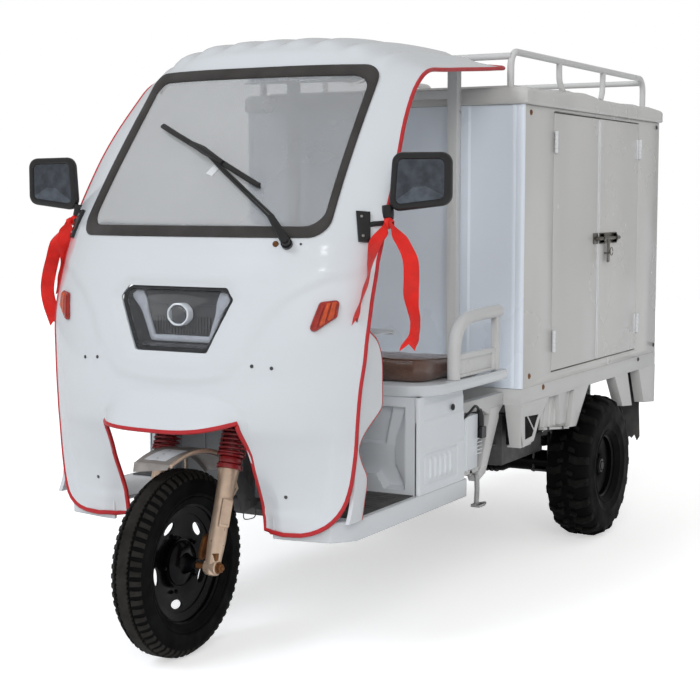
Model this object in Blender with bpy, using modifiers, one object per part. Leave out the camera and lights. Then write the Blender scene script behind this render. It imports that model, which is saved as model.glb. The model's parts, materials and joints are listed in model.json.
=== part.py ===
"""Electric cargo tricycle with a moulded cab shell, an open driver's place and a closed cargo box.

Metres, +Z up, the vehicle faces -Y, +X is its left side. Shapes are drawn from the front axle
(y = 0 there) and the whole vehicle hangs on one empty that puts the middle of its length at y = 0.
"""

import math

import bmesh
import bpy
from mathutils import Matrix, Vector

# Wheels
WHEELBASE = 2.037
FRONT_TYRE_RADIUS = 0.265
FRONT_TYRE_WIDTH = 0.100
FRONT_RIM_RADIUS = 0.162
REAR_TYRE_RADIUS = 0.269
REAR_TYRE_WIDTH = 0.172
REAR_RIM_RADIUS = 0.112
REAR_TRACK_HALF = 0.4708
RIM_WALL = 0.005
RIM_SEAT_GAP = 0.0006
FRONT_RIM_STEPS = 32
REAR_RIM_STEPS = 24
FRONT_LUGS = 24
FRONT_LUG_DEPTH = 0.008
REAR_LUGS = 18
REAR_LUG_DEPTH = 0.015
AXLE_RADIUS = 0.009
WHEEL_SIDE_GAP = 0.004
TOUCH_GAP = 0.0003
RUN_GAP = 0.0008

# Fork and steering
RAKE = math.radians(18.6)
STEER_OFFSET = 0.030
FORK_HALF = 0.113
LEG_RADIUS = 0.0270
LEG_TOP = 0.285
COLLAR_RADIUS = 0.034
STANCHION_RADIUS = 0.0165
SPRING_RADIUS = 0.038
SPRING_WIRE = 0.0055
SPRING_TURNS = 6
LOWER_YOKE = 0.445
UPPER_YOKE = 0.600
YOKE_THICK = 0.022
STEM_RADIUS = 0.015
HEAD_TUBE_RADIUS = 0.028
BAR_RISE = 0.215
BAR_HALF = 0.330
BAR_RADIUS = 0.011
GRIP_RADIUS = 0.017
GRIP_LENGTH = 0.120

# Cab shell
SHELL_WALL = 0.007
SHELL_CURVE = 3.25
ARCH_HALF = 0.236
ARCH_TOP = 0.656
ARCH_CORNER = 0.050
BROW_TOP = 0.770
BROW_REACH = 0.078
BROW_HALF = 0.245
ROOF_FACET = 0.0012

# Windscreen
SCREEN_BOTTOM_Z = 1.175
SCREEN_TOP_Z = 1.662
SCREEN_BOTTOM_HALF = 0.415
SCREEN_TOP_HALF = 0.391
SCREEN_CORNER = 0.055
GASKET_WIDTH = 0.038
GASKET_SEAT = 0.014
GLASS_THICK = 0.005
GLASS_SINK = 0.0007
WIPER_SEAT = 0.0001

# Cargo box
PILLAR_Y = 1.150
PILLAR_HALF = 0.307
PILLAR_SIZE = 0.034
BOX_HALF = 0.5316
BOX_SETBACK = 0.8284
BOX_FRONT_Y = max(WHEELBASE - BOX_SETBACK, PILLAR_Y + 0.050)
BOX_LENGTH = 1.437
BOX_BOTTOM_Z = 0.652
BOX_HEIGHT = 0.934
BOX_WALL = 0.025
BOX_FLOOR = 0.020
DOOR_GAP = 0.005
SIDE_DOOR_FRONT = 0.266
SIDE_DOOR_REAR = 1.180
SIDE_DOOR_BOTTOM = 0.031
SIDE_DOOR_TOP = 0.012
REAR_POST = 0.055
HINGE_RADIUS = 0.0074
HINGE_LENGTH = 0.075
HINGE_INSET = 0.115
LATCH_RISE = 0.482
TAIL_LAMP_DEPTH = 0.028
KEEPER_GAP = 0.006
BOLT_GAP = 0.0045
LID_OVERHANG = 0.014
LID_SKIRT = 0.046
LID_CROWN = 0.030
LID_STEP = 0.050
LID_WALL = 0.008
RACK_RISE = 0.186

# Bed frame and chassis
BED_RAIL_HEIGHT = 0.054
BED_RAIL_WIDTH = 0.040
# Cross beams of the bed and of the chassis, as shares of the box's length from its front
BED_BEAMS = (0.2446, 0.5925, 0.8152)
RAIL_BEAMS = (0.2446, 0.94)
OUTRIGGERS = (0.022, 0.384, 0.773)
BEAM_WIDTH = 0.040
TOW_PLATE_HALF = 0.060
TOW_PLATE_PROUD = 0.006
SPRING_HALF = 0.400
RAIL_HALF = 0.290
RAIL_WIDTH = 0.040
RAIL_HEIGHT = 0.060
FLOOR_Z = 0.407
WELL_HALF = 0.270
WELL_REAR_Y = 0.400
FLOOR_FRONT_Y = 0.0635
DASH_Z = 0.905
BRAKE_Y = 1.045
BRAKE_Z = 0.401
BRAKE_START = 0.320
FLOOR_THICK = 0.012
SILL_HALF = 0.490
SILL_HEIGHT = 0.058

# Driver's place
SEAT_FRONT_Y = 0.530
SEAT_REAR_Y = 1.095
SEAT_TOP_Z = 0.733
SEAT_RIM = 0.034
SEAT_HALF = 0.530
BATTERY_BOX_REAR_Y = 0.850
CUSHION_INSET = 0.065
CUSHION_HALF = SEAT_HALF - 0.060
CUSHION_HEIGHT = 0.072
ARMREST_RISE = 0.212
RIBBON_WIDTH = 0.030
MIRROR_SEAT = 0.532


def clear_scene():
    for obj in list(bpy.data.objects):
        bpy.data.objects.remove(obj)


def new_collection(name, hidden=False):
    collection = bpy.data.collections.new(name)
    collection.hide_render = hidden
    bpy.context.scene.collection.children.link(collection)
    return collection


clear_scene()
PARTS = new_collection("cargo_tricycle")
MATERIALS = {}
JOINTS = {}


def material(name, colour, roughness, metallic=0.0):
    made = bpy.data.materials.new(name)
    made.use_nodes = True
    shader = made.node_tree.nodes["Principled BSDF"]
    shader.inputs["Base Color"].default_value = (*colour, 1.0)
    shader.inputs["Roughness"].default_value = roughness
    shader.inputs["Metallic"].default_value = metallic
    MATERIALS[name] = made


def make_materials():
    material("shell_white", (0.80, 0.83, 0.86), 0.18)
    material("panel_white", (0.72, 0.73, 0.73), 0.35)
    material("frame_white", (0.70, 0.75, 0.78), 0.35)
    material("tyre_black", (0.020, 0.020, 0.022), 0.85)
    material("rim_black", (0.015, 0.015, 0.017), 0.35, 0.6)
    material("fork_gold", (0.62, 0.42, 0.25), 0.35, 0.8)
    material("spring_red", (0.30, 0.02, 0.02), 0.35)
    material("steel_grey", (0.45, 0.46, 0.47), 0.4, 0.9)
    material("gasket_black", (0.015, 0.015, 0.015), 0.6)
    material("glass", (0.80, 0.83, 0.84), 0.05)
    material("plastic_black", (0.02, 0.02, 0.02), 0.45)
    material("seat_brown", (0.11, 0.055, 0.040), 0.55)
    material("ribbon_red", (0.60, 0.01, 0.01), 0.5)
    material("lamp_grey", (0.25, 0.26, 0.28), 0.2)
    material("signal_red", (0.60, 0.08, 0.02), 0.2)


def joint_empty(name, place, parent=None):
    """An empty on a joint's axis, which carries the pieces that the joint moves."""
    empty = bpy.data.objects.new("axis_" + name, None)
    PARTS.objects.link(empty)
    empty.empty_display_size = 0.05
    base = Vector((0.0, 0.0, 0.0))
    if parent is not None:
        empty.parent = JOINTS[parent][0]
        base = JOINTS[parent][1]
    empty.location = Vector(place) - base
    JOINTS[name] = (empty, Vector(place))


def finish(obj, name, finish_name, body):
    """Names a piece, colours it and hangs it on its body's empty."""
    obj.name = name
    obj.data.name = name
    obj.data.materials.clear()
    obj.data.materials.append(MATERIALS[finish_name])
    obj.data.set_sharp_from_angle(angle=math.radians(35))
    empty, base = JOINTS[body]
    obj.data.transform(Matrix.Translation(-base))
    obj.location = (0.0, 0.0, 0.0)
    obj.parent = empty
    return obj


def link(mesh, name="piece"):
    obj = bpy.data.objects.new(name, mesh)
    PARTS.objects.link(obj)
    return obj


def clean(mesh):
    work = bmesh.new()
    work.from_mesh(mesh)
    bmesh.ops.remove_doubles(work, verts=work.verts, dist=0.00001)
    bmesh.ops.recalc_face_normals(work, faces=work.faces)
    work.to_mesh(mesh)
    work.free()
    return mesh


def baked(obj):
    """The object's evaluated shape as one welded mesh object; the source object goes."""
    bpy.context.view_layer.update()
    graph = bpy.context.evaluated_depsgraph_get()
    mesh = bpy.data.meshes.new_from_object(obj.evaluated_get(graph))
    mesh.transform(obj.matrix_world)
    bpy.data.objects.remove(obj)
    return link(clean(mesh))


def combine(target, tool, operation):
    modifier = target.modifiers.new("cut", "BOOLEAN")
    modifier.operation = operation
    modifier.solver = "EXACT"
    modifier.object = tool
    result = baked(target)
    bpy.data.objects.remove(tool)
    return result


def joined(pieces):
    """One closed body from pieces that run into each other."""
    target = pieces[0]
    for piece in pieces[1:]:
        target = combine(target, piece, "UNION")
    return target


def cut(target, tools):
    for tool in tools:
        target = combine(target, tool, "DIFFERENCE")
    return target


def block(xs, ys, zs):
    work = bmesh.new()
    bmesh.ops.create_cube(work, size=1.0)
    size = (xs[1] - xs[0], ys[1] - ys[0], zs[1] - zs[0])
    bmesh.ops.scale(work, vec=size, verts=work.verts)
    middle = ((xs[0] + xs[1]) / 2, (ys[0] + ys[1]) / 2, (zs[0] + zs[1]) / 2)
    bmesh.ops.translate(work, vec=middle, verts=work.verts)
    mesh = bpy.data.meshes.new("block")
    work.to_mesh(mesh)
    work.free()
    return link(mesh)


def softened(obj, width, segments=2, angle=40):
    """Rounds the piece's hard edges."""
    bevel = obj.modifiers.new("round", "BEVEL")
    bevel.width = width
    bevel.segments = segments
    bevel.limit_method = "ANGLE"
    bevel.angle_limit = math.radians(angle)
    return baked(obj)


def rod(start, end, radius, sides=12):
    """A cylinder between two points."""
    start = Vector(start)
    end = Vector(end)
    work = bmesh.new()
    length = (end - start).length
    bmesh.ops.create_cone(
        work, cap_ends=True, segments=sides, radius1=radius, radius2=radius, depth=length
    )
    turn = (end - start).to_track_quat("Z", "Y").to_matrix().to_4x4()
    mesh = bpy.data.meshes.new("rod")
    work.to_mesh(mesh)
    work.free()
    mesh.transform(Matrix.Translation((start + end) / 2) @ turn)
    return link(mesh)


def tube(points, radius, resolution=2, closed=False):
    """A bent tube along a list of points."""
    curve = bpy.data.curves.new("tube", "CURVE")
    curve.dimensions = "3D"
    curve.bevel_depth = radius
    curve.bevel_resolution = resolution
    curve.use_fill_caps = not closed
    spline = curve.splines.new("POLY")
    spline.points.add(len(points) - 1)
    for point, place in zip(spline.points, points):
        point.co = (*place, 1.0)
    spline.use_cyclic_u = closed
    return baked(link(curve))


def strip(points, width, height):
    """A bar of rectangular section along points in a plane of constant x, in (x, y, z)."""
    half = width / 2
    curve = bpy.data.curves.new("strip", "CURVE")
    curve.dimensions = "2D"
    curve.fill_mode = "BOTH"
    curve.extrude = half
    spline = curve.splines.new("POLY")
    outline = offset_band([(p[1], p[2]) for p in points], height)
    spline.points.add(len(outline) - 1)
    for point, place in zip(spline.points, outline):
        point.co = (*place, 0.0, 1.0)
    spline.use_cyclic_u = True
    obj = link(curve)
    obj.matrix_world = Matrix.Translation((points[0][0], 0, 0)) @ PLANES["YZ"]
    return baked(obj)


def offset_band(line, height):
    """The closed outline of a band of the given height centred on a line."""
    upper = []
    lower = []
    for i, point in enumerate(line):
        here = Vector(point)
        before = Vector(line[max(i - 1, 0)])
        after = Vector(line[min(i + 1, len(line) - 1)])
        one = (here - before).normalized() if i else (after - here).normalized()
        two = (after - here).normalized() if i < len(line) - 1 else one
        along = (one + two).normalized()
        side = Vector((-along.y, along.x)) * (height / 2 / max(along.dot(one), 0.3))
        upper.append(here + side)
        lower.append(here - side)
    return upper + lower[::-1]


PLANES = {
    "XY": Matrix.Identity(4),
    "XZ": Matrix(((1, 0, 0, 0), (0, 0, -1, 0), (0, 1, 0, 0), (0, 0, 0, 1))),
    "YZ": Matrix(((0, 0, 1, 0), (1, 0, 0, 0), (0, 1, 0, 0), (0, 0, 0, 1))),
}
NORMALS = {"XY": Vector((0, 0, 1)), "XZ": Vector((0, 1, 0)), "YZ": Vector((1, 0, 0))}


def plate(outline, plane, low, high, holes=()):
    """A flat outline in a plane, between two heights along the plane's normal."""
    curve = bpy.data.curves.new("plate", "CURVE")
    curve.dimensions = "2D"
    curve.fill_mode = "BOTH"
    curve.extrude = (high - low) / 2
    for loop in (outline, *holes):
        spline = curve.splines.new("POLY")
        spline.points.add(len(loop) - 1)
        for point, place in zip(spline.points, loop):
            point.co = (*place, 0.0, 1.0)
        spline.use_cyclic_u = True
    obj = link(curve)
    shift = Matrix.Translation(NORMALS[plane] * ((low + high) / 2))
    obj.matrix_world = shift @ PLANES[plane]
    return baked(obj)


def turned(profile, centre, axis="X", steps=32):
    """A closed profile of (radius, height) points turned about an axis through centre."""
    work = bmesh.new()
    ring = [work.verts.new((radius, 0.0, height)) for radius, height in profile]
    for one, two in zip(ring, ring[1:] + ring[:1]):
        work.edges.new((one, two))
    mesh = bpy.data.meshes.new("turned")
    work.to_mesh(mesh)
    work.free()
    obj = link(mesh)
    screw = obj.modifiers.new("turn", "SCREW")
    screw.axis = "Z"
    screw.steps = steps
    screw.render_steps = steps
    screw.use_merge_vertices = True
    screw.merge_threshold = 0.0001
    turn = {"X": Matrix.Rotation(math.pi / 2, 4, "Y"), "Z": Matrix.Identity(4)}
    turn["Y"] = Matrix.Rotation(-math.pi / 2, 4, "X")
    obj.matrix_world = Matrix.Translation(centre) @ turn[axis]
    return baked(obj)


def arc(centre, radius, start, end, steps):
    """Points on an arc, angles in degrees."""
    points = []
    for i in range(steps + 1):
        angle = math.radians(start + (end - start) * i / steps)
        points.append((centre[0] + radius * math.cos(angle), centre[1] + radius * math.sin(angle)))
    return points


def rounded(corners, radius, steps=4):
    """A closed outline with each corner rounded to a radius."""
    points = []
    count = len(corners)
    for i, corner in enumerate(corners):
        here = Vector(corner)
        back = (Vector(corners[i - 1]) - here).normalized()
        on = (Vector(corners[(i + 1) % count]) - here).normalized()
        half = back.angle(on) / 2
        reach = radius / math.tan(half)
        centre = here + (back + on).normalized() * (radius / math.sin(half))
        start = here + back * reach - centre
        turn = (here + on * reach - centre).angle_signed(start)
        for step in range(steps + 1):
            turned_by = Matrix.Rotation(turn * step / steps, 2)
            points.append(tuple(centre + turned_by @ start))
    return points


def between(table, value):
    """Reads a table of (value, result...) rows by straight lines between them."""
    if value <= table[0][0]:
        return table[0][1:]
    for low, high in zip(table, table[1:]):
        if value <= high[0]:
            share = (value - low[0]) / (high[0] - low[0])
            return tuple(a + (b - a) * share for a, b in zip(low[1:], high[1:]))
    return table[-1][1:]


def smooth(low, high, value):
    share = min(max((value - low) / (high - low), 0.0), 1.0)
    return share * share * (3 - 2 * share)


# Rows of the shell's surface, from the bottom edge up over the roof to its tail:
# centre y, centre z, edge x, edge y, edge z
SHELL_ROWS = (
    (0.055, 0.366, 0.330, 0.050, 0.366),
    (0.052, 0.376, 0.394, 0.056, 0.378),
    (0.047, 0.402, 0.443, 0.073, 0.404),
    (0.038, 0.444, 0.474, 0.094, 0.446),
    (0.025, 0.500, 0.491, 0.105, 0.500),
    (0.006, 0.556, 0.500, 0.109, 0.556),
    (-0.015, 0.613, 0.506, 0.111, 0.613),
    (-0.031, 0.656, 0.509, 0.110, 0.656),
    (-0.036, 0.700, 0.512, 0.111, 0.700),
    (-0.038, 0.740, 0.515, 0.112, 0.740),
    (-0.037, 0.785, 0.519, 0.115, 0.785),
    (-0.034, 0.845, 0.526, 0.122, 0.845),
    (-0.027, 0.901, 0.530, 0.126, 0.901),
    (-0.017, 0.957, 0.533, 0.136, 0.957),
    (-0.006, 1.012, 0.533, 0.151, 1.012),
    (0.008, 1.067, 0.533, 0.171, 1.067),
    (0.025, 1.122, 0.532, 0.192, 1.122),
    (0.046, 1.177, 0.532, 0.215, 1.177),
    (0.103, 1.250, 0.528, 0.248, 1.250),
    (0.172, 1.340, 0.522, 0.304, 1.340),
    (0.237, 1.420, 0.511, 0.354, 1.420),
    (0.298, 1.500, 0.497, 0.414, 1.500),
    (0.352, 1.580, 0.485, 0.488, 1.580),
    (0.388, 1.635, 0.483, 0.540, 1.625),
    (0.415, 1.680, 0.480, 0.590, 1.650),
    (0.445, 1.715, 0.476, 0.640, 1.660),
    (0.500, 1.738, 0.473, 0.700, 1.664),
    (0.600, 1.752, 0.471, 0.770, 1.669),
    (0.750, 1.760, 0.470, 0.850, 1.676),
    (0.900, 1.760, 0.470, 0.950, 1.684),
    (1.050, 1.755, 0.470, 1.060, 1.693),
    (1.155, 1.745, 0.466, 1.140, 1.702),
    (1.180, 1.738, 0.452, 1.172, 1.706),
)
SHELL_COLUMNS = (0.0, 0.18, 0.36, 0.52, 0.66, 0.78, 0.88, 0.95, 1.0)


def shell_point(row, share):
    """A point of the outer shell surface, share 0 at the middle and 1 at the side edge."""
    centre_y, centre_z, edge_x, edge_y, edge_z = row
    bend = abs(share) ** SHELL_CURVE
    x = share * edge_x
    y = centre_y + (edge_y - centre_y) * bend
    z = centre_z + (edge_z - centre_z) * bend
    rise = smooth(BROW_TOP, ARCH_TOP, z) * (z > ARCH_TOP - 0.03)
    side = 1.0 - smooth(0.60 * BROW_HALF, BROW_HALF, abs(x))
    return Vector((x, y - BROW_REACH * rise * side, z))


def face_y(x, z):
    """The front surface's y at a place seen from the front, up to the windscreen's top."""
    table = [(row[1], row[0], row[2], row[3]) for row in SHELL_ROWS[:25]]
    centre, edge_x, edge_y = between(table, z)
    return centre + (edge_y - centre) * min(abs(x) / edge_x, 1.0) ** SHELL_CURVE


def under_roof(x, y):
    """The height of the roof's underside at a place seen from above."""
    rows = [row for row in SHELL_ROWS if row[1] > SCREEN_TOP_Z]
    table = [(row[0], row[1], row[2], row[4]) for row in rows]
    centre, edge_x, edge_z = between(table, y)
    surface = centre + (edge_z - centre) * min(abs(x) / edge_x, 1.0) ** SHELL_CURVE
    return surface - SHELL_WALL - ROOF_FACET


def thickened(points_grid, thickness, offset, closed_rows=False):
    """A solid from a grid of points: an open surface with a wall of even thickness."""
    work = bmesh.new()
    grid = [[work.verts.new(point) for point in row] for row in points_grid]
    for low, high in zip(grid, grid[1:]):
        pairs = list(zip(range(len(low) - 1), range(1, len(low))))
        if closed_rows:
            pairs.append((len(low) - 1, 0))
        for i, j in pairs:
            work.faces.new((low[i], low[j], high[j], high[i]))
    mesh = bpy.data.meshes.new("surface")
    work.to_mesh(mesh)
    work.free()
    obj = link(mesh)
    solidify = obj.modifiers.new("wall", "SOLIDIFY")
    solidify.thickness = thickness
    solidify.offset = offset
    solidify.use_even_offset = True
    return baked(obj)


def cab_shell():
    shares = [-share for share in SHELL_COLUMNS[:0:-1]] + list(SHELL_COLUMNS)
    grid = [[shell_point(row, share) for share in shares] for row in SHELL_ROWS]
    shell = thickened(grid, SHELL_WALL, -1.0)
    arch = [
        (-ARCH_HALF - 0.004, 0.300),
        (ARCH_HALF + 0.004, 0.300),
        (ARCH_HALF - 0.002, ARCH_TOP),
        (-ARCH_HALF + 0.002, ARCH_TOP),
    ]
    outline = rounded(arch, ARCH_CORNER, 4)
    tools = [
        plate(outline, "XZ", -0.30, 0.30),
        plate(rounded(screen_corners(GASKET_SEAT), SCREEN_CORNER - GASKET_SEAT), "XZ", -0.2, 0.62),
        plate(rounded(headlamp_corners(0.0), 0.012, 3), "XZ", -0.2, 0.2),
    ]
    finish(cut(shell, tools), "cab_shell", "shell_white", "vehicle")


def screen_corners(inset):
    low = SCREEN_BOTTOM_Z + inset
    high = SCREEN_TOP_Z - inset * 0.8
    return [
        (-SCREEN_BOTTOM_HALF + inset, low),
        (SCREEN_BOTTOM_HALF - inset, low),
        (SCREEN_TOP_HALF - inset, high),
        (-SCREEN_TOP_HALF + inset, high),
    ]


def on_face(outline, lift):
    """Lays an (x, z) outline on the front surface, moved out from it by lift."""
    return [Vector((x, face_y(x, z) - lift, z)) for x, z in outline]


def divided(outline, parts):
    """The outline with its long stretches divided, so that it follows a curved surface."""
    points = []
    for one, two in zip(outline, outline[1:] + outline[:1]):
        a = Vector(one)
        b = Vector(two)
        count = max(1, round((b - a).length / parts))
        points += [tuple(a + (b - a) * i / count) for i in range(count)]
    return points


def windscreen():
    edge = GASKET_SEAT + 0.006
    corner = SCREEN_CORNER - edge
    outline = divided(rounded(screen_corners(edge), corner), 0.07)
    middle = Vector((0.0, (SCREEN_BOTTOM_Z + SCREEN_TOP_Z) / 2))
    loops = []
    for share in (1.0, 0.66, 0.33):
        loop = [middle + (Vector(point) - middle) * share for point in outline]
        loops.append(on_face(loop, -GLASS_SINK))
    work = bmesh.new()
    rings = [[work.verts.new(point) for point in loop] for loop in loops]
    for outer, inner in zip(rings, rings[1:]):
        for i in range(len(outer)):
            j = (i + 1) % len(outer)
            work.faces.new((outer[i], outer[j], inner[j], inner[i]))
    work.faces.new(rings[-1])
    mesh = bpy.data.meshes.new("windscreen")
    work.to_mesh(mesh)
    work.free()
    obj = link(mesh)
    solidify = obj.modifiers.new("wall", "SOLIDIFY")
    solidify.thickness = GLASS_THICK
    solidify.offset = -1.0
    finish(baked(obj), "windscreen", "glass", "vehicle")
    gasket()


def gasket():
    """The rubber frame round the windscreen, lying on the shell and on the glass."""
    lift = 0.0016
    thick = 0.007
    outer = divided(rounded(screen_corners(0.0), SCREEN_CORNER), 0.07)
    middle = Vector((0.0, (SCREEN_BOTTOM_Z + SCREEN_TOP_Z) / 2))
    half = Vector((SCREEN_BOTTOM_HALF, (SCREEN_TOP_Z - SCREEN_BOTTOM_Z) / 2))
    shrink = Vector((1 - GASKET_WIDTH / half.x, 1 - GASKET_WIDTH * 0.80 / half.y))
    grid = []
    for share in (0.0, 0.5, 1.0):
        loop = []
        for point in outer:
            out = Vector(point) - middle
            scale = Vector((1 + (shrink.x - 1) * share, 1 + (shrink.y - 1) * share))
            loop.append((middle.x + out.x * scale.x, middle.y + out.y * scale.y))
        grid.append(on_face(loop, lift))
    ring = thickened(grid, thick, 1.0, closed_rows=True)
    finish(ring, "windscreen_gasket", "gasket_black", "vehicle")


def headlamp_corners(inset):
    return [
        (-0.119 + inset, 0.862 + inset),
        (0.119 - inset, 0.862 + inset),
        (0.188 - inset * 1.3, 1.008),
        (0.164 - inset, 1.040 - inset),
        (-0.164 + inset, 1.040 - inset),
        (-0.188 + inset * 1.3, 1.008),
    ]


def headlamp():
    """A recessed lamp that fills the shell's opening, with a lens face deep in its mouth."""
    gap = 0.0004
    front = 0.004
    back = 0.085
    recess = 0.010
    body = plate(rounded(headlamp_corners(gap), 0.012 - gap, 3), "XZ", front, back)
    mouth = plate(rounded(headlamp_corners(0.010), 0.010, 3), "XZ", front - 0.02, front + recess)
    finish(cut(body, [mouth]), "headlamp", "lamp_grey", "vehicle")


def turn_signals():
    for side, word in ((1, "left"), (-1, "right")):
        low = 0.907
        outline = [
            (side * 0.388, low + 0.012),
            (side * 0.446, low),
            (side * 0.478, 1.000),
            (side * 0.420, 0.988),
        ]
        if side < 0:
            outline.reverse()
        points = divided(rounded(outline, 0.010, 2), 0.03)
        middle = Vector((side * 0.433, 0.953))
        grid = []
        for share, lift in ((1.0, 0.0012), (0.93, 0.010), (0.78, 0.014)):
            loop = [tuple(middle + (Vector(p) - middle) * share) for p in points]
            grid.append(on_face(loop, lift))
        back = on_face([tuple(p) for p in points], 0.0012)
        lamp = capped(grid, back)
        finish(lamp, "turn_signal_" + word, "signal_red", "vehicle")


def capped(loops, back):
    """A closed body from loops that rise to a flat top, with a bottom on the first loop."""
    work = bmesh.new()
    rings = [[work.verts.new(point) for point in loop] for loop in loops]
    for low, high in zip(rings, rings[1:]):
        for i in range(len(low)):
            j = (i + 1) % len(low)
            work.faces.new((low[i], low[j], high[j], high[i]))
    work.faces.new(rings[-1])
    work.faces.new(rings[0][::-1])
    bmesh.ops.triangulate(work, faces=work.faces)
    mesh = bpy.data.meshes.new("capped")
    work.to_mesh(mesh)
    work.free()
    return link(clean(mesh))


def face_normal(x, z):
    """The front surface's outward direction."""
    step = 0.004
    across = (face_y(x + step, z) - face_y(x - step, z)) / (2 * step)
    up = (face_y(x, z + step) - face_y(x, z - step)) / (2 * step)
    return Vector((across, -1.0, up)).normalized()


def wiper():
    """The arm on its pivot below the glass, with the blade across its far end."""
    out = face_normal(0.296, 1.160)
    pivot = Vector((0.296, face_y(0.296, 1.160), 1.160))
    low = Vector((0.148, face_y(0.148, 1.330) - 0.014, 1.330))
    high = Vector((-0.168, face_y(-0.168, 1.500) - 0.014, 1.500))
    middle = (low + high) / 2 + Vector((0, -0.006, 0))
    blade = tube([low, middle, high], 0.006)
    start = pivot + out * 0.024
    knee = start + Vector((-0.03, -0.012, 0.03))
    arm = tube([start, knee, middle + Vector((0, -0.004, 0))], 0.005)
    boss = rod(pivot + out * WIPER_SEAT, pivot + out * 0.030, 0.013)
    finish(joined([boss, arm, blade]), "wiper", "plastic_black", "vehicle")


def leg_shields():
    """The moulded side panels behind the shell's rear edge, beside the rider's shins."""
    # y, z of the panel's wavy rear edge, from the top down
    rear = (
        (0.176, 0.940), (0.210, 0.915), (0.245, 0.894), (0.270, 0.862), (0.278, 0.820),
        (0.278, 0.708), (0.255, 0.690), (0.200, 0.660), (0.160, 0.632), (0.142, 0.601),
        (0.160, 0.562), (0.186, 0.527), (0.188, 0.500), (0.177, 0.465),
        (0.160, FLOOR_Z + TOUCH_GAP),
    )
    table = sorted((row[4], row[3], row[2]) for row in SHELL_ROWS[2:17])
    front = []
    for i in range(9):
        foot = rear[-1][1]
        z = foot + (rear[0][1] - foot) * i / 8
        front.append((between(table, z)[0] + 0.014, z))
    for side, word in ((1, "left"), (-1, "right")):
        inner = SILL_HALF - 0.004
        low, high = (inner, inner + 0.012) if side > 0 else (-inner - 0.012, -inner)
        panel = plate(front + list(rear), "YZ", low, high)
        finish(panel, "leg_shield_" + word, "shell_white", "vehicle")


def inner_panel():
    """The moulding round the front wheel's well, with the dash shelf on top of it."""
    wall = 0.010
    half = WELL_HALF + wall
    rear = WELL_REAR_Y + wall
    path = [(-half, 0.105), (-half, rear), (half, rear), (half, 0.105)]
    band = offset_band(path, wall)
    well = plate(band, "XY", FLOOR_Z + 0.0005, DASH_Z + 0.002)
    front = []
    for i in range(13):
        x = -0.470 + 0.940 * i / 12
        lamp_clear = 0.100 if abs(x) < 0.240 else 0.0
        front.append((x, max(face_y(x, DASH_Z) + 0.0120, lamp_clear)))
    rear_edge = [(0.470, 0.190), (half, rear + 0.004), (-half, rear + 0.004), (-0.470, 0.190)]
    shelf = plate(front + rear_edge, "XY", DASH_Z, DASH_Z + wall)
    panel = joined([well, shelf])
    clear = HEAD_TUBE_RADIUS + 0.040
    panel = cut(panel, [rod(steer_point(0.45), steer_point(0.95), clear, 20)])
    finish(panel, "inner_panel", "panel_white", "vehicle")


def steer_point(along, x=0.0, out=STEER_OFFSET):
    """A point by its distance up the fork, its x and its distance behind the fork legs."""
    up = Vector((0.0, math.sin(RAKE), math.cos(RAKE)))
    back = Vector((0.0, math.cos(RAKE), -math.sin(RAKE)))
    base = Vector((x, 0.0, FRONT_TYRE_RADIUS))
    return base + up * along + back * out


def fork():
    for side, word in ((1, "left"), (-1, "right")):
        x = side * FORK_HALF
        leg = rod(steer_point(-0.022, x, 0), steer_point(LEG_TOP, x, 0), LEG_RADIUS, 20)
        collar = rod(
            steer_point(LEG_TOP - 0.02, x, 0), steer_point(LEG_TOP + 0.004, x, 0),
            COLLAR_RADIUS, 20
        )
        lug = rod((x - 0.026, 0, FRONT_TYRE_RADIUS), (x + 0.026, 0, FRONT_TYRE_RADIUS), 0.021, 16)
        bore = rod(
            (x - 0.05, 0, FRONT_TYRE_RADIUS), (x + 0.05, 0, FRONT_TYRE_RADIUS),
            AXLE_RADIUS + TOUCH_GAP, 16
        )
        finish(cut(joined([leg, collar, lug]), [bore]), "fork_leg_" + word, "fork_gold", "steering")
        spring(x, word)
    axle_half = FORK_HALF + 0.038
    axle = rod((-axle_half, 0, FRONT_TYRE_RADIUS), (axle_half, 0, FRONT_TYRE_RADIUS), AXLE_RADIUS)
    finish(axle, "front_axle", "steel_grey", "steering")
    yoke()


def spring(x, word):
    """A coil spring round the upper fork tube, between the leg's collar and the lower yoke."""
    low = LEG_TOP + 0.004 + SPRING_WIRE + TOUCH_GAP
    high = LOWER_YOKE - YOKE_THICK / 2 - SPRING_WIRE - TOUCH_GAP
    per_turn = 10
    count = SPRING_TURNS * per_turn
    side = Vector((1.0, 0.0, 0.0))
    back = Vector((0.0, math.cos(RAKE), -math.sin(RAKE)))
    radius = SPRING_RADIUS - SPRING_WIRE
    points = []
    for i in range(count + 1):
        angle = 2 * math.pi * i / per_turn
        share = min(max((i - per_turn / 2) / (count - per_turn), 0.0), 1.0)
        centre = steer_point(low + (high - low) * share, x, 0)
        points.append(centre + side * radius * math.cos(angle) + back * radius * math.sin(angle))
    finish(tube(points, SPRING_WIRE, 0), "fork_spring_" + word, "spring_red", "steering")


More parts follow.
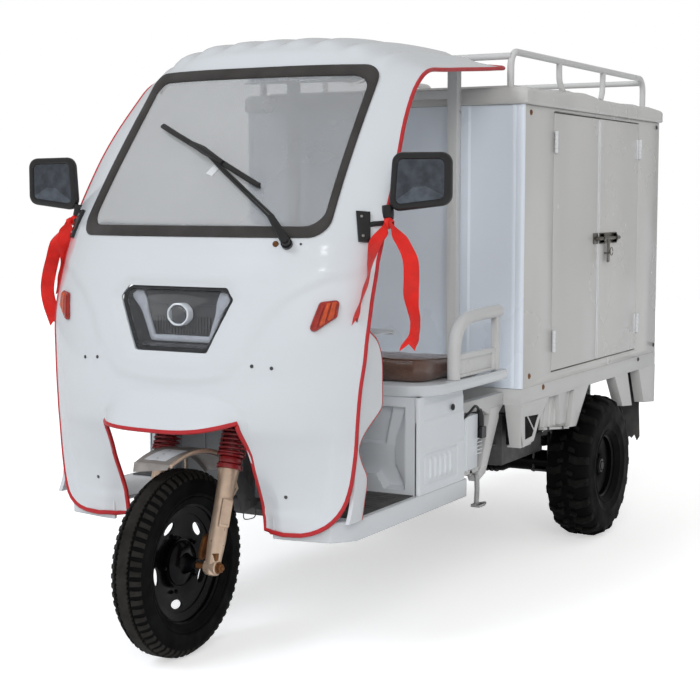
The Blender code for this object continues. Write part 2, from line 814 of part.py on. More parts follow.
def yoke():
    """Both fork bridges, the upper fork tubes and the steering stem, welded as one."""
    pieces = []
    for along in (LOWER_YOKE, UPPER_YOKE):
        low = along - YOKE_THICK / 2
        high = along + YOKE_THICK / 2
        bridge = block(
            (-FORK_HALF - 0.030, FORK_HALF + 0.030),
            (-0.032, STEER_OFFSET + 0.028),
            (low, high),
        )
        tilt = Matrix.Rotation(-RAKE, 4, "X")
        bridge.data.transform(Matrix.Translation((0, 0, FRONT_TYRE_RADIUS)) @ tilt)
        pieces.append(bridge)
    for side in (1, -1):
        x = side * FORK_HALF
        start = LEG_TOP + 0.004 + TOUCH_GAP
        pieces.append(
            rod(steer_point(start, x, 0), steer_point(UPPER_YOKE + 0.013, x, 0), STANCHION_RADIUS)
        )
    stem_top = UPPER_YOKE + BAR_RISE
    pieces.append(rod(steer_point(LOWER_YOKE), steer_point(stem_top - 0.03), STEM_RADIUS))
    finish(joined(pieces), "fork_yoke", "steel_grey", "steering")


def handlebar():
    """The bar on its clamp, with both grips as thicker ends."""
    top = UPPER_YOKE + BAR_RISE
    middle = steer_point(top)
    clamp = rod(steer_point(top - 0.03 + TOUCH_GAP), steer_point(top + 0.02), 0.024)
    points = []
    # share of the half width, y behind and z above the clamp
    for share, back, up in (
        (-1.0, 0.100, 0.050), (-0.62, 0.060, 0.055), (-0.30, 0.0, 0.0), (0.30, 0.0, 0.0),
        (0.62, 0.060, 0.055), (1.0, 0.100, 0.050),
    ):
        points.append(middle + Vector((share * BAR_HALF, back, up)))
    bar = tube(points, BAR_RADIUS)
    pieces = [clamp, bar]
    for side in (0, -1):
        end = points[side]
        near = points[1 if side == 0 else -2]
        inward = (near - end).normalized()
        pieces.append(rod(end - inward * 0.004, end + inward * GRIP_LENGTH, GRIP_RADIUS, 12))
    low = middle + Vector((-0.070, -0.035, 0.004))
    pod = block((low.x, low.x + 0.140), (low.y, low.y + 0.095), (low.z, low.z + 0.060))
    pieces.append(softened(pod, 0.012))
    finish(joined(pieces), "handlebar", "plastic_black", "steering")


def front_fender():
    """A strip over the tyre, on a strap that spans the fork legs."""
    gap = 0.030
    radius = FRONT_TYRE_RADIUS + gap
    line = [(0.0, y, z) for y, z in arc((0.0, FRONT_TYRE_RADIUS), radius, 128, 18, 16)]
    fender = strip(line, 0.125, 0.004)
    thick = 0.006
    foot = FORK_HALF - LEG_RADIUS - thick / 2 - TOUCH_GAP
    neck = FORK_HALF - COLLAR_RADIUS - thick - 0.004
    crown = FRONT_TYRE_RADIUS + radius - 0.012
    path = [
        (-foot, 0.460), (-foot, 0.502), (-neck, 0.522), (-neck, crown),
        (neck, crown), (neck, 0.522), (foot, 0.502), (foot, 0.460),
    ]
    strap = plate(offset_band(path, thick), "XZ", 0.060, 0.088)
    finish(joined([fender, strap]), "front_fender", "fork_gold", "steering")


def tread_columns(lugs):
    """Angles round a tyre with, for each, whether the left and the right lug row stand there."""
    columns = []
    for lug in range(lugs):
        for share, left, right in ((0.03, 1, 0), (0.47, 1, 0), (0.53, 0, 1), (0.97, 0, 1)):
            columns.append((2 * math.pi * (lug + share) / lugs, left, right))
    return columns


def tyre(radius, width, rim_radius, lug_depth, lugs, centre):
    """A tyre, solid down to its bead seat, with staggered shoulder lugs beside a middle rib."""
    half = width / 2
    middle = (radius + rim_radius) / 2
    # radius, place across the width, share of the lug's depth that is cut away between the lugs
    rows = (
        (rim_radius, -0.70 * half, 0.0),
        (rim_radius + 0.012, -0.82 * half, 0.0),
        (middle, -half, 0.0),
        (radius - 0.026, -0.94 * half, 0.6),
        (radius - 0.006, -0.74 * half, 1.0),
        (radius, -0.16 * half, 0.25),
        (radius, 0.16 * half, 0.25),
        (radius - 0.006, 0.74 * half, 1.0),
        (radius - 0.026, 0.94 * half, 0.6),
        (middle, half, 0.0),
        (rim_radius + 0.012, 0.82 * half, 0.0),
        (rim_radius, 0.70 * half, 0.0),
    )
    work = bmesh.new()
    rings = []
    for angle, left, right in tread_columns(lugs):
        ring = []
        for row_radius, across, share in rows:
            stands = left if across > 0 else right
            out = row_radius - (0.0 if stands else lug_depth * share)
            place = (across, out * math.sin(angle), out * math.cos(angle))
            ring.append(work.verts.new(Vector(centre) + Vector(place)))
        rings.append(ring)
    for one, two in zip(rings, rings[1:] + rings[:1]):
        for i in range(len(rows)):
            j = (i + 1) % len(rows)
            work.faces.new((one[i], one[j], two[j], two[i]))
    mesh = bpy.data.meshes.new("tyre")
    work.to_mesh(mesh)
    work.free()
    return link(clean(mesh))


def rim_profile(rim_radius, width, hub_radius, bore, dish):
    """A pressed-steel rim with its disc and hub, as one closed profile."""
    seat = rim_radius - RIM_SEAT_GAP
    half = 0.70 * width / 2
    lip = half + 0.006
    return [
        (seat, half - 0.002),
        (seat, -half + 0.002),
        (seat, -lip),
        (seat - RIM_WALL, -lip),
        (seat - RIM_WALL, -half * 0.6),
        (seat - 0.030, -half * 0.35),
        (seat - 0.030, -dish - RIM_WALL),
        (hub_radius, -dish - RIM_WALL),
        (hub_radius, -half * 0.9),
        (bore, -half * 0.9),
        (bore, half * 0.9),
        (hub_radius, half * 0.9),
        (hub_radius, -dish + RIM_WALL),
        (seat - 0.030 - RIM_WALL, -dish + RIM_WALL),
        (seat - 0.030 - RIM_WALL + 0.004, half * 0.35),
        (seat - RIM_WALL, half * 0.6),
        (seat - RIM_WALL, lip),
        (seat, lip),
    ]


def rim_windows(rim, centre, count, circle, size):
    """Cuts a ring of round-ended windows through a rim's disc."""
    tools = []
    for i in range(count):
        angle = 2 * math.pi * (i + 0.5) / count
        y = centre[1] + circle * math.cos(angle)
        z = centre[2] + circle * math.sin(angle)
        along = Vector((-math.sin(angle), math.cos(angle)))
        out = Vector((math.cos(angle), math.sin(angle)))
        outline = []
        for step in range(10):
            turn = 2 * math.pi * step / 10
            point = along * (size[0] * math.cos(turn)) + out * (size[1] * math.sin(turn))
            outline.append((y + point.x, z + point.y))
        x = centre[0]
        tools.append(plate(outline, "YZ", x - 0.015, x + 0.015))
    return cut(rim, tools)


def front_wheel():
    centre = (0.0, 0.0, FRONT_TYRE_RADIUS)
    rubber = tyre(
        FRONT_TYRE_RADIUS, FRONT_TYRE_WIDTH, FRONT_RIM_RADIUS, FRONT_LUG_DEPTH, FRONT_LUGS, centre
    )
    finish(rubber, "front_tyre", "tyre_black", "front_wheel")
    profile = rim_profile(FRONT_RIM_RADIUS, FRONT_TYRE_WIDTH, 0.062, AXLE_RADIUS + RUN_GAP, 0.0)
    rim = turned(profile, centre, "X", FRONT_RIM_STEPS)
    rim = rim_windows(rim, centre, 8, 0.098, (0.024, 0.014))
    finish(rim, "front_rim", "rim_black", "front_wheel")


def rear_wheels():
    for side, word in ((1, "left"), (-1, "right")):
        centre = (side * REAR_TRACK_HALF, WHEELBASE, REAR_TYRE_RADIUS)
        rubber = tyre(
            REAR_TYRE_RADIUS, REAR_TYRE_WIDTH, REAR_RIM_RADIUS, REAR_LUG_DEPTH, REAR_LUGS, centre
        )
        finish(rubber, "rear_tyre_" + word, "tyre_black", "rear_wheel_" + word)
        profile = rim_profile(REAR_RIM_RADIUS, REAR_TYRE_WIDTH, 0.048, 0.016 + RUN_GAP, 0.0)
        rim = turned(profile, centre, "X", REAR_RIM_STEPS)
        finish(rim, "rear_rim_" + word, "rim_black", "rear_wheel_" + word)


def rear_axle():
    """The axle tube with its stub ends, the drive motor's block and the brake drums."""
    y = WHEELBASE
    z = REAR_TYRE_RADIUS
    reach = REAR_TRACK_HALF + 0.055
    face = REAR_TRACK_HALF - REAR_TYRE_WIDTH * 0.35 * 0.9 - 0.006
    pieces = [
        rod((-reach, y, z), (reach, y, z), 0.016, 16),
        rod((-face + 0.01, y, z), (face - 0.01, y, z), 0.034, 20),
        rod((0.010, y, z), (0.130, y, z), 0.105, 24),
        rod((-0.130, y - 0.02, z + 0.005), (0.020, y - 0.02, z + 0.005), 0.078, 24),
    ]
    for side in (1, -1):
        inner = REAR_TRACK_HALF - REAR_TYRE_WIDTH / 2 - 0.045
        pieces.append(rod((side * inner, y, z), (side * face, y, z), 0.070, 24))
    finish(joined(pieces), "rear_axle", "plastic_black", "vehicle")


def leaf_springs():
    """Leaf packs between the rails and the axle, with their eyes at both ends."""
    under = BOX_BOTTOM_Z - BED_RAIL_HEIGHT - RAIL_HEIGHT
    axle_top = REAR_TYRE_RADIUS + 0.034
    for side, word in ((1, "left"), (-1, "right")):
        x = side * RAIL_HALF
        half = SPRING_HALF
        rise = under - 0.035 - (axle_top + 0.020)
        line = []
        for i in range(13):
            share = i / 6 - 1
            line.append((x, WHEELBASE + share * half, axle_top + 0.020 + rise * share * share))
        main = strip(line, 0.045, 0.010)
        second = strip([(p[0], p[1], p[2] - 0.009) for p in line[3:10]], 0.042, 0.010)
        seat = block(
            (x - 0.020, x + 0.020), (WHEELBASE - 0.040, WHEELBASE + 0.040),
            (axle_top - 0.006, axle_top + 0.014),
        )
        hollow = rod((x - 0.1, WHEELBASE, REAR_TYRE_RADIUS), (x + 0.1, WHEELBASE, REAR_TYRE_RADIUS),
                     0.034 + TOUCH_GAP, 20)
        pieces = [main, second, cut(seat, [hollow])]
        for end in (0, -1):
            eye = line[end]
            pieces.append(rod((x - 0.0242, eye[1], eye[2]), (x + 0.0242, eye[1], eye[2]), 0.014, 12))
        finish(joined(pieces), "leaf_spring_" + word, "rim_black", "vehicle")


def chassis():
    """Two long rails that step up behind the seat, their cross members, and the head tube."""
    floor_under = FLOOR_Z - FLOOR_THICK - TOUCH_GAP
    low = floor_under - RAIL_HEIGHT / 2
    high = BOX_BOTTOM_Z - BED_RAIL_HEIGHT - TOUCH_GAP - RAIL_HEIGHT / 2
    front = BOX_FRONT_Y
    rear = max(front + BOX_LENGTH - 0.010, WHEELBASE + SPRING_HALF + 0.040)
    step = BATTERY_BOX_REAR_Y + 0.080
    pieces = []
    for side in (1, -1):
        x = side * RAIL_HALF
        line = ((x, 0.330, low), (x, step, low), (x, step + 0.200, high), (x, rear, high))
        pieces.append(strip(line, RAIL_WIDTH, RAIL_HEIGHT))
    inner = RAIL_HALF
    beams = [(WELL_REAR_Y - 0.045, low), (step - 0.030, low), (step + 0.250, high)]
    beams += [(front + share * BOX_LENGTH, high) for share in RAIL_BEAMS]
    for y, z in beams:
        pieces.append(block(
            (-inner, inner), (y - BEAM_WIDTH / 2, y + BEAM_WIDTH / 2), (z - 0.022, z + 0.022)
        ))
    neck = rod(steer_point(LOWER_YOKE + YOKE_THICK / 2 + 0.002),
               steer_point(UPPER_YOKE - YOKE_THICK / 2 - 0.002), HEAD_TUBE_RADIUS, 20)
    neck_y = WELL_REAR_Y - 0.045
    pieces.append(neck)
    pieces.append(tube([steer_point(0.548), (0.0, neck_y + 0.007, 0.620), (0.0, neck_y, low)], 0.024))
    pieces.append(tube([steer_point(0.500), (0.0, neck_y - 0.025, 0.560)], 0.017))
    arm_y = BATTERY_BOX_REAR_Y - 0.030
    arm_end = SILL_HALF - 0.015
    brace_x = SILL_HALF - 0.070
    for side in (1, -1):
        rail = side * (RAIL_HALF - 0.010)
        pieces.append(block(
            sorted((rail, side * arm_end)), (arm_y - 0.020, arm_y + 0.020),
            (low - 0.012, low + 0.020)
        ))
        pieces.append(tube([
            (side * RAIL_HALF, step + 0.070, low + 0.071), (side * brace_x, step, low + 0.012),
            (side * brace_x, arm_y, low),
        ], 0.014))
        for share in OUTRIGGERS:
            y = front + share * BOX_LENGTH
            pieces.append(block(
                sorted((rail, side * (BOX_HALF - 0.052))),
                (y - BEAM_WIDTH / 2, y + BEAM_WIDTH / 2),
                (high + 0.002, high + RAIL_HEIGHT / 2 - 0.001)
            ))
        for share in (-1, 1):
            y = WHEELBASE + share * SPRING_HALF
            top = high - RAIL_HEIGHT / 2
            x = side * RAIL_HALF
            pieces.append(block((x - 0.034, x + 0.034), (y - 0.024, y + 0.024), (top - 0.008, top + 0.004)))
            for plate_x in (-0.0285, 0.0285):
                at = x + plate_x
                ear = block((at - 0.004, at + 0.004), (y - 0.022, y + 0.022), (top - 0.058, top - 0.002))
                pieces.append(ear)
    pieces.append(block(
        (RAIL_HALF + 0.005, BRAKE_START - TOUCH_GAP), (BRAKE_Y - 0.018, BRAKE_Y + 0.018),
        (BRAKE_Z - 0.018, BRAKE_Z + 0.090),
    ))
    bore = rod(steer_point(0.40), steer_point(0.80), STEM_RADIUS + RUN_GAP, 20)
    frame = cut(joined(pieces), [bore])
    finish(frame, "chassis_frame", "frame_white", "vehicle")


def floor_pan():
    """The moulded floor with its side sills, cut away at the front for the wheel's well."""
    half = SILL_HALF
    rear = BATTERY_BOX_REAR_Y + 0.020
    nose = FLOOR_FRONT_Y
    corner = half - 0.050
    bend = corner - 0.130
    side_y = nose + 0.024
    outline = [
        (-half, rear), (-half, 0.150), (-corner, side_y), (-bend, nose), (-WELL_HALF, nose),
        (-WELL_HALF, WELL_REAR_Y), (WELL_HALF, WELL_REAR_Y), (WELL_HALF, nose),
        (bend, nose), (corner, side_y), (half, 0.150), (half, rear),
    ]
    deck = plate(outline[::-1], "XY", FLOOR_Z - FLOOR_THICK, FLOOR_Z)
    low = FLOOR_Z - SILL_HEIGHT
    pieces = [deck]
    for side in (1, -1):
        line = [(side * WELL_HALF, nose), (side * bend, nose), (side * corner, side_y),
                (side * half, 0.150), (side * half, rear)]
        thin = 0.012
        inner = [(side * WELL_HALF, nose + thin), (side * (bend - 0.003), nose + thin),
                 (side * (corner - 0.006), side_y + thin), (side * (half - thin), 0.156),
                 (side * (half - thin), rear)]
        wall = plate(line + inner[::-1], "XY", low, FLOOR_Z - 0.001)
        pieces.append(wall)
    finish(joined(pieces), "floor_pan", "shell_white", "vehicle")
    mat_edge = 0.018
    mat_outline = [
        (-half + mat_edge, SEAT_FRONT_Y - 0.004), (-half + mat_edge, WELL_REAR_Y + 0.020),
        (half - mat_edge, WELL_REAR_Y + 0.020), (half - mat_edge, SEAT_FRONT_Y - 0.004),
    ]
    mat = plate(mat_outline, "XY", FLOOR_Z + TOUCH_GAP, FLOOR_Z + 0.004)
    finish(mat, "floor_mat", "gasket_black", "vehicle")


def battery_box():
    """The hollow white box under the seat, open at the back, and the battery in it."""
    half = SILL_HALF - 0.001
    low = FLOOR_Z + TOUCH_GAP
    high = SEAT_TOP_Z - SEAT_RIM - TOUCH_GAP
    wall = 0.008
    outer = block((-half, half), (SEAT_FRONT_Y, BATTERY_BOX_REAR_Y), (low, high))
    inner = block(
        (-half + wall, half - wall), (SEAT_FRONT_Y + wall, BATTERY_BOX_REAR_Y + 0.1),
        (low + wall, high - wall),
    )
    finish(cut(outer, [inner]), "battery_box", "panel_white", "vehicle")
    pack = block(
        (-0.320, 0.320), (SEAT_FRONT_Y + 0.050, BATTERY_BOX_REAR_Y - 0.030),
        (low + wall + TOUCH_GAP, low + 0.220),
    )
    finish(pack, "battery_pack", "plastic_black", "vehicle")


def seat():
    """The moulded seat base, and the cushion, which tips up about its front edge."""
    outline = [
        (-SEAT_HALF, SEAT_REAR_Y), (-SEAT_HALF, SEAT_FRONT_Y - 0.008),
        (SEAT_HALF, SEAT_FRONT_Y - 0.008), (SEAT_HALF, SEAT_REAR_Y),
    ]
    behind = SEAT_FRONT_Y + 0.370
    front = rounded(outline[1:3] + [(SEAT_HALF, behind), (-SEAT_HALF, behind)], 0.120, 5)[:12]
    base = plate(
        [(-SEAT_HALF, SEAT_REAR_Y)] + front + [(SEAT_HALF, SEAT_REAR_Y)],
        "XY", SEAT_TOP_Z - SEAT_RIM, SEAT_TOP_Z,
    )
    finish(softened(base, 0.008), "seat_base", "shell_white", "vehicle")
    low = SEAT_TOP_Z + TOUCH_GAP
    nose = SEAT_FRONT_Y + CUSHION_INSET
    back = SEAT_REAR_Y - 0.030
    pad = plate(
        rounded(
            [(-CUSHION_HALF, nose), (CUSHION_HALF, nose), (CUSHION_HALF, back),
             (-CUSHION_HALF, back)], 0.050, 3,
        ),
        "XY", low, low + CUSHION_HEIGHT,
    )
    finish(softened(pad, 0.018), "seat_cushion", "seat_brown", "seat")


def armrests():
    radius = 0.0165
    front = SEAT_FRONT_Y + 0.182
    rear = SEAT_REAR_Y - 0.075
    top = SEAT_TOP_Z + ARMREST_RISE
    for side, word in ((1, "left"), (-1, "right")):
        x = side * (SEAT_HALF - 0.022)
        foot = SEAT_TOP_Z + TOUCH_GAP
        bend = [(y, z) for y, z in arc((front + 0.085, top - 0.085 - 0.012), 0.085, 180, 95, 5)]
        line = [(front, foot)] + bend + [(rear, top), (rear, foot)]
        bar = tube([(x, y, z) for y, z in line], radius)
        infill = plate(
            [(front, foot + 0.012), (rear, foot + 0.012), (rear, top - 0.110), (front, top - 0.120)],
            "YZ", x - 0.006, x + 0.006,
        )
        finish(joined([bar, infill]), "armrest_" + word, "frame_white", "vehicle")


def cab_pillars():
    """Two upright tubes and a cross tube that hold the roof's tail in front of the box."""
    y = PILLAR_Y
    half = PILLAR_HALF
    size = PILLAR_SIZE / 2
    foot = BOX_BOTTOM_Z - BED_RAIL_HEIGHT
    top = under_roof(half + size, y + size) - TOUCH_GAP
    seat_z = SEAT_TOP_Z - SEAT_RIM / 2
    pieces = []
    for side in (1, -1):
        x = side * half
        pieces.append(block((x - size, x + size), (y - size, y + size), (foot, top)))
        pieces.append(block(
            (x - size + 0.002, x + size - 0.002), (SEAT_REAR_Y + TOUCH_GAP, y),
            (seat_z - 0.015, seat_z + 0.015),
        ))
    pieces.append(block((-half, half), (y - 0.013, y + 0.013), (top - 0.114, top - 0.088)))
    pieces.append(block((-0.42, 0.42), (y - 0.013, y + 0.013), (seat_z - 0.013, seat_z + 0.013)))
    finish(joined(pieces), "cab_pillars", "frame_white", "vehicle")


def box_zone():
    low = BOX_BOTTOM_Z
    return low, low + BOX_HEIGHT, BOX_FRONT_Y, BOX_FRONT_Y + BOX_LENGTH


def cargo_box():
    """The welded box body: front wall, fixed side panels, posts and headers, as one hollow shell."""
    low, high, front, rear = box_zone()
    wall = BOX_WALL
    body = block((-BOX_HALF, BOX_HALF), (front, rear), (low, high))
    inner = block(
        (-BOX_HALF + wall, BOX_HALF - wall), (front + wall, rear - wall),
        (low + BOX_FLOOR, high + 0.05),
    )
    doors = block(
        (-BOX_HALF - 0.1, BOX_HALF + 0.1), (front + SIDE_DOOR_FRONT, front + SIDE_DOOR_REAR),
        (low + SIDE_DOOR_BOTTOM, high - SIDE_DOOR_TOP),
    )
    back = block(
        (-BOX_HALF + REAR_POST, BOX_HALF - REAR_POST), (rear - 0.1, rear + 0.1),
        (low + SIDE_DOOR_BOTTOM, high - SIDE_DOOR_TOP),
    )
    finish(cut(body, [inner, doors, back]), "cargo_body", "panel_white", "vehicle")


def hinge_rods(x, y, low, high):
    rods = []
    for z in (low + HINGE_INSET, high - HINGE_INSET):
        rods.append(rod((x, y, z - HINGE_LENGTH / 2), (x, y, z + HINGE_LENGTH / 2), HINGE_RADIUS, 12))
    return rods


def doors():
    """Pairs of doors on both sides and at the back, each hung on its outer edge."""
    low, high, front, rear = box_zone()
    bottom = low + SIDE_DOOR_BOTTOM + DOOR_GAP
    top = high - SIDE_DOOR_TOP - DOOR_GAP
    first = front + SIDE_DOOR_FRONT
    last = front + SIDE_DOOR_REAR
    meet = (first + last) / 2
    proud = HINGE_RADIUS - 0.001
    for side, word in ((1, "left"), (-1, "right")):
        outer = side * BOX_HALF
        inner = side * (BOX_HALF - BOX_WALL)
        xs = tuple(sorted((outer, inner)))
        for at, edge, end in (
            ("front", first, meet - DOOR_GAP / 2), ("rear", last, meet + DOOR_GAP / 2)
        ):
            shift = DOOR_GAP if at == "front" else -DOOR_GAP
            ys = tuple(sorted((edge + shift, end)))
            name = "door_%s_%s" % (word, at)
            hinge_y = edge + shift
            pieces = [block(xs, ys, (bottom, top))]
            pieces += hinge_rods(side * (BOX_HALF + proud), hinge_y, bottom, top)
            if at == "front":
                reach = tuple(sorted((side * (BOX_HALF - 0.002), side * (BOX_HALF + 0.017))))
                pieces.append(keeper(reach, (meet - 0.048, meet - KEEPER_GAP)))
            finish(joined(pieces), name, "panel_white", name)
    for side, word in ((1, "left"), (-1, "right")):
        edge = side * (BOX_HALF - REAR_POST - DOOR_GAP)
        xs = tuple(sorted((edge, side * DOOR_GAP / 2)))
        name = "door_back_" + word
        pieces = [block(xs, (rear - BOX_WALL, rear), (bottom, top))]
        pieces += hinge_rods(edge, rear + proud, bottom, top)
        if word == "right":
            pieces.append(keeper((-0.048, -KEEPER_GAP), (rear - 0.002, rear + 0.017)))
        finish(joined(pieces), name, "panel_white", name)


def keeper(xs, ys):
    """The block that a latch's bolt slides into, on the door beside the latch."""
    z = BOX_BOTTOM_Z + LATCH_RISE
    return block(xs, ys, (z - 0.012, z + 0.012))


def latches():
    """A slide bolt on each pair of side doors and on the back pair, carried by one door."""
    low, high, front, rear = box_zone()
    z = low + LATCH_RISE
    meet = front + (SIDE_DOOR_FRONT + SIDE_DOOR_REAR) / 2
    for side, word in ((1, "left"), (-1, "right")):
        xs = tuple(sorted((side * (BOX_HALF + TOUCH_GAP), side * (BOX_HALF + 0.006))))
        base = block(xs, (meet + 0.006, meet + 0.100), (z - 0.020, z + 0.020))
        x = side * (BOX_HALF + 0.010)
        bolt = rod((x, meet + BOLT_GAP, z), (x, meet + 0.120, z), 0.006, 12)
        hasp = block(
            tuple(sorted((side * (BOX_HALF + 0.004), side * (BOX_HALF + 0.016)))),
            (meet + 0.020, meet + 0.032), (z - 0.060, z),
        )
        finish(joined([base, bolt, hasp]), "latch_" + word, "steel_grey", "door_%s_rear" % word)
    ys = (rear + TOUCH_GAP, rear + 0.006)
    base = block((0.006, 0.100), ys, (z - 0.020, z + 0.020))
    bolt = rod((BOLT_GAP, rear + 0.010, z), (0.120, rear + 0.010, z), 0.006, 12)
    finish(joined([base, bolt]), "latch_back", "steel_grey", "door_back_left")


def box_lid():
    """The moulded lid, hollow below, with a raised middle and a skirt over the box's edge."""
    low, high, front, rear = box_zone()
    over = LID_OVERHANG
    bottom = high + TOUCH_GAP
    step = bottom + LID_SKIRT
    crown = step + LID_CROWN
    skirt = block((-BOX_HALF - over, BOX_HALF + over), (front - over, rear + over), (bottom, step))
    inset = LID_STEP
    middle = block(
        (-BOX_HALF + inset, BOX_HALF - inset), (front + inset, rear - inset), (step - 0.01, crown)
    )
    wall = LID_WALL
    hollow = block(
        (-BOX_HALF + BOX_WALL, BOX_HALF - BOX_WALL), (front + BOX_WALL, rear - BOX_WALL),
        (bottom - 0.05, step - wall),
    )
    hollow_top = block(
        (-BOX_HALF + inset + wall, BOX_HALF - inset - wall),
        (front + inset + wall, rear - inset - wall), (step - wall - 0.01, crown - wall),
    )
    lid = softened(joined([skirt, middle]), 0.008, 2)
    finish(cut(lid, [hollow, hollow_top]), "cargo_lid", "shell_white", "vehicle")


def roof_rack():
    """A tube rail round the roof of the box, on posts that lean out to the lid's edge."""
    low, high, front, rear = box_zone()
    foot_z = high + TOUCH_GAP + LID_SKIRT + TOUCH_GAP
    top_z = high + RACK_RISE
    half = BOX_HALF - 0.0566
    foot_half = BOX_HALF - 0.0266
    start = front + 0.015
    end = rear - 0.040
    radius = 0.0115
    corner = 0.060
    outline = rounded([(-half, start), (half, start), (half, end), (-half, end)], corner, 4)
    pieces = [tube([(x, y, top_z) for x, y in outline], radius, 1, closed=True)]
    span = end - start - 0.11
    for side in (1, -1):
        for i in range(4):
            y = start + 0.055 + span * i / 3
            pieces.append(tube(
                [(side * foot_half, y, foot_z), (side * foot_half, y, foot_z + 0.045),
                 (side * half, y, top_z)], radius * 0.9, 1,
            ))
    finish(joined(pieces), "roof_rack", "frame_white", "vehicle")


def bed_frame():
    """The ring of beams under the cargo box, on the chassis rails."""
    low, high, front, rear = box_zone()
    top = low - TOUCH_GAP
    bottom = low - BED_RAIL_HEIGHT
    width = BED_RAIL_WIDTH
    outer = block((-BOX_HALF, BOX_HALF), (front - 0.004, rear), (bottom, top))
    inner = block(
        (-BOX_HALF + width, BOX_HALF - width), (front - 0.004 + width, rear - width),
        (bottom - 0.05, top + 0.05),
    )
    ring = cut(outer, [inner])
    pieces = [ring]
    for share in BED_BEAMS:
        y = front + share * BOX_LENGTH
        pieces.append(block(
            (-BOX_HALF + 0.01, BOX_HALF - 0.01), (y - BEAM_WIDTH / 2, y + BEAM_WIDTH / 2),
            (bottom, top)
        ))
    pieces.append(block(
        (-TOW_PLATE_HALF, TOW_PLATE_HALF), (rear - 0.004, rear + TOW_PLATE_PROUD),
        (bottom + 0.004, top - 0.004)
    ))
    finish(joined(pieces + stake_pockets()), "bed_frame", "frame_white", "vehicle")


def stake_pockets():
    """The tapered brackets under the bed's corners and beside the rear wheels."""
    bottom = BOX_BOTTOM_Z - BED_RAIL_HEIGHT + 0.002
    low, high, front, rear = box_zone()
    pockets = []
    # place along y, width at the top, width at the foot, drop, window
    table = (
        (front + 0.055, 0.118, 0.070, 0.143, True),
        (front + 0.268 * BOX_LENGTH, 0.075, 0.060, 0.110, False),
        (rear - 0.060, 0.110, 0.070, 0.145, False),
    )
    for side in (1, -1):
        for y, wide, narrow, drop, window in table:
            foot = bottom - drop
            outline = [
                (y - wide / 2, bottom), (y - narrow / 2, foot), (y + narrow / 2, foot),
                (y + wide / 2, bottom),
            ]
            holes = []
            if window:
                holes = [[(y - 0.022, foot + 0.020), (y + 0.022, foot + 0.026),
                          (y + 0.030, foot + 0.085), (y - 0.026, foot + 0.075)]]
            xs = sorted((side * (BOX_HALF - 0.001), side * (BOX_HALF - 0.045)))
            pockets.append(plate(outline, "YZ", xs[0], xs[1], holes))
    return pockets


def mirrors():
    for side, word in ((1, "left"), (-1, "right")):
        near = MIRROR_SEAT + TOUCH_GAP
        head = block(
            tuple(sorted((side * near, side * 0.722))), (0.235, 0.268), (1.272, 1.402)
        )
        head = softened(head, 0.014, 2)
        arm = tube([(side * 0.535, 0.214, 1.215), (side * 0.560, 0.228, 1.225),
                    (side * 0.585, 0.250, 1.290)], 0.011)
        bracket = block(
            tuple(sorted((side * near, side * (near + 0.010)))), (0.190, 0.246), (1.170, 1.245)
        )
        finish(joined([head, arm, bracket]), "mirror_" + word, "plastic_black", "vehicle")


def ribbons():
    """Two soft strips with a knot, tied on each mirror's arm."""
    # across, behind and above the front axle's foot, for each strip's middle line
    strips = (
        ((0.563, 0.190, 1.212), (0.545, 0.168, 1.150), (0.528, 0.130, 1.060), (0.512, 0.104, 0.960)),
        ((0.572, 0.190, 1.212), (0.610, 0.203, 1.140), (0.618, 0.205, 1.040), (0.585, 0.205, 0.955),
         (0.600, 0.205, 0.880)),
    )
    for side, word in ((1, "left"), (-1, "right")):
        knot = block(
            tuple(sorted((side * 0.551, side * 0.580))), (0.178, 0.203), (1.192, 1.232)
        )
        pieces = [softened(knot, 0.006)]
        for line in strips:
            grid = []
            for x, y, z in line:
                grid.append([
                    Vector((side * (x + share * RIBBON_WIDTH), y, z)) for share in (-0.5, 0.5)
                ])
            pieces.append(thickened(grid, 0.0025, 0.0))
        finish(joined(pieces), "ribbon_" + word, "ribbon_red", "vehicle")


def mud_flaps():
    rear = BOX_FRONT_Y + BOX_LENGTH
    top = BOX_BOTTOM_Z - BED_RAIL_HEIGHT - TOUCH_GAP
    for side, word in ((1, "left"), (-1, "right")):
        inner = max(BOX_HALF - 0.1466, RAIL_HALF + RAIL_WIDTH / 2 + 0.010)
        xs = tuple(sorted((side * inner, side * (BOX_HALF - 0.0516))))
        flap = block(xs, (rear - 0.040, rear - 0.034), (top - 0.300, top))
        finish(flap, "mud_flap_" + word, "gasket_black", "vehicle")


def brake_linkage():
    """The brake's cross shaft with its lever, foot and pull rod, carried by the chassis."""
    y = BRAKE_Y
    z = BRAKE_Z
    rod_x = 0.400
    foot = Vector((0.440, y + 0.031, z - 0.115))
    pieces = [
        rod((BRAKE_START, y, z), (0.452, y, z), 0.011),
        rod((0.440, y, z), foot, 0.007, 10),
        rod(foot, foot + Vector((0.030, 0.0, 0.0)), 0.009, 10),
        rod((rod_x, y, z), (rod_x, y - 0.006, z + 0.070), 0.006, 10),
        rod((rod_x, y - 0.006, z + 0.070), (rod_x, y + 0.480, z + 0.040), 0.005, 10),
    ]
    finish(joined(pieces), "brake_linkage", "steel_grey", "vehicle")


def tail_lamps():
    rear = BOX_FRONT_Y + BOX_LENGTH
    low = BOX_BOTTOM_Z - BED_RAIL_HEIGHT
    for side, word in ((1, "left"), (-1, "right")):
        xs = tuple(sorted((side * (BOX_HALF - 0.1616), side * (BOX_HALF - 0.0316))))
        lamp = softened(block(
            xs, (rear + TOUCH_GAP, rear + TAIL_LAMP_DEPTH), (low + 0.002, low + 0.050)), 0.006)
        finish(lamp, "tail_lamp_" + word, "signal_red", "vehicle")


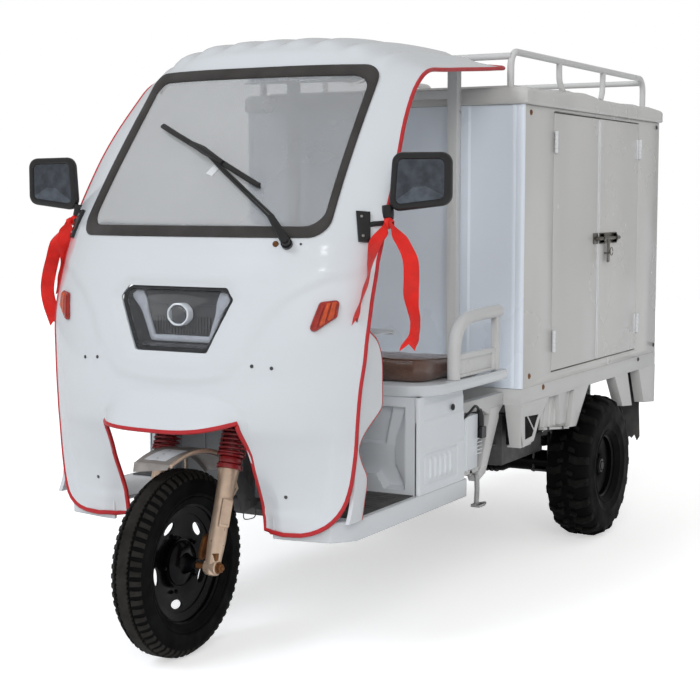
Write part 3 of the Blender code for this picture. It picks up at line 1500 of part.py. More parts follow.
def make_joints():
    rear = BOX_FRONT_Y + BOX_LENGTH
    middle = (rear + TAIL_LAMP_DEPTH - FRONT_TYRE_RADIUS) / 2
    root = bpy.data.objects.new("tricycle", None)
    PARTS.objects.link(root)
    root.location = (0.0, -middle, 0.0)
    joint_empty("vehicle", (0.0, 0.0, 0.0))
    JOINTS["vehicle"][0].parent = root
    joint_empty("steering", steer_point(0.0), "vehicle")
    joint_empty("front_wheel", (0.0, 0.0, FRONT_TYRE_RADIUS), "steering")
    for side, word in ((1, "left"), (-1, "right")):
        joint_empty(
            "rear_wheel_" + word, (side * REAR_TRACK_HALF, WHEELBASE, REAR_TYRE_RADIUS), "vehicle"
        )
    joint_empty("seat", (0.0, SEAT_FRONT_Y + CUSHION_INSET, SEAT_TOP_Z), "vehicle")
    low, high, front, rear = box_zone()
    proud = HINGE_RADIUS - 0.001
    for side, word in ((1, "left"), (-1, "right")):
        for at, y in (
            ("front", front + SIDE_DOOR_FRONT + DOOR_GAP), ("rear", front + SIDE_DOOR_REAR - DOOR_GAP)
        ):
            place = (side * (BOX_HALF + proud), y, low)
            joint_empty("door_%s_%s" % (word, at), place, "vehicle")
        place = (side * (BOX_HALF - REAR_POST - DOOR_GAP), rear + proud, low)
        joint_empty("door_back_" + word, place, "vehicle")


make_materials()
make_joints()
cab_shell()
windscreen()
headlamp()
turn_signals()
wiper()
leg_shields()
inner_panel()
fork()
handlebar()
front_fender()
front_wheel()
rear_wheels()
rear_axle()
leaf_springs()
chassis()
floor_pan()
battery_box()
seat()
armrests()
cab_pillars()
cargo_box()
doors()
latches()
box_lid()
roof_rack()
bed_frame()
mirrors()
ribbons()
mud_flaps()
brake_linkage()
tail_lamps()
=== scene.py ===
# %% [markdown]
# # An electric cargo tricycle, dressed
#
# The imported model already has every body, joint and solid in its place.
# This lesson puts finished pieces on it: the moulded cab, the lamps, the tyres' tread,
# the doors' folds, the seat and the ribbons. Each step says what the real piece is,
# how it could be made, and why it is made this way here.

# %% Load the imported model
import json
import math

import bmesh
import bpy
import numpy as np
from mathutils import Matrix, Vector


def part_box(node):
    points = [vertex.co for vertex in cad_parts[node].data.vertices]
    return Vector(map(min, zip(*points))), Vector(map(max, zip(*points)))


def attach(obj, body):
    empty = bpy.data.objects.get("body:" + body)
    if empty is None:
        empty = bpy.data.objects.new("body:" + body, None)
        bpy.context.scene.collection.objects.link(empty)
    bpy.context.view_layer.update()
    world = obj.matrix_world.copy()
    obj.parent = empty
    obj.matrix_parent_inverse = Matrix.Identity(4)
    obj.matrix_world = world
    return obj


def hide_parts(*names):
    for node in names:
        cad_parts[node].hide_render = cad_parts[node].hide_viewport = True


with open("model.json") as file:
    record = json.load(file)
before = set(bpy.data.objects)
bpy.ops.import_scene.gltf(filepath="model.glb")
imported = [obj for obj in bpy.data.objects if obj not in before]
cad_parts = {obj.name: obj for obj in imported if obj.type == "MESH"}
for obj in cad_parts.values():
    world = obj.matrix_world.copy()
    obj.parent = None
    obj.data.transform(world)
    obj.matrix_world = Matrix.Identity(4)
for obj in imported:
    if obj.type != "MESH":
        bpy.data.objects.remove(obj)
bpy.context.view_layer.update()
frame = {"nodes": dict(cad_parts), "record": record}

# %% [markdown]
# Most sizes on such a vehicle are given from the front axle, because the wheel, the fork
# and the cab are all set out from it. So the pieces are drawn with y = 0 at that axle, and
# one shift, read from the axle's own node, takes each finished mesh to the shared frame.

# %% The front axle is the drawing's zero
low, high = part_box("front_axle")
AXLE_SHIFT = Vector((0.0, (low.y + high.y) / 2, 0.0))
print("the front axle stands at y =", round(AXLE_SHIFT.y, 4))

# %% [markdown]
# The camera stands where the photographer stood: in front, a little to the vehicle's left,
# at about eye height, and some way off, so that the lens is long and the lines stay
# nearly parallel. It is aimed with two angles, which is easier to read than a matrix.

# %% The photographer's place
CAMERA_PLACE = (2.4359, -4.6406, 1.2816)
CAMERA_AZIMUTH = math.radians(28.78)
CAMERA_DIP = math.radians(5.70)
CAMERA_LENS = 78.19
SENSOR_WIDTH = 36.0


def linked(name, data):
    """A new object with this data, in the scene."""
    obj = bpy.data.objects.new(name, data)
    bpy.context.scene.collection.objects.link(obj)
    return obj


def aim_camera():
    lens = bpy.data.cameras.new("camera")
    lens.lens = CAMERA_LENS
    lens.sensor_width = SENSOR_WIDTH
    camera = linked("camera", lens)
    camera.location = CAMERA_PLACE
    camera.rotation_euler = (math.pi / 2 - CAMERA_DIP, 0.0, CAMERA_AZIMUTH)
    bpy.context.scene.camera = camera


aim_camera()
bpy.context.scene.view_settings.view_transform = "Standard"

# %% [markdown]
# The light is a photographer's white tent: even light from the sky all round, and two
# soft far lamps, so that the white panels keep a little shape. The floor is
# white paper. Camera and glass rays see the tent as plain white, while the light that
# falls on the paint comes at a lower level, at which a colour looks as it is written.

# %% Tent, lamps and paper floor
TENT_LEVEL = 0.50
PAPER_COLOUR = (0.88, 0.88, 0.88, 1.0)
PAPER_GLOW = 0.50
FLOOR_HALF = 14.0


def seen_directly(nodes, links):
    """1 for camera and glass rays, 0 for the light that falls on surfaces."""
    path = nodes.new("ShaderNodeLightPath")
    either = nodes.new("ShaderNodeMath")
    either.operation = "MAXIMUM"
    links.new(path.outputs["Is Camera Ray"], either.inputs[0])
    links.new(path.outputs["Is Transmission Ray"], either.inputs[1])
    return either.outputs[0]


def tent():
    world = bpy.data.worlds.new("tent")
    world.use_nodes = True
    nodes, links = world.node_tree.nodes, world.node_tree.links
    light = nodes["Background"]
    level = nodes.new("ShaderNodeMapRange")
    level.inputs["To Min"].default_value = TENT_LEVEL
    level.inputs["To Max"].default_value = 1.0
    links.new(seen_directly(nodes, links), level.inputs["Value"])
    light.inputs["Color"].default_value = (1.0, 1.0, 1.0, 1.0)
    links.new(level.outputs["Result"], light.inputs["Strength"])
    bpy.context.scene.world = world


def sun(name, azimuth, height, softness, strength, colour):
    """A soft far lamp, its direction from two angles: round from the front, and up."""
    lamp = bpy.data.lights.new(name, "SUN")
    lamp.energy = strength
    lamp.color = colour
    lamp.angle = math.radians(softness)
    holder = linked(name, lamp)
    holder.visible_glossy = False
    turn, rise = math.radians(azimuth), math.radians(height)
    towards = Vector((
        math.sin(turn) * math.cos(rise), -math.cos(turn) * math.cos(rise), math.sin(rise)))
    holder.rotation_euler = towards.to_track_quat("Z", "Y").to_euler()


def window(name, place, target, size, power):
    """A bright pane, there for its reflection in the lacquer more than for its light."""
    lamp = bpy.data.lights.new(name, "AREA")
    lamp.shape = "RECTANGLE"
    lamp.size, lamp.size_y = size
    lamp.energy = power
    holder = linked(name, lamp)
    holder.location = place
    holder.rotation_euler = (Vector(target) - Vector(place)).to_track_quat("-Z", "Y").to_euler()


def paper_floor():
    mesh = bpy.data.meshes.new("paper_floor")
    half = FLOOR_HALF
    corners = [(-half, -half, 0.0), (half, -half, 0.0), (half, half, 0.0), (-half, half, 0.0)]
    mesh.from_pydata(corners, [], [(0, 1, 2, 3)])
    paper = bpy.data.materials.new("paper")
    paper.use_nodes = True
    nodes, links = paper.node_tree.nodes, paper.node_tree.links
    shader = nodes["Principled BSDF"]
    shader.inputs["Base Color"].default_value = PAPER_COLOUR
    shader.inputs["Roughness"].default_value = 1.0
    shader.inputs["Specular IOR Level"].default_value = 0.0
    shader.inputs["Emission Color"].default_value = (1.0, 1.0, 1.0, 1.0)
    glow = nodes.new("ShaderNodeMapRange")
    glow.inputs["To Max"].default_value = PAPER_GLOW
    links.new(seen_directly(nodes, links), glow.inputs["Value"])
    links.new(glow.outputs["Result"], shader.inputs["Emission Strength"])
    mesh.materials.append(paper)
    linked("paper_floor", mesh)


tent()
sun("key", -24.0, 44.0, 24.0, 0.92, (0.92, 0.98, 1.06))
sun("fill", 27.0, 24.0, 30.0, 0.95, (1.0, 0.99, 0.97))
window("high_pane", (2.6, -4.8, 4.4), (0.2, -1.0, 1.1), (0.34, 0.07), 1.4)
paper_floor()

# %% [markdown]
# A mesh here is a list of points and a list of faces. Small functions make the few forms
# that the vehicle is built of: a sheet through a grid of points, a bar swept along a line,
# a profile turned round an axis, an outline given a thickness. Joining such lists is
# faster, and easier to follow, than editing by hand, and every size stays a number.

# %% Shapes as points and faces
def joined(shapes):
    """Several shapes as one."""
    points, faces = [], []
    for some_points, some_faces in shapes:
        start = len(points)
        points += [tuple(point) for point in some_points]
        faces += [tuple(start + i for i in face) for face in some_faces]
    return points, faces


def mirrored(shape):
    """The same shape on the vehicle's other side."""
    points, faces = shape
    return [(-x, y, z) for x, y, z in points], [face[::-1] for face in faces]


def on_side(shape, side):
    return shape if side > 0 else mirrored(shape)


def placed(shape, matrix):
    points, faces = shape
    return [tuple(matrix @ Vector(point)) for point in points], faces


def grid_sheet(grid, closed=False):
    """A sheet through rows of points; closed joins each row's ends."""
    width = len(grid[0])
    points = [tuple(point) for row in grid for point in row]
    faces = []
    for i in range(len(grid) - 1):
        for j in range(width if closed else width - 1):
            k = (j + 1) % width
            a, b = i * width, (i + 1) * width
            faces.append((a + j, a + k, b + k, b + j))
    return points, faces


def capped_sheet(grid):
    """Closed loops of points stacked into a body, with a face on the first and the last."""
    points, faces = grid_sheet(grid, closed=True)
    width = len(grid[0])
    last = (len(grid) - 1) * width
    faces.append(tuple(range(width))[::-1])
    faces.append(tuple(range(last, last + width)))
    return points, faces


def swept(line, radius, sides=12, closed=False, flat=1.0):
    """A round bar along a line; radius is one number or one for each point."""
    line = [Vector(point) for point in line]
    count = len(line)
    radii = radius if isinstance(radius, (list, tuple)) else [radius] * count
    rings = []
    side = None
    for i, here in enumerate(line):
        before = line[i - 1] if i or closed else here
        after = line[(i + 1) % count] if i < count - 1 or closed else here
        along = (after - before).normalized()
        if side is None:
            side = along.orthogonal().normalized()
        side = (side - along * side.dot(along)).normalized()
        up = along.cross(side)
        ring = []
        for step in range(sides):
            turn = 2 * math.pi * step / sides
            ring.append(here + (side * math.cos(turn) + up * (math.sin(turn) * flat)) * radii[i])
        rings.append(ring)
    if not closed:
        return capped_sheet(rings)
    first, end = rings[0], rings[-1]
    shift = min(range(sides), key=lambda s: (end[s] - first[0]).length)
    rings.append([first[(j - shift) % sides] for j in range(sides)])
    return grid_sheet(rings, closed=True)


def rod(start, end, radius, sides=20):
    return swept([start, end], radius, sides)


AXES = {
    "X": Matrix(((0, 0, 1), (1, 0, 0), (0, 1, 0))),
    "Y": Matrix(((0, 1, 0), (0, 0, 1), (1, 0, 0))),
    "Z": Matrix.Identity(3),
}


def turned(profile, centre, axis, steps):
    """A profile of (radius, height) points turned round an axis through centre."""
    rings = []
    for radius, height in profile:
        ring = []
        for step in range(steps):
            turn = 2 * math.pi * step / steps
            place = Vector((radius * math.cos(turn), radius * math.sin(turn), height))
            ring.append(Vector(centre) + AXES[axis] @ place)
        rings.append(ring)
    rings.append(rings[0])
    return grid_sheet(rings, closed=True)


def block(xs, ys, zs):
    points = [(x, y, z) for z in zs for y in ys for x in xs]
    faces = [(0, 2, 3, 1), (4, 5, 7, 6), (0, 1, 5, 4), (2, 6, 7, 3), (0, 4, 6, 2), (1, 3, 7, 5)]
    return points, faces


def rounded(corners, radius, steps):
    """A closed outline with every corner rounded."""
    points = []
    count = len(corners)
    for i, corner in enumerate(corners):
        here = Vector(corner)
        back = (Vector(corners[i - 1]) - here).normalized()
        on = (Vector(corners[(i + 1) % count]) - here).normalized()
        half = back.angle(on) / 2
        reach = radius / math.tan(half)
        centre = here + (back + on).normalized() * (radius / math.sin(half))
        start = here + back * reach - centre
        turn = (here + on * reach - centre).angle_signed(start)
        for step in range(steps + 1):
            points.append(tuple(centre + Matrix.Rotation(turn * step / steps, 2) @ start))
    return points


def divided(outline, longest, closed=True):
    """The same outline with its long stretches divided."""
    points = []
    following = outline[1:] + outline[:1] if closed else outline[1:]
    for one, two in zip(outline, following):
        a, b = Vector(one), Vector(two)
        count = max(1, math.ceil((b - a).length / longest))
        points += [tuple(a + (b - a) * i / count) for i in range(count)]
    if not closed:
        points.append(tuple(outline[-1]))
    return points


def in_plane(plane, point, height):
    """A point of an outline in the plane XY, XZ or YZ, at a height across it."""
    a, b = point
    return {"XY": (a, b, height), "XZ": (a, height, b), "YZ": (height, a, b)}[plane]


def slab(outline, plane, low, high):
    """An outline with a thickness."""
    rings = [[in_plane(plane, point, height) for point in outline] for height in (low, high)]
    return capped_sheet(rings)


def spline(p0, p1, p2, p3, t):
    """A place between p1 and p2 on the smooth curve through four values or points."""
    return 0.5 * ((2 * p1) + (p2 - p0) * t + (2 * p0 - 5 * p1 + 4 * p2 - p3) * t * t
                  + (3 * p1 - p0 - 3 * p2 + p3) * t ** 3)


def smooth_line(points, count, fineness=16):
    """A smooth curve through a few points, as count points at even distances."""
    points = [Vector(point) for point in points]
    fine = []
    for i in range(len(points) - 1):
        p0 = points[max(i - 1, 0)]
        p1, p2 = points[i], points[i + 1]
        p3 = points[min(i + 2, len(points) - 1)]
        fine += [spline(p0, p1, p2, p3, step / fineness) for step in range(fineness)]
    fine.append(points[-1])
    reach = [0.0]
    for one, two in zip(fine, fine[1:]):
        reach.append(reach[-1] + (two - one).length)
    line = []
    j = 0
    for i in range(count):
        goal = reach[-1] * i / (count - 1)
        while j < len(fine) - 2 and reach[j + 1] < goal:
            j += 1
        share = (goal - reach[j]) / max(reach[j + 1] - reach[j], 1e-9)
        line.append(fine[j].lerp(fine[j + 1], min(share, 1.0)))
    return line


def arc(centre, radius, start, end, steps):
    """Points on an arc in a plane, angles in degrees."""
    points = []
    for i in range(steps + 1):
        angle = math.radians(start + (end - start) * i / steps)
        points.append((centre[0] + radius * math.cos(angle), centre[1] + radius * math.sin(angle)))
    return points


def ease(low, high, value):
    """0 below low, 1 above high, and a soft slope between."""
    share = min(max((value - low) / (high - low), 0.0), 1.0)
    return share * share * (3 - 2 * share)

# %% [markdown]
# A shape becomes a piece in one place: its points are welded, its faces turned outwards,
# its hard edges given a small round, because no real edge is a knife, and then it gets its
# finish, the body that it rides on, and the nodes that it stands for.

# %% From a shape to a finished piece
FINISHES = {}
SMOOTH_ANGLE = math.radians(38)
WELD = 1e-5
NODE_WELD = 2e-5
NODE_FLAT = math.radians(1.0)


def clean_mesh(name, shape, shift=AXLE_SHIFT):
    """A mesh with its points welded and its faces outwards, moved to the shared frame."""
    points, faces = shape
    mesh = bpy.data.meshes.new(name)
    mesh.from_pydata([tuple(Vector(point) + shift) for point in points], [], faces)
    work = bmesh.new()
    work.from_mesh(mesh)
    bmesh.ops.remove_doubles(work, verts=work.verts, dist=WELD)
    bmesh.ops.recalc_face_normals(work, faces=work.faces)
    work.to_mesh(mesh)
    work.free()
    return mesh


def evaluated(obj, name):
    """The object's shape with its modifiers, as a plain mesh object; the old one goes."""
    bpy.context.view_layer.update()
    graph = bpy.context.evaluated_depsgraph_get()
    mesh = bpy.data.meshes.new_from_object(obj.evaluated_get(graph))
    mesh.transform(obj.matrix_world)
    old = obj.data
    bpy.data.objects.remove(obj)
    bpy.data.meshes.remove(old)
    mesh.name = name
    return linked(name, mesh)


def rounded_edges(obj, width, segments):
    bevel = obj.modifiers.new("round", "BEVEL")
    bevel.width = width
    bevel.segments = segments
    bevel.limit_method = "ANGLE"
    bevel.angle_limit = math.radians(40)
    bevel.miter_outer = "MITER_ARC"
    bevel.use_clamp_overlap = True
    return obj


def dress(obj, finish, body, stands_for=(), smooth=SMOOTH_ANGLE):
    """The last step of every piece: its finish, shading, body, slot and nodes."""
    obj.data.materials.clear()
    obj.data.materials.append(FINISHES[finish])
    obj.data.shade_smooth()
    obj.data.set_sharp_from_angle(angle=smooth)
    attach(obj, body)
    if stands_for:
        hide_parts(*stands_for)
    return obj


def piece(name, shapes, finish, body, stands_for=(), round_off=0.0, segments=2,
          smooth=SMOOTH_ANGLE):
    """Makes a piece from shapes, with its edges rounded by round_off."""
    obj = linked(name, clean_mesh(name, joined(shapes)))
    if round_off:
        rounded_edges(obj, round_off, segments)
        obj = evaluated(obj, name)
    return dress(obj, finish, body, stands_for, smooth)


def from_node(node, finish, round_off, segments=2):
    """A CAD node's copy, welded, its flat triangles merged, with rounded edges."""
    source = frame["nodes"][node]
    mesh = source.data.copy()
    mesh.transform(source.matrix_world)
    work = bmesh.new()
    work.from_mesh(mesh)
    bmesh.ops.remove_doubles(work, verts=work.verts, dist=NODE_WELD)
    bmesh.ops.dissolve_limit(work, angle_limit=NODE_FLAT, verts=work.verts, edges=work.edges)
    work.to_mesh(mesh)
    work.free()
    obj = rounded_edges(linked(node + "_dressed", mesh), round_off, segments)
    obj = evaluated(obj, obj.name)
    return dress(obj, finish, BODY_OF[node], [node])


def both_sides(*makers):
    """Runs functions that make pieces, for the left side and then for the right side."""
    for side, word in ((1, "left"), (-1, "right")):
        for make in makers:
            make(side, word)


BODY_OF = {}
for body, nodes_there in frame["record"]["behaviour"]["bodies"].items():
    for node in nodes_there:
        BODY_OF[node] = body

# %% [markdown]
# Finishes come before pieces. Effects that several finishes share are shader groups with
# named inputs: mottle shifts a colour a little over the surface, as all paint and rubber
# do, grain gives a roughness and a height for a bump, dust lays a pale film on what
# stands low, and a slow wave paints shade as bands into a thin sheet's colour, for the
# shading of its waves. They read Object coordinates, so nothing slides with the camera.

# %% Shared shader groups
def shader_group(name, inputs, outputs):
    group = bpy.data.node_groups.new(name, "ShaderNodeTree")
    for label, kind, value in inputs:
        socket = group.interface.new_socket(name=label, in_out="INPUT", socket_type=kind)
        socket.default_value = value
    for label, kind in outputs:
        group.interface.new_socket(name=label, in_out="OUTPUT", socket_type=kind)
    return group, group.nodes.new("NodeGroupInput"), group.nodes.new("NodeGroupOutput")


def noise_on(group, entry, scale_name, detail, stretch=(1.0, 1.0, 1.0)):
    """A noise texture on Object coordinates, its scale from the group's input."""
    nodes, links = group.nodes, group.links
    place = nodes.new("ShaderNodeTexCoord")
    mapping = nodes.new("ShaderNodeMapping")
    mapping.inputs["Scale"].default_value = stretch
    noise = nodes.new("ShaderNodeTexNoise")
    noise.inputs["Detail"].default_value = detail
    links.new(place.outputs["Object"], mapping.inputs["Vector"])
    links.new(mapping.outputs["Vector"], noise.inputs["Vector"])
    links.new(entry.outputs[scale_name], noise.inputs["Scale"])
    return noise.outputs["Fac"]


def spread_of(group, value, low, high):
    """Takes a noise's middle range to low...high; each is a number or a socket."""
    spread = group.nodes.new("ShaderNodeMapRange")
    spread.interpolation_type = "SMOOTHSTEP"
    spread.inputs["From Min"].default_value = 0.22
    spread.inputs["From Max"].default_value = 0.78
    group.links.new(value, spread.inputs["Value"])
    for label, bound in (("To Min", low), ("To Max", high)):
        if isinstance(bound, (int, float)):
            spread.inputs[label].default_value = bound
        else:
            group.links.new(bound, spread.inputs[label])
    return spread.outputs["Result"]


def make_mottle():
    group, entry, out = shader_group(
        "mottle",
        [("Colour", "NodeSocketColor", (0.8, 0.8, 0.8, 1.0)), ("Scale", "NodeSocketFloat", 6.0),
         ("Amount", "NodeSocketFloat", 0.05)],
        [("Colour", "NodeSocketColor")],
    )
    links = group.links
    darkest = group.nodes.new("ShaderNodeMath")
    darkest.operation = "SUBTRACT"
    darkest.inputs[0].default_value = 1.0
    links.new(entry.outputs["Amount"], darkest.inputs[1])
    level = spread_of(group, noise_on(group, entry, "Scale", 5.0), darkest.outputs[0], 1.0)
    scaled = group.nodes.new("ShaderNodeVectorMath")
    scaled.operation = "SCALE"
    links.new(entry.outputs["Colour"], scaled.inputs[0])
    links.new(level, scaled.inputs["Scale"])
    links.new(scaled.outputs[0], out.inputs["Colour"])
    return group


def make_grain():
    group, entry, out = shader_group(
        "grain",
        [("Scale", "NodeSocketFloat", 200.0), ("Smear Scale", "NodeSocketFloat", 5.0),
         ("Low", "NodeSocketFloat", 0.3), ("High", "NodeSocketFloat", 0.5)],
        [("Roughness", "NodeSocketFloat"), ("Height", "NodeSocketFloat")],
    )
    smear = noise_on(group, entry, "Smear Scale", 4.0)
    rough = spread_of(group, smear, entry.outputs["Low"], entry.outputs["High"])
    group.links.new(rough, out.inputs["Roughness"])
    group.links.new(noise_on(group, entry, "Scale", 3.0), out.inputs["Height"])
    return group


def make_dust():
    group, entry, out = shader_group(
        "dust",
        [("Colour", "NodeSocketColor", (0.8, 0.8, 0.8, 1.0)),
         ("Dust", "NodeSocketColor", (0.45, 0.42, 0.38, 1.0)),
         ("Amount", "NodeSocketFloat", 0.3), ("Top", "NodeSocketFloat", 0.6),
         ("Scale", "NodeSocketFloat", 14.0)],
        [("Colour", "NodeSocketColor"), ("Mask", "NodeSocketFloat")],
    )
    nodes, links = group.nodes, group.links
    place = nodes.new("ShaderNodeTexCoord")
    split = nodes.new("ShaderNodeSeparateXYZ")
    links.new(place.outputs["Object"], split.inputs[0])
    fade = nodes.new("ShaderNodeMapRange")
    fade.inputs["To Min"].default_value = 1.0
    fade.inputs["To Max"].default_value = 0.0
    links.new(split.outputs["Z"], fade.inputs["Value"])
    links.new(entry.outputs["Top"], fade.inputs["From Max"])
    patches = spread_of(group, noise_on(group, entry, "Scale", 6.0), 0.1, 1.0)
    mask = nodes.new("ShaderNodeMath")
    mask.operation = "MULTIPLY"
    links.new(fade.outputs["Result"], mask.inputs[0])
    links.new(patches, mask.inputs[1])
    amount = nodes.new("ShaderNodeMath")
    amount.operation = "MULTIPLY"
    amount.use_clamp = True
    links.new(mask.outputs[0], amount.inputs[0])
    links.new(entry.outputs["Amount"], amount.inputs[1])
    mix = nodes.new("ShaderNodeMix")
    mix.data_type = "RGBA"
    links.new(amount.outputs[0], mix.inputs["Factor"])
    links.new(entry.outputs["Colour"], mix.inputs[6])
    links.new(entry.outputs["Dust"], mix.inputs[7])
    links.new(mix.outputs[2], out.inputs["Colour"])
    links.new(amount.outputs[0], out.inputs["Mask"])
    return group


def make_wave_shade():
    """Painted shade for the slow waves of thin sheet, as bands drawn out upwards."""
    group, entry, out = shader_group(
        "sheet_wave", [("Scale", "NodeSocketFloat", 3.0)], [("Height", "NodeSocketFloat")])
    height = noise_on(group, entry, "Scale", 0.0, (1.0, 1.0, 0.22))
    group.links.new(height, out.inputs["Height"])
    return group


MOTTLE, GRAIN, DUST, WAVE_SHADE = make_mottle(), make_grain(), make_dust(), make_wave_shade()
print("shader groups:", MOTTLE.name, GRAIN.name, DUST.name, WAVE_SHADE.name)

# %% [markdown]
# One function builds the plain finishes from these groups: paint, rubber, plastic and
# plated steel differ only in their numbers. What is the same all over a surface, such as
# a metal's Metallic or a lacquer's Coat Weight, is set on the shader's own socket.

# %% A finish from the shared groups
def group_node(nodes, group, values):
    node = nodes.new("ShaderNodeGroup")
    node.node_tree = group
    for label, value in values.items():
        node.inputs[label].default_value = value
    return node


def new_finish(name):
    """An empty finish in the list, as its nodes, its links and its shader."""
    made = bpy.data.materials.new(name)
    made.use_nodes = True
    FINISHES[name] = made
    nodes = made.node_tree.nodes
    return nodes, made.node_tree.links, nodes["Principled BSDF"]


def bump_into(nodes, links, height, distance, socket, strength=1.0):
    """Bends a shader's normal by a height, which is given in shares of the distance."""
    bump = nodes.new("ShaderNodeBump")
    bump.inputs["Distance"].default_value = distance
    bump.inputs["Strength"].default_value = strength
    links.new(height, bump.inputs["Height"])
    links.new(bump.outputs["Normal"], socket)


def finish(name, colour, rough, mottle, grain, smear, dust=(0.0, 0.6), metallic=0.0, coat=0.0,
           specular=0.5, wave=None):
    """A plain finish: rough is low and high, the other pairs are scale and amount."""
    nodes, links, shader = new_finish(name)
    base = group_node(nodes, MOTTLE, {
        "Colour": (*colour, 1.0), "Scale": mottle[0], "Amount": mottle[1]})
    result = base.outputs["Colour"]
    if dust[0]:
        film = group_node(nodes, DUST, {"Amount": dust[0], "Top": dust[1]})
        links.new(result, film.inputs["Colour"])
        result = film.outputs["Colour"]
    links.new(result, shader.inputs["Base Color"])
    surface = group_node(nodes, GRAIN, {
        "Scale": grain[0], "Smear Scale": smear, "Low": rough[0], "High": rough[1]})
    links.new(surface.outputs["Roughness"], shader.inputs["Roughness"])
    if grain[1]:
        bump_into(nodes, links, surface.outputs["Height"], grain[1], shader.inputs["Normal"])
    # painted shade: the wave group makes the base colour lighter and darker in bands, for the
    # shading of a wavy sheet
    if wave:
        sheet = group_node(nodes, WAVE_SHADE, {"Scale": wave[0]})
        streak = nodes.new("ShaderNodeMapRange")
        streak.interpolation_type = "SMOOTHSTEP"
        for socket, value in zip((1, 2, 3, 4), (0.25, 0.75, 1.0 - wave[1], 1.0 + wave[1])):
            streak.inputs[socket].default_value = value
        links.new(sheet.outputs["Height"], streak.inputs[0])
        toned = nodes.new("ShaderNodeVectorMath")
        toned.operation = "SCALE"
        links.new(result, toned.inputs[0])
        links.new(streak.outputs[0], toned.inputs["Scale"])
        links.new(toned.outputs[0], shader.inputs["Base Color"])
    shader.inputs["Metallic"].default_value = metallic
    shader.inputs["Coat Weight"].default_value = coat
    shader.inputs["Coat Roughness"].default_value = 0.08
    shader.inputs["Specular IOR Level"].default_value = specular


finish("shell_gloss", (0.645, 0.675, 0.705), (0.10, 0.20), (2.0, 0.03), (60.0, 0.00012), 3.0,
       (0.05, 0.7), coat=0.6)
finish("panel_cream", (0.74, 0.775, 0.81), (0.26, 0.40), (3.0, 0.05), (40.0, 0.0003), 4.0,
       (0.05, 0.7))
# the box's sheet gets the wave's bands of painted shade in its colour
finish("box_paint", (0.60, 0.595, 0.58), (0.22, 0.30), (2.4, 0.04), (36.0, 0.0), 3.0,
       coat=0.1, wave=(4.0, 0.05))
# a lighter, bluer copy of the box's paint for the front wall only: painted daylight on a face that
# the cab's roof keeps in shade
finish("box_front_paint", (0.80, 0.86, 0.94), (0.24, 0.34), (1.6, 0.03), (36.0, 0.0), 2.0)
# the hinges' and the label's own white paint; on the doors' meeting bead it is a painted highlight,
# lighter than the box's paint
finish("hinge_paint", (0.78, 0.80, 0.82), (0.20, 0.30), (9.0, 0.10), (30.0, 0.0002), 2.0)
finish("frame_paint", (0.61, 0.61, 0.605), (0.25, 0.40), (7.0, 0.05), (34.0, 0.0003), 6.0,
       (0.12, 0.8))
finish("inner_paint", (0.50, 0.52, 0.54), (0.35, 0.50), (4.0, 0.05), (36.0, 0.0002), 6.0)
finish("trim_red", (0.50, 0.020, 0.026), (0.35, 0.55), (30.0, 0.15), (300.0, 0.0001), 20.0)
finish("tyre_rubber", (0.0032, 0.0032, 0.0034), (0.50, 0.75), (26.0, 0.5), (420.0, 0.0003), 18.0,
       specular=0.10)
# lighter than the sidewall's rubber: partly a film of dust and partly painted highlight on the
# tread's blocks
finish("tread_rubber", (0.014, 0.013, 0.0115), (0.55, 0.80), (60.0, 0.5), (420.0, 0.0003), 18.0,
       (0.05, 0.9), specular=0.16)
# lighter than the sidewall's rubber: painted highlight on the knobs' faces; the same dark finish
# fills the stake pockets as painted shade
finish("knob_rubber", (0.0105, 0.0100, 0.0094), (0.55, 0.80), (60.0, 0.6), (420.0, 0.0003), 18.0,
       specular=0.12)
finish("wheel_black", (0.0035, 0.0035, 0.0045), (0.14, 0.28), (18.0, 0.4), (60.0, 0.0003), 12.0,
       specular=0.16)
finish("champagne", (0.78, 0.585, 0.44), (0.26, 0.40), (40.0, 0.18), (500.0, 0.0001), 30.0,
       metallic=0.65)
finish("rusty_brass", (0.30, 0.13, 0.05), (0.30, 0.55), (50.0, 0.45), (500.0, 0.0002), 30.0,
       metallic=0.7)
finish("fender_grey", (0.36, 0.33, 0.31), (0.35, 0.55), (26.0, 0.35), (300.0, 0.0002), 16.0,
       metallic=0.25)
finish("label_paper", (0.60, 0.62, 0.64), (0.30, 0.45), (30.0, 0.15), (300.0, 0.0001), 16.0)
finish("spring_coat", (0.27, 0.012, 0.016), (0.20, 0.38), (40.0, 0.25), (200.0, 0.0001), 20.0,
       coat=0.4)
finish("plated_steel", (0.52, 0.52, 0.51), (0.22, 0.45), (60.0, 0.25), (600.0, 0.0001), 40.0,
       metallic=0.95)
finish("worn_steel", (0.20, 0.185, 0.16), (0.25, 0.50), (60.0, 0.45), (600.0, 0.0002), 40.0,
       metallic=0.85)
finish("dark_steel", (0.10, 0.10, 0.105), (0.35, 0.60), (30.0, 0.4), (300.0, 0.0002), 20.0,
       (0.25, 0.8), metallic=0.6)
finish("rubber_seal", (0.048, 0.044, 0.042), (0.45, 0.75), (14.0, 0.35), (350.0, 0.0002), 8.0)
finish("black_plastic", (0.014, 0.014, 0.015), (0.28, 0.45), (25.0, 0.3), (700.0, 0.0002), 10.0)
finish("floor_rubber", (0.055, 0.055, 0.058), (0.55, 0.85), (12.0, 0.4), (350.0, 0.0004), 8.0,
       (0.25, 0.8))
finish("lamp_housing", (0.030, 0.031, 0.034), (0.10, 0.30), (30.0, 0.5), (50.0, 0.0002), 20.0)
finish("light_guide", (0.42, 0.43, 0.46), (0.15, 0.30), (60.0, 0.15), (300.0, 0.0001), 20.0)
finish("lamp_ring", (0.85, 0.86, 0.88), (0.15, 0.25), (60.0, 0.05), (300.0, 0.0001), 20.0)
finish("signal_amber", (0.60, 0.070, 0.010), (0.08, 0.20), (60.0, 0.30), (160.0, 0.0006), 20.0,
       coat=0.5)
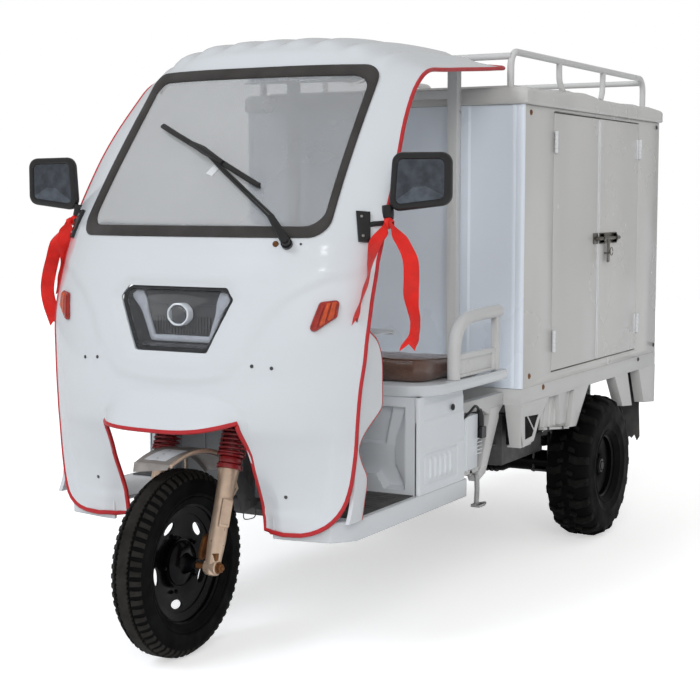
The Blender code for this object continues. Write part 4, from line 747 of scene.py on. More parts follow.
finish("signal_dark", (0.36, 0.018, 0.010), (0.10, 0.22), (60.0, 0.30), (160.0, 0.0006), 20.0,
       coat=0.5)
finish("mirror_face", (0.16, 0.18, 0.21), (0.03, 0.08), (30.0, 0.5), (5.0, 0.0), 4.0,
       metallic=1.0)

# %% [markdown]
# Glass is a shader that bends light. Lamps would cast a black shadow through it, because
# a path tracer finds no straight way from the lamp through a bending surface. So rays
# that come from lamps meet a plain see-through shader instead, a common trick.

# %% Clear and dark glass
LAMP_SHARE = 0.9


def glass(name, tint, rough, clear_share=1.0):
    """Glass of which clear_share lets light through; the rest is a smeared film."""
    nodes, links, shader = new_finish(name)
    smear = group_node(nodes, MOTTLE, {"Colour": (*tint, 1.0), "Scale": 3.0, "Amount": 0.06})
    links.new(smear.outputs["Colour"], shader.inputs["Base Color"])
    surface = group_node(nodes, GRAIN, {
        "Scale": 40.0, "Smear Scale": 4.0, "Low": rough, "High": rough * 1.6})
    links.new(surface.outputs["Roughness"], shader.inputs["Roughness"])
    shader.inputs["Transmission Weight"].default_value = clear_share
    shader.inputs["IOR"].default_value = 1.45
    path = nodes.new("ShaderNodeLightPath")
    clear = nodes.new("ShaderNodeBsdfTransparent")
    clear.inputs["Color"].default_value = (LAMP_SHARE, LAMP_SHARE, LAMP_SHARE, 1.0)
    mix = nodes.new("ShaderNodeMixShader")
    links.new(path.outputs["Is Shadow Ray"], mix.inputs["Fac"])
    links.new(shader.outputs[0], mix.inputs[1])
    links.new(clear.outputs[0], mix.inputs[2])
    links.new(mix.outputs[0], nodes["Material Output"].inputs["Surface"])


glass("windscreen_glass", (0.51, 0.52, 0.53), 0.015, clear_share=0.66)
glass("lamp_glass", (0.80, 0.82, 0.85), 0.03)

# %% [markdown]
# The seat's leather is a brown film over a soft pad. Its grain is a net of small cells,
# which a Voronoi texture draws, and the high places are rubbed lighter.

# %% Seat leather
def leather():
    nodes, links, shader = new_finish("seat_leather")
    place = nodes.new("ShaderNodeTexCoord")
    cells = nodes.new("ShaderNodeTexVoronoi")
    cells.feature = "DISTANCE_TO_EDGE"
    cells.inputs["Scale"].default_value = 420.0
    links.new(place.outputs["Object"], cells.inputs["Vector"])
    net = nodes.new("ShaderNodeMapRange")
    net.inputs["From Max"].default_value = 0.25
    links.new(cells.outputs["Distance"], net.inputs["Value"])
    bump_into(nodes, links, net.outputs["Result"], 0.0006, shader.inputs["Normal"], 0.7)
    base = group_node(nodes, MOTTLE, {
        "Colour": (0.200, 0.078, 0.036, 1.0), "Scale": 16.0, "Amount": 0.45})
    ramp = nodes.new("ShaderNodeMix")
    ramp.data_type = "RGBA"
    ramp.inputs[6].default_value = (0.050, 0.024, 0.018, 1.0)
    links.new(net.outputs["Result"], ramp.inputs["Factor"])
    links.new(base.outputs["Colour"], ramp.inputs[7])
    links.new(ramp.outputs[2], shader.inputs["Base Color"])
    surface = group_node(nodes, GRAIN, {
        "Scale": 300.0, "Smear Scale": 14.0, "Low": 0.34, "High": 0.58})
    links.new(surface.outputs["Roughness"], shader.inputs["Roughness"])
    # a clear film lies loosely over the new cushion and catches the light on top
    film = nodes.new("ShaderNodeTexNoise")
    film.inputs["Scale"].default_value = 9.0
    film.inputs["Detail"].default_value = 5.0
    film.inputs["Distortion"].default_value = 1.2
    links.new(place.outputs["Object"], film.inputs["Vector"])
    bump_into(nodes, links, film.outputs["Fac"], 0.012, shader.inputs["Coat Normal"])
    shader.inputs["Coat Weight"].default_value = 0.7
    shader.inputs["Coat Roughness"].default_value = 0.16
    shader.inputs["Coat IOR"].default_value = 1.8


leather()

# %% [markdown]
# The ribbons are satin. Its threads run along the strip, so the pattern reads the strip's
# own UV map: fine lines along it for the bump, and a soft sheen at grazing angles.

# %% Ribbon satin
def satin():
    nodes, links, shader = new_finish("ribbon_satin")
    place = nodes.new("ShaderNodeTexCoord")
    threads = nodes.new("ShaderNodeTexWave")
    threads.bands_direction = "X"
    threads.inputs["Scale"].default_value = 26.0
    threads.inputs["Distortion"].default_value = 0.4
    links.new(place.outputs["UV"], threads.inputs["Vector"])
    bump_into(nodes, links, threads.outputs["Fac"], 0.0002, shader.inputs["Normal"], 0.6)
    base = group_node(nodes, MOTTLE, {
        "Colour": (0.78, 0.012, 0.005, 1.0), "Scale": 30.0, "Amount": 0.22})
    links.new(base.outputs["Colour"], shader.inputs["Base Color"])
    surface = group_node(nodes, GRAIN, {
        "Scale": 300.0, "Smear Scale": 20.0, "Low": 0.36, "High": 0.52})
    links.new(surface.outputs["Roughness"], shader.inputs["Roughness"])
    shader.inputs["Sheen Weight"].default_value = 0.08


satin()
print(len(FINISHES), "finishes")

# %% [markdown]
# The cab shell is one moulding from the front wheel's arch over the windscreen to the
# roof's tail. It follows a rule: along its middle and along its side edge run two lines,
# and between them every cross section bends with the same power of the distance from the
# middle. So it is made from a table of those two lines, made smooth with a spline. The
# creases, the hood's lip and the roof's ribs are then added as small offsets.

# %% The shell's two lines
SHELL_WALL = 0.007
SHELL_CURVE = 3.25
# centre y, centre z, edge x, edge y, edge z, from the bottom edge to the roof's tail
SHELL_ROWS = (
    (0.055, 0.366, 0.330, 0.050, 0.366), (0.052, 0.376, 0.394, 0.056, 0.378),
    (0.047, 0.402, 0.443, 0.073, 0.404), (0.038, 0.444, 0.474, 0.094, 0.446),
    (0.025, 0.500, 0.491, 0.105, 0.500), (0.006, 0.556, 0.500, 0.109, 0.556),
    (-0.015, 0.613, 0.506, 0.111, 0.613), (-0.031, 0.656, 0.509, 0.110, 0.656),
    (-0.036, 0.700, 0.512, 0.111, 0.700), (-0.038, 0.740, 0.515, 0.112, 0.740),
    (-0.037, 0.785, 0.519, 0.115, 0.785), (-0.034, 0.845, 0.526, 0.122, 0.845),
    (-0.027, 0.901, 0.530, 0.126, 0.901), (-0.017, 0.957, 0.533, 0.136, 0.957),
    (-0.006, 1.012, 0.533, 0.151, 1.012), (0.008, 1.067, 0.533, 0.171, 1.067),
    (0.025, 1.122, 0.532, 0.192, 1.122), (0.046, 1.177, 0.532, 0.215, 1.177),
    (0.103, 1.250, 0.528, 0.248, 1.250), (0.172, 1.340, 0.522, 0.304, 1.340),
    (0.237, 1.420, 0.511, 0.354, 1.420), (0.298, 1.500, 0.497, 0.414, 1.500),
    (0.352, 1.580, 0.485, 0.488, 1.580), (0.388, 1.635, 0.483, 0.540, 1.625),
    (0.415, 1.680, 0.480, 0.590, 1.650), (0.445, 1.715, 0.476, 0.640, 1.660),
    (0.500, 1.738, 0.473, 0.700, 1.664), (0.600, 1.752, 0.471, 0.770, 1.669),
    (0.750, 1.760, 0.470, 0.850, 1.676), (0.900, 1.760, 0.470, 0.950, 1.684),
    (1.050, 1.755, 0.470, 1.060, 1.693), (1.145, 1.746, 0.467, 1.135, 1.700),
    (1.215, 1.737, 0.457, 1.205, 1.706), (1.243, 1.730, 0.440, 1.236, 1.712),
)
ROW_STEPS = 5


def between_rows(rows, steps):
    """Rows of a table with spline rows between them."""
    table = np.array(rows)
    fine = []
    for i in range(len(table) - 1):
        p0, p1 = table[max(i - 1, 0)], table[i]
        p2, p3 = table[i + 1], table[min(i + 2, len(table) - 1)]
        fine += [spline(p0, p1, p2, p3, step / steps) for step in range(steps)]
    fine.append(table[-1])
    return np.array(fine)


FINE_ROWS = between_rows(SHELL_ROWS, ROW_STEPS)
FRONT_ROWS = FINE_ROWS[:24 * ROW_STEPS + 1]
print("shell rows", len(SHELL_ROWS), "->", len(FINE_ROWS))

# %% [markdown]
# The relief is what gives the front its face: a raised bib with a V-shaped crease round
# the headlamp, a hood that juts out over the wheel and ends in a lip, a raised border
# along the legs' edges, and ribs along the roof. Each is a small function of the place,
# with its size as a name, so that a step can be made deeper or softer in one spot.

# %% Creases, hood and roof ribs
BIB_STEP = 0.0065
BIB_LINE = ((0.0, 0.786), (0.10, 0.790), (0.175, 0.806), (0.222, 0.850), (0.255, 0.910),
            (0.285, 0.965), (0.340, 1.025), (0.430, 1.075), (0.520, 1.100))
HOOD_TOP = ((0.0, 0.754), (0.12, 0.751), (0.170, 0.740), (0.205, 0.724), (0.228, 0.706),
            (0.250, 0.690))
HOOD_REACH = 0.074
HOOD_HALF = 0.236
LIP_Z = 0.649
LIP_RISE_LEFT = 0.034
LIP_RISE_RIGHT = 0.008
FOOT_SETBACK = 0.028
LAMP = ((-0.119, 0.862), (0.119, 0.862), (0.188, 1.008), (0.164, 1.040), (-0.164, 1.040),
        (-0.188, 1.008))
LAMP_DISH = 0.012
ARCH_HALF = 0.236
ARCH_TOP_HALF = 0.222
BORDER_WIDTH = 0.058
BORDER_STEP = 0.0035
RIB_PITCH = 0.1035
RIB_HEIGHT = 0.0125
RIB_START = 0.452


def along_line(line, value):
    xs = [point[0] for point in line]
    return float(np.interp(value, xs, [point[1] for point in line]))


def line_gap(line, x, z):
    """Distance of a place from a line of points."""
    best = 9.0
    for (ax, az), (bx, bz) in zip(line, line[1:]):
        dx, dz = bx - ax, bz - az
        t = min(max(((x - ax) * dx + (z - az) * dz) / (dx * dx + dz * dz), 0.0), 1.0)
        best = min(best, math.hypot(x - ax - t * dx, z - az - t * dz))
    return best


def outside_of(corners, x, z):
    """How far a place lies outside a convex outline; 0 or less within it."""
    gap = -9.0
    for (ax, az), (bx, bz) in zip(corners, corners[1:] + corners[:1]):
        length = math.hypot(bx - ax, bz - az)
        gap = max(gap, ((z - az) * (ax - bx) + (x - ax) * (bz - az)) / length)
    return gap


def lip_z(x):
    rise = LIP_RISE_LEFT if x > 0 else LIP_RISE_RIGHT
    return LIP_Z + rise * abs(x / HOOD_HALF) ** 2.4


def relief(x, z, edge_x):
    """How far the front stands out from the plain surface at a place."""
    across = abs(x)
    inside = min(edge_x - across, (z - SHELL_ROWS[0][1]) * 0.9)
    out = -BORDER_STEP * ease(BORDER_WIDTH - 0.014, BORDER_WIDTH + 0.006, inside) * (
        1 - ease(0.60, 0.72, z))
    if 0.74 < z < 1.16:
        gap = line_gap(BIB_LINE, across, z)
        side = gap if z > along_line(BIB_LINE, across) else -gap
        out += BIB_STEP * ease(-0.020, 0.005, side) * (1 - ease(1.06, 1.16, z))
    out -= FOOT_SETBACK * (1 - ease(ARCH_HALF, 0.305, across)) * (1 - ease(0.385, 0.56, z))
    out -= LAMP_DISH * (1 - ease(-0.004, 0.026, outside_of(LAMP, across, z)))
    top = along_line(HOOD_TOP, across)
    if z < top and z > 0.56 and across < HOOD_HALF:
        reach = HOOD_REACH * (1 - (across / HOOD_HALF) ** 5)
        share = min((top - z) / max(top - lip_z(x), 0.012), 1.15)
        out += reach * (0.35 * ease(0, 1, share) + 0.65 * share)
    return out


def rib_rise(x, y):
    """The height of the roof's ribs at a place seen from above."""
    if y < RIB_START:
        return 0.0
    wave = math.cos(math.pi * (x - 0.0475) / RIB_PITCH)
    inner = 1 - ease(0.375, 0.420, abs(x))
    along = ease(RIB_START, 0.500, y) * (1 - ease(1.05, 1.12, y))
    return RIB_HEIGHT * (1 - abs(wave) ** 3.0) * along * inner


def shell_at(row, share):
    """A point of the finished outer surface; share is 0 in the middle and 1 at the edge."""
    centre_y, centre_z, edge_x, edge_y, edge_z = row
    bend = abs(share) ** SHELL_CURVE
    x = share * edge_x
    y = centre_y + (edge_y - centre_y) * bend
    z = centre_z + (edge_z - centre_z) * bend
    if z < 1.17:
        y -= relief(x, z, edge_x)
    elif z > 1.60 and y > 0.44:
        z += rib_rise(x, y)
    return Vector((x, y, z))


def front_y(x, z):
    """The finished front surface's y at a place seen from the front."""
    zs = FRONT_ROWS[:, 1]
    centre = float(np.interp(z, zs, FRONT_ROWS[:, 0]))
    edge_x = float(np.interp(z, zs, FRONT_ROWS[:, 2]))
    edge_y = float(np.interp(z, zs, FRONT_ROWS[:, 3]))
    share = min(abs(x) / edge_x, 1.0)
    y = centre + (edge_y - centre) * share ** SHELL_CURVE
    return y - relief(x, z, edge_x) if z < 1.17 else y


def front_normal(x, z, step=0.004):
    across = (front_y(x + step, z) - front_y(x - step, z)) / (2 * step)
    up = (front_y(x, z + step) - front_y(x, z - step)) / (2 * step)
    return Vector((across, -1.0, up)).normalized()


def on_front(outline, lift=0.0):
    """Lays an outline seen from the front on the shell, moved out by lift."""
    return [Vector((x, front_y(x, z), z)) + front_normal(x, z) * lift for x, z in outline]

# %% [markdown]
# The openings for the wheel, the windscreen and the lamp are cut with Booleans from a
# sheet that has its wall already. The cutters are long prisms seen from the front, so
# only their outlines matter.

# %% The shell with its openings
SCREEN = ((-0.415, 1.175), (0.415, 1.175), (0.391, 1.662), (-0.391, 1.662))
SCREEN_CORNER = 0.048
GASKET_SEAT = 0.014


def inset(corners, by):
    """The outline of corners moved inwards by a distance; corners run anticlockwise."""
    points = []
    count = len(corners)
    for i in range(count):
        here = Vector(corners[i])
        one = (here - Vector(corners[i - 1])).normalized()
        two = (Vector(corners[(i + 1) % count]) - here).normalized()
        in_one, in_two = Vector((-one.y, one.x)), Vector((-two.y, two.x))
        mid = (in_one + in_two).normalized()
        points.append(tuple(here + mid * (by / max(mid.dot(in_one), 0.2))))
    return points


def cut_by(obj, shape, name):
    tool = linked("cutter", clean_mesh("cutter", shape))
    cutter = obj.modifiers.new("cut", "BOOLEAN")
    cutter.operation = "DIFFERENCE"
    cutter.solver = "EXACT"
    cutter.object = tool
    obj = evaluated(obj, name)
    bpy.data.objects.remove(tool)
    return obj


def arch_x(z):
    """Half the opening's width at a height: it draws in towards the lip."""
    return ARCH_HALF - (ARCH_HALF - ARCH_TOP_HALF) * ease(0.56, 0.690, z) ** 1.2


def arch_outline():
    lip = []
    for i in range(25):
        x = ARCH_TOP_HALF - 2 * ARCH_TOP_HALF * i / 24
        lip.append((x, lip_z(x)))
    left = [(arch_x(z), z) for z in (0.300, 0.40, 0.50, 0.56, 0.60, 0.625, 0.645, 0.660)]
    right = [(-x, z) for x, z in reversed(left[:6])]
    return right + left + lip


def make_shell():
    shares = [math.sin(math.pi / 2 * i / 44) for i in range(-44, 45)]
    grid = [[shell_at(row, share) for share in shares] for row in FINE_ROWS]
    mesh = clean_mesh("cab_shell_skin", grid_sheet(grid))
    obj = linked("cab_shell_skin", mesh)
    middle = mesh.polygons[len(mesh.polygons) // 4]
    if middle.normal.y > 0:
        mesh.flip_normals()
    wall = obj.modifiers.new("wall", "SOLIDIFY")
    wall.thickness = SHELL_WALL
    wall.offset = -1.0
    obj = evaluated(obj, "cab_shell_skin")
    seat = rounded(inset(SCREEN, GASKET_SEAT), SCREEN_CORNER - GASKET_SEAT, 8)
    for outline, near, far in (
        (arch_outline(), -0.30, 0.30), (seat, -0.2, 0.62), (rounded(LAMP, 0.010, 3), -0.2, 0.2),
    ):
        obj = cut_by(obj, slab(outline, "XZ", near, far), "cab_shell_skin")
    return dress(obj, "shell_gloss", "vehicle", ["cab_shell"], math.radians(30))


shell = make_shell()
print("shell faces", len(shell.data.polygons))

# %% [markdown]
# A soft red edging is pushed onto every free edge of the shell, to hide the cut and keep
# hands from it. It is one bar swept along the edge's own points, so the same functions
# that made the shell give its line.

# %% Red edging
EDGING = 0.0064


def inward(row_index, share):
    """Half a wall's thickness into the shell at a row and share."""
    row = FINE_ROWS[row_index]
    i = min(max(row_index, 1), len(FINE_ROWS) - 2)
    here = shell_at(row, share)
    across = here - shell_at(row, share - math.copysign(0.01, share or 1))
    along = shell_at(FINE_ROWS[i + 1], share) - shell_at(FINE_ROWS[i - 1], share)
    normal = across.cross(along).normalized()
    centre = Vector((0.0, 0.45, 1.0))
    if normal.dot(centre - here) < 0:
        normal = -normal
    return here + normal * (SHELL_WALL / 2)


def half_edge(side):
    """Half of the edge, from the roof's tail down, round the foot and up the arch."""
    last = len(FINE_ROWS) - 1
    line = [inward(last, share) for share in (0.0, 0.3, 0.55, 0.75, 0.9)]
    line += [inward(i, 1.0) for i in range(last, -1, -2)]
    foot_share = ARCH_HALF / SHELL_ROWS[0][2]
    line += [inward(0, 1.0 + (foot_share - 1.0) * i / 6) for i in range(1, 7)]
    top = lip_z(side * ARCH_TOP_HALF)
    for i in range(1, 22):
        z = SHELL_ROWS[0][1] + (top - 0.006 - SHELL_ROWS[0][1]) * i / 21
        line.append(Vector((arch_x(z), front_y(side * arch_x(z), z) + SHELL_WALL / 2, z)))
    for i in range(17):
        x = ARCH_TOP_HALF * (1 - i / 16)
        z = lip_z(side * x) + 0.001
        line.append(Vector((x, front_y(side * x, z) + SHELL_WALL / 2, z)))
    return [Vector((side * point.x, point.y, point.z)) for point in line]


loop = half_edge(1)[:-1] + half_edge(-1)[:0:-1]
piece("shell_edging", [swept(loop, EDGING, 10, closed=True)], "trim_red", "vehicle")
print("edging points", len(loop))

# %% [markdown]
# Behind the shell's legs stand two panels with a wavy rear edge, edged in the same red.
# Their outline is the photograph's, as a few points with a smooth curve through them.

# %% Leg shields
SHIELD_REAR = (
    (0.176, 0.940), (0.210, 0.915), (0.245, 0.894), (0.268, 0.862), (0.278, 0.820),
    (0.278, 0.770), (0.278, 0.712), (0.255, 0.690), (0.200, 0.660), (0.160, 0.632),
    (0.142, 0.601), (0.160, 0.562), (0.186, 0.527), (0.188, 0.500), (0.177, 0.465),
    (0.160, 0.4073),
)
SHIELD_INNER = 0.486
SHIELD_THICK = 0.012
SHIELD_CROWN = 0.003


def shield(side, word):
    """One panel, as a strip from its front edge to its wavy rear edge, slightly crowned."""
    rear = [tuple(point) for point in smooth_line(SHIELD_REAR, 60)]
    grid = []
    for lift in (0.0, SHIELD_THICK):
        rows = []
        for y, z in rear:
            edge = float(np.interp(z, FRONT_ROWS[:, 4], FRONT_ROWS[:, 3])) + 0.012
            row = []
            for i in range(7):
                share = i / 6
                crown = SHIELD_CROWN * math.sin(math.pi * share) if lift else 0.0
                row.append(Vector((SHIELD_INNER + lift + crown, edge + (y - edge) * share, z)))
            rows.append(row)
        grid.append(rows)
    rings = [inner + outer[::-1] for inner, outer in zip(*grid)]
    edge = swept([(SHIELD_INNER + SHIELD_THICK / 2, y, z) for y, z in rear], EDGING * 1.05, 10)
    piece("leg_shield_panel_" + word, [on_side(capped_sheet(rings), side)], "shell_gloss",
          "vehicle", ["leg_shield_" + word])
    piece("leg_shield_edging_" + word, [on_side(edge, side)], "trim_red", "vehicle")


both_sides(shield)

# %% [markdown]
# The windscreen sits in a black rubber frame with round corners. The rubber is drawn as a
# ring with its own cross section: a flat lip on the paint, a rounded middle and a lip on
# the glass. It follows the shell, because every point is laid on the same surface.

# %% Rubber frame and glass
GASKET_WIDTH = 0.038
GASKET_RISE = 0.0085
GLASS_WALL = 0.004
SCREEN_MIDDLE = Vector((0.0, (1.175 + 1.662) / 2))


def screen_loop(inset_by, longest=0.03):
    corner = max(SCREEN_CORNER - inset_by, 0.012)
    return divided(rounded(inset(SCREEN, inset_by), corner, 8), longest)


def gasket():
    section = ((0.0, 0.0004), (0.0, 0.004), (0.005, 0.0075), (0.015, GASKET_RISE),
               (0.027, GASKET_RISE), (0.034, 0.006), (GASKET_WIDTH, 0.001),
               (GASKET_WIDTH, -0.002), (0.019, -0.002))
    base = [Vector(point) for point in screen_loop(0.0)]
    shrink = (SCREEN_MIDDLE.x, SCREEN_MIDDLE.y)
    rings = []
    for across, lift in section:
        loop = []
        for point in base:
            out = point - SCREEN_MIDDLE
            slim = 0.60 if out.x > 0 else 0.95
            scale = Vector((1 - across * slim / 0.415, 1 - across * 0.80 / 0.2435))
            loop.append((shrink[0] + out.x * scale.x, shrink[1] + out.y * scale.y))
        rings.append(on_front(loop, lift))
    rings.append(rings[0])
    piece("screen_rubber", [grid_sheet(rings, closed=True)], "rubber_seal", "vehicle",
          ["windscreen_gasket"])


def glass_pane():
    """The curved pane, as loops that shrink towards its middle, with a real thickness."""
    loops = []
    outline = [Vector(point) for point in screen_loop(0.020, 0.02)]
    for share in (1.0, 0.85, 0.7, 0.55, 0.4, 0.25, 0.12):
        loop = [SCREEN_MIDDLE + (point - SCREEN_MIDDLE) * share for point in outline]
        loops.append([Vector((x, front_y(x, z) + 0.002, z)) for x, z in loop])
    back = [[point + Vector((0.0, GLASS_WALL, 0.0)) for point in loop] for loop in loops]
    piece("screen_pane", [capped_sheet(back[::-1] + loops)], "windscreen_glass", "vehicle",
          ["windscreen"], smooth=math.radians(60))


gasket()
glass_pane()

# %% [markdown]
# The wiper is a pressed arm on a pivot with a nut, and a blade: a thin steel bow that
# holds a rubber lip on the glass. Four small pieces make it.

# %% Wiper
WIPER_PIVOT = (0.318, 1.159)
BLADE_ENDS = ((0.182, 1.309), (-0.243, 1.488))
WIPER_KNEE = (0.262, 1.216)


def wiper():
    out = front_normal(*WIPER_PIVOT)
    pivot = on_front([WIPER_PIVOT])[0]
    (ax, az), (bx, bz) = BLADE_ENDS
    bow, lip = [], []
    for i in range(13):
        share = i / 12
        x, z = ax + (bx - ax) * share, az + (bz - az) * share
        rise = 0.013 + 0.005 * math.sin(math.pi * share)
        bow.append(on_front([(x, z)], rise)[0])
        lip.append(on_front([(x, z)], 0.0045)[0])
    clip = bow[6] + (bow[7] - bow[6]) * 0.4
    knee = on_front([WIPER_KNEE], 0.030)[0]
    side = (knee - pivot).cross(out).normalized()
    arm = smooth_line([pivot + out * 0.020, pivot.lerp(knee, 0.5) + out * 0.018, knee], 12)
    shapes = [
        swept(arm, [0.0135 - 0.0040 * i / 11 for i in range(12)], 10, flat=0.7),
        swept(bow, [0.0090] * 13, 8, flat=0.6),
        swept(lip, [0.0045] * 13, 6),
        rod(pivot + out * 0.0005, pivot + out * 0.012, 0.016),
        rod(pivot + out * 0.010, pivot + out * 0.028, 0.012),
        rod(pivot + out * 0.028, pivot + out * 0.033, 0.0075, 6),
        swept([bow[4] + out * 0.004, clip + out * 0.009, bow[8] + out * 0.004],
              [0.007, 0.0125, 0.007], 8),
    ]
    for shift in (-0.0045, 0.0045):
        shapes.append(swept([knee + side * shift, clip.lerp(knee, 0.3) + side * shift * 0.8,
                             clip + out * 0.008], 0.0040, 8))
    for i in (2, 6, 10):
        shapes.append(rod(lip[i], bow[i], 0.0026, 8))
    piece("wiper_arm", shapes, "black_plastic", "vehicle", ["wiper"])


wiper()

# %% [markdown]
# The headlamp sits deep in the shell. Its housing is dark, and in front of a dark shield
# stand a round lens in an eight-sided ring and a light guide bent to a wide U whose ends
# flare. A clear cover closes it.

# %% Headlamp
LAMP_FRONT = 0.004
GUIDE_Y = 0.034
GUIDE_HALF = 0.0095
# place across in half widths, height above the guide's back
GUIDE_SECTION = ((-1, 0.0), (-1, 0.006), (-0.7, 0.009), (0.7, 0.009), (1, 0.006), (1, 0.0))
RING_Y = 0.012


def lamp_wall_y(x, z):
    return front_y(x, z) + LAMP_FRONT


def lamp_plate(outline, y_of, thick):
    """A thin plate on an outline, at a depth that may change over it."""
    near = [Vector((x, y_of(x, z), z)) for x, z in outline]
    far = [point + Vector((0.0, thick, 0.0)) for point in near]
    return capped_sheet([far, near])


def even_loop(loop, count):
    """A closed loop of points read again at an even number of places, from its first point."""
    closed = list(loop) + [loop[0]]
    reach = [0.0]
    for one, two in zip(closed, closed[1:]):
        reach.append(reach[-1] + (two - one).length)
    out = []
    j = 0
    for i in range(count):
        goal = reach[-1] * i / count
        while reach[j + 1] < goal:
            j += 1
        share = (goal - reach[j]) / max(reach[j + 1] - reach[j], 1e-9)
        out.append(closed[j].lerp(closed[j + 1], share))
    return out


def headlamp():
    ring = []
    for by, depth in ((0.0006, 0.085), (0.0006, 0.0), (0.004, -0.0015), (0.009, 0.0),
                      (0.012, 0.006), (0.020, 0.036)):
        loop = divided(rounded(inset(LAMP, by), 0.010, 3), 0.03)
        ring.append([Vector((x, (lamp_wall_y(x, z) if depth < 0.03 else 0.0) + depth, z))
                     for x, z in loop])
    count = min(len(loop) for loop in ring)
    ring = [even_loop(loop, count) for loop in ring]
    piece("lamp_body", [capped_sheet(ring)], "lamp_housing", "vehicle", ["headlamp"],
          0.0005)
    guide_line = [(-0.152, 1.022), (-0.132, 0.990), (-0.098, 0.893), (0.098, 0.893),
                  (0.132, 0.990), (0.152, 1.022)]
    fine = divided(guide_line, 0.006, closed=False)
    rows = []
    for i, (x, z) in enumerate(fine):
        a = Vector(fine[max(i - 1, 0)])
        b = Vector(fine[min(i + 1, len(fine) - 1)])
        along = (b - a).normalized()
        side = Vector((-along.y, along.x))
        half = GUIDE_HALF * (1.0 + 1.1 * ease(0.955, 1.016, z))
        row = []
        for across, rise in GUIDE_SECTION:
            p = Vector((x, z)) + side * across * half
            row.append(Vector((p.x, GUIDE_Y - rise, p.y)))
        rows.append(row)
    piece("lamp_light_guide", [capped_sheet(rows)], "light_guide", "vehicle",
          smooth=math.radians(50))
    centre = Vector((0.0, RING_Y, 0.962))
    octagon = [(0.039 * math.cos(math.radians(22.5 + 45 * i)),
                0.034 * math.sin(math.radians(22.5 + 45 * i))) for i in range(8)]
    outer = rounded(octagon, 0.022, 4)
    rings = []
    for scale, rise in ((1.0, -0.020), (1.0, 0.003), (0.96, 0.005), (0.86, 0.005), (0.82, 0.001),
                        (0.82, -0.020)):
        rings.append([centre + Vector((x * scale, -rise, z * scale)) for x, z in outer])
    rings.append(rings[0])
    piece("lamp_ring", [grid_sheet(rings, closed=True)], "lamp_ring", "vehicle",
          smooth=math.radians(50))
    dome = []
    for i in range(7):
        tilt = math.pi / 2 * i / 7
        dome.append((0.031 * math.cos(tilt), 0.010 * math.sin(tilt)))
    profile = [(0.031, -0.003)] + dome + [(0.0008, 0.009), (0.0008, -0.003)]
    lens = turned(profile, (0, 0, 0), "Y", 32)
    lens = placed(lens, Matrix.Translation(centre) @ Matrix.Diagonal((1.0, -1.0, 0.86, 1.0)))
    piece("lamp_lens", [lens], "lamp_glass", "vehicle", smooth=math.radians(50))
    cover = divided(rounded(inset(LAMP, 0.0125), 0.010, 3), 0.03)
    piece("lamp_cover", [lamp_plate(cover, lambda x, z: lamp_wall_y(x, z) + 0.004, 0.0015)],
          "lamp_glass", "vehicle")
    bars = []
    for i in range(-9, 10):
        x = i * 0.0098
        top = 0.925 if abs(x) < 0.045 else 0.955
        bars.append(block((x - 0.0036, x + 0.0036), (GUIDE_Y - 0.002, GUIDE_Y + 0.006),
                          (0.903, top)))
    for xs in ((-0.124, -0.052), (0.052, 0.124)):
        bars.append(block(xs, (GUIDE_Y - 0.004, GUIDE_Y + 0.006), (0.985, 0.989)))
    piece("lamp_shield_bars", bars, "lamp_housing", "vehicle", round_off=0.0008)


headlamp()

# %% [markdown]
# The turn signals are slanted lenses on the bend of the shell, half amber and half red,
# with a bevelled rim. Each half is its own small body.

# %% Turn signals
SIGNAL = ((0.3985, 0.914), (0.4625, 0.966), (0.4645, 1.010), (0.4215, 1.004))


def signal_body(corners, lifts, radius):
    """A lens that rises from the shell in steps, each loop a little smaller."""
    middle = Vector((sum(x for x, z in corners) / 4, sum(z for x, z in corners) / 4))
    outline = divided(rounded(corners, radius, 4), 0.012)
    grid = []
    for share, lift in lifts:
        loop = [middle + (Vector(point) - middle) * share for point in outline]
        grid.append(on_front([tuple(point) for point in loop], lift))
    return capped_sheet(grid)


def part_of(corners, low, high):
    """A slice of a slanted four-sided outline, from share low to share high across it."""
    a, b, c, d = [Vector(point) for point in corners]
    return [tuple(a.lerp(b, low)), tuple(a.lerp(b, high)), tuple(d.lerp(c, high)),
            tuple(d.lerp(c, low))]


def turn_signal(side, word):
    rim = signal_body(SIGNAL, ((1.06, 0.0006), (1.06, 0.006), (1.0, 0.009), (0.5, 0.009)), 0.010)
    piece("signal_rim_" + word, [on_side(rim, side)], "signal_dark", "vehicle",
          ["turn_signal_" + word])
    shapes = []
    for low, high in ((0.36, 0.62), (0.64, 0.92)):
        lens = signal_body(part_of(SIGNAL, low, high),
                           ((0.90, 0.006), (0.88, 0.011), (0.74, 0.0135), (0.4, 0.0138)), 0.004)
        shapes.append(on_side(lens, side))
    piece("signal_amber_" + word, shapes, "signal_amber", "vehicle")
    shapes = [on_side(signal_body(part_of(SIGNAL, 0.08, 0.34),
                                  ((0.90, 0.006), (0.88, 0.010), (0.74, 0.012), (0.4, 0.0122)),
                                  0.004), side)]
    piece("signal_red_" + word, shapes, "signal_dark", "vehicle")


both_sides(turn_signal)

# %% [markdown]
# Small things sit on the front face: six screws, a brown grommet and a blank white label
# inside the screen. Each is placed by its x and z, and the face's own curve gives the rest.

# %% Face screws and blank label
FACE_SCREWS = ((0.313, 0.830), (0.259, 0.834), (0.320, 0.472))
GROMMET = (0.287, 1.159)
BLANK_LABEL = ((-0.019, 1.352), (0.005, 1.344), (0.019, 1.369), (-0.004, 1.378))


def stud(x, z, radius, high):
    """A low round head that stands on the face along its normal."""
    foot, out = Vector((x, front_y(x, z), z)), front_normal(x, z)
    line = [foot - out * 0.002, foot + out * high * 0.6, foot + out * high]
    return swept(line, [radius, radius, radius * 0.55], 12)


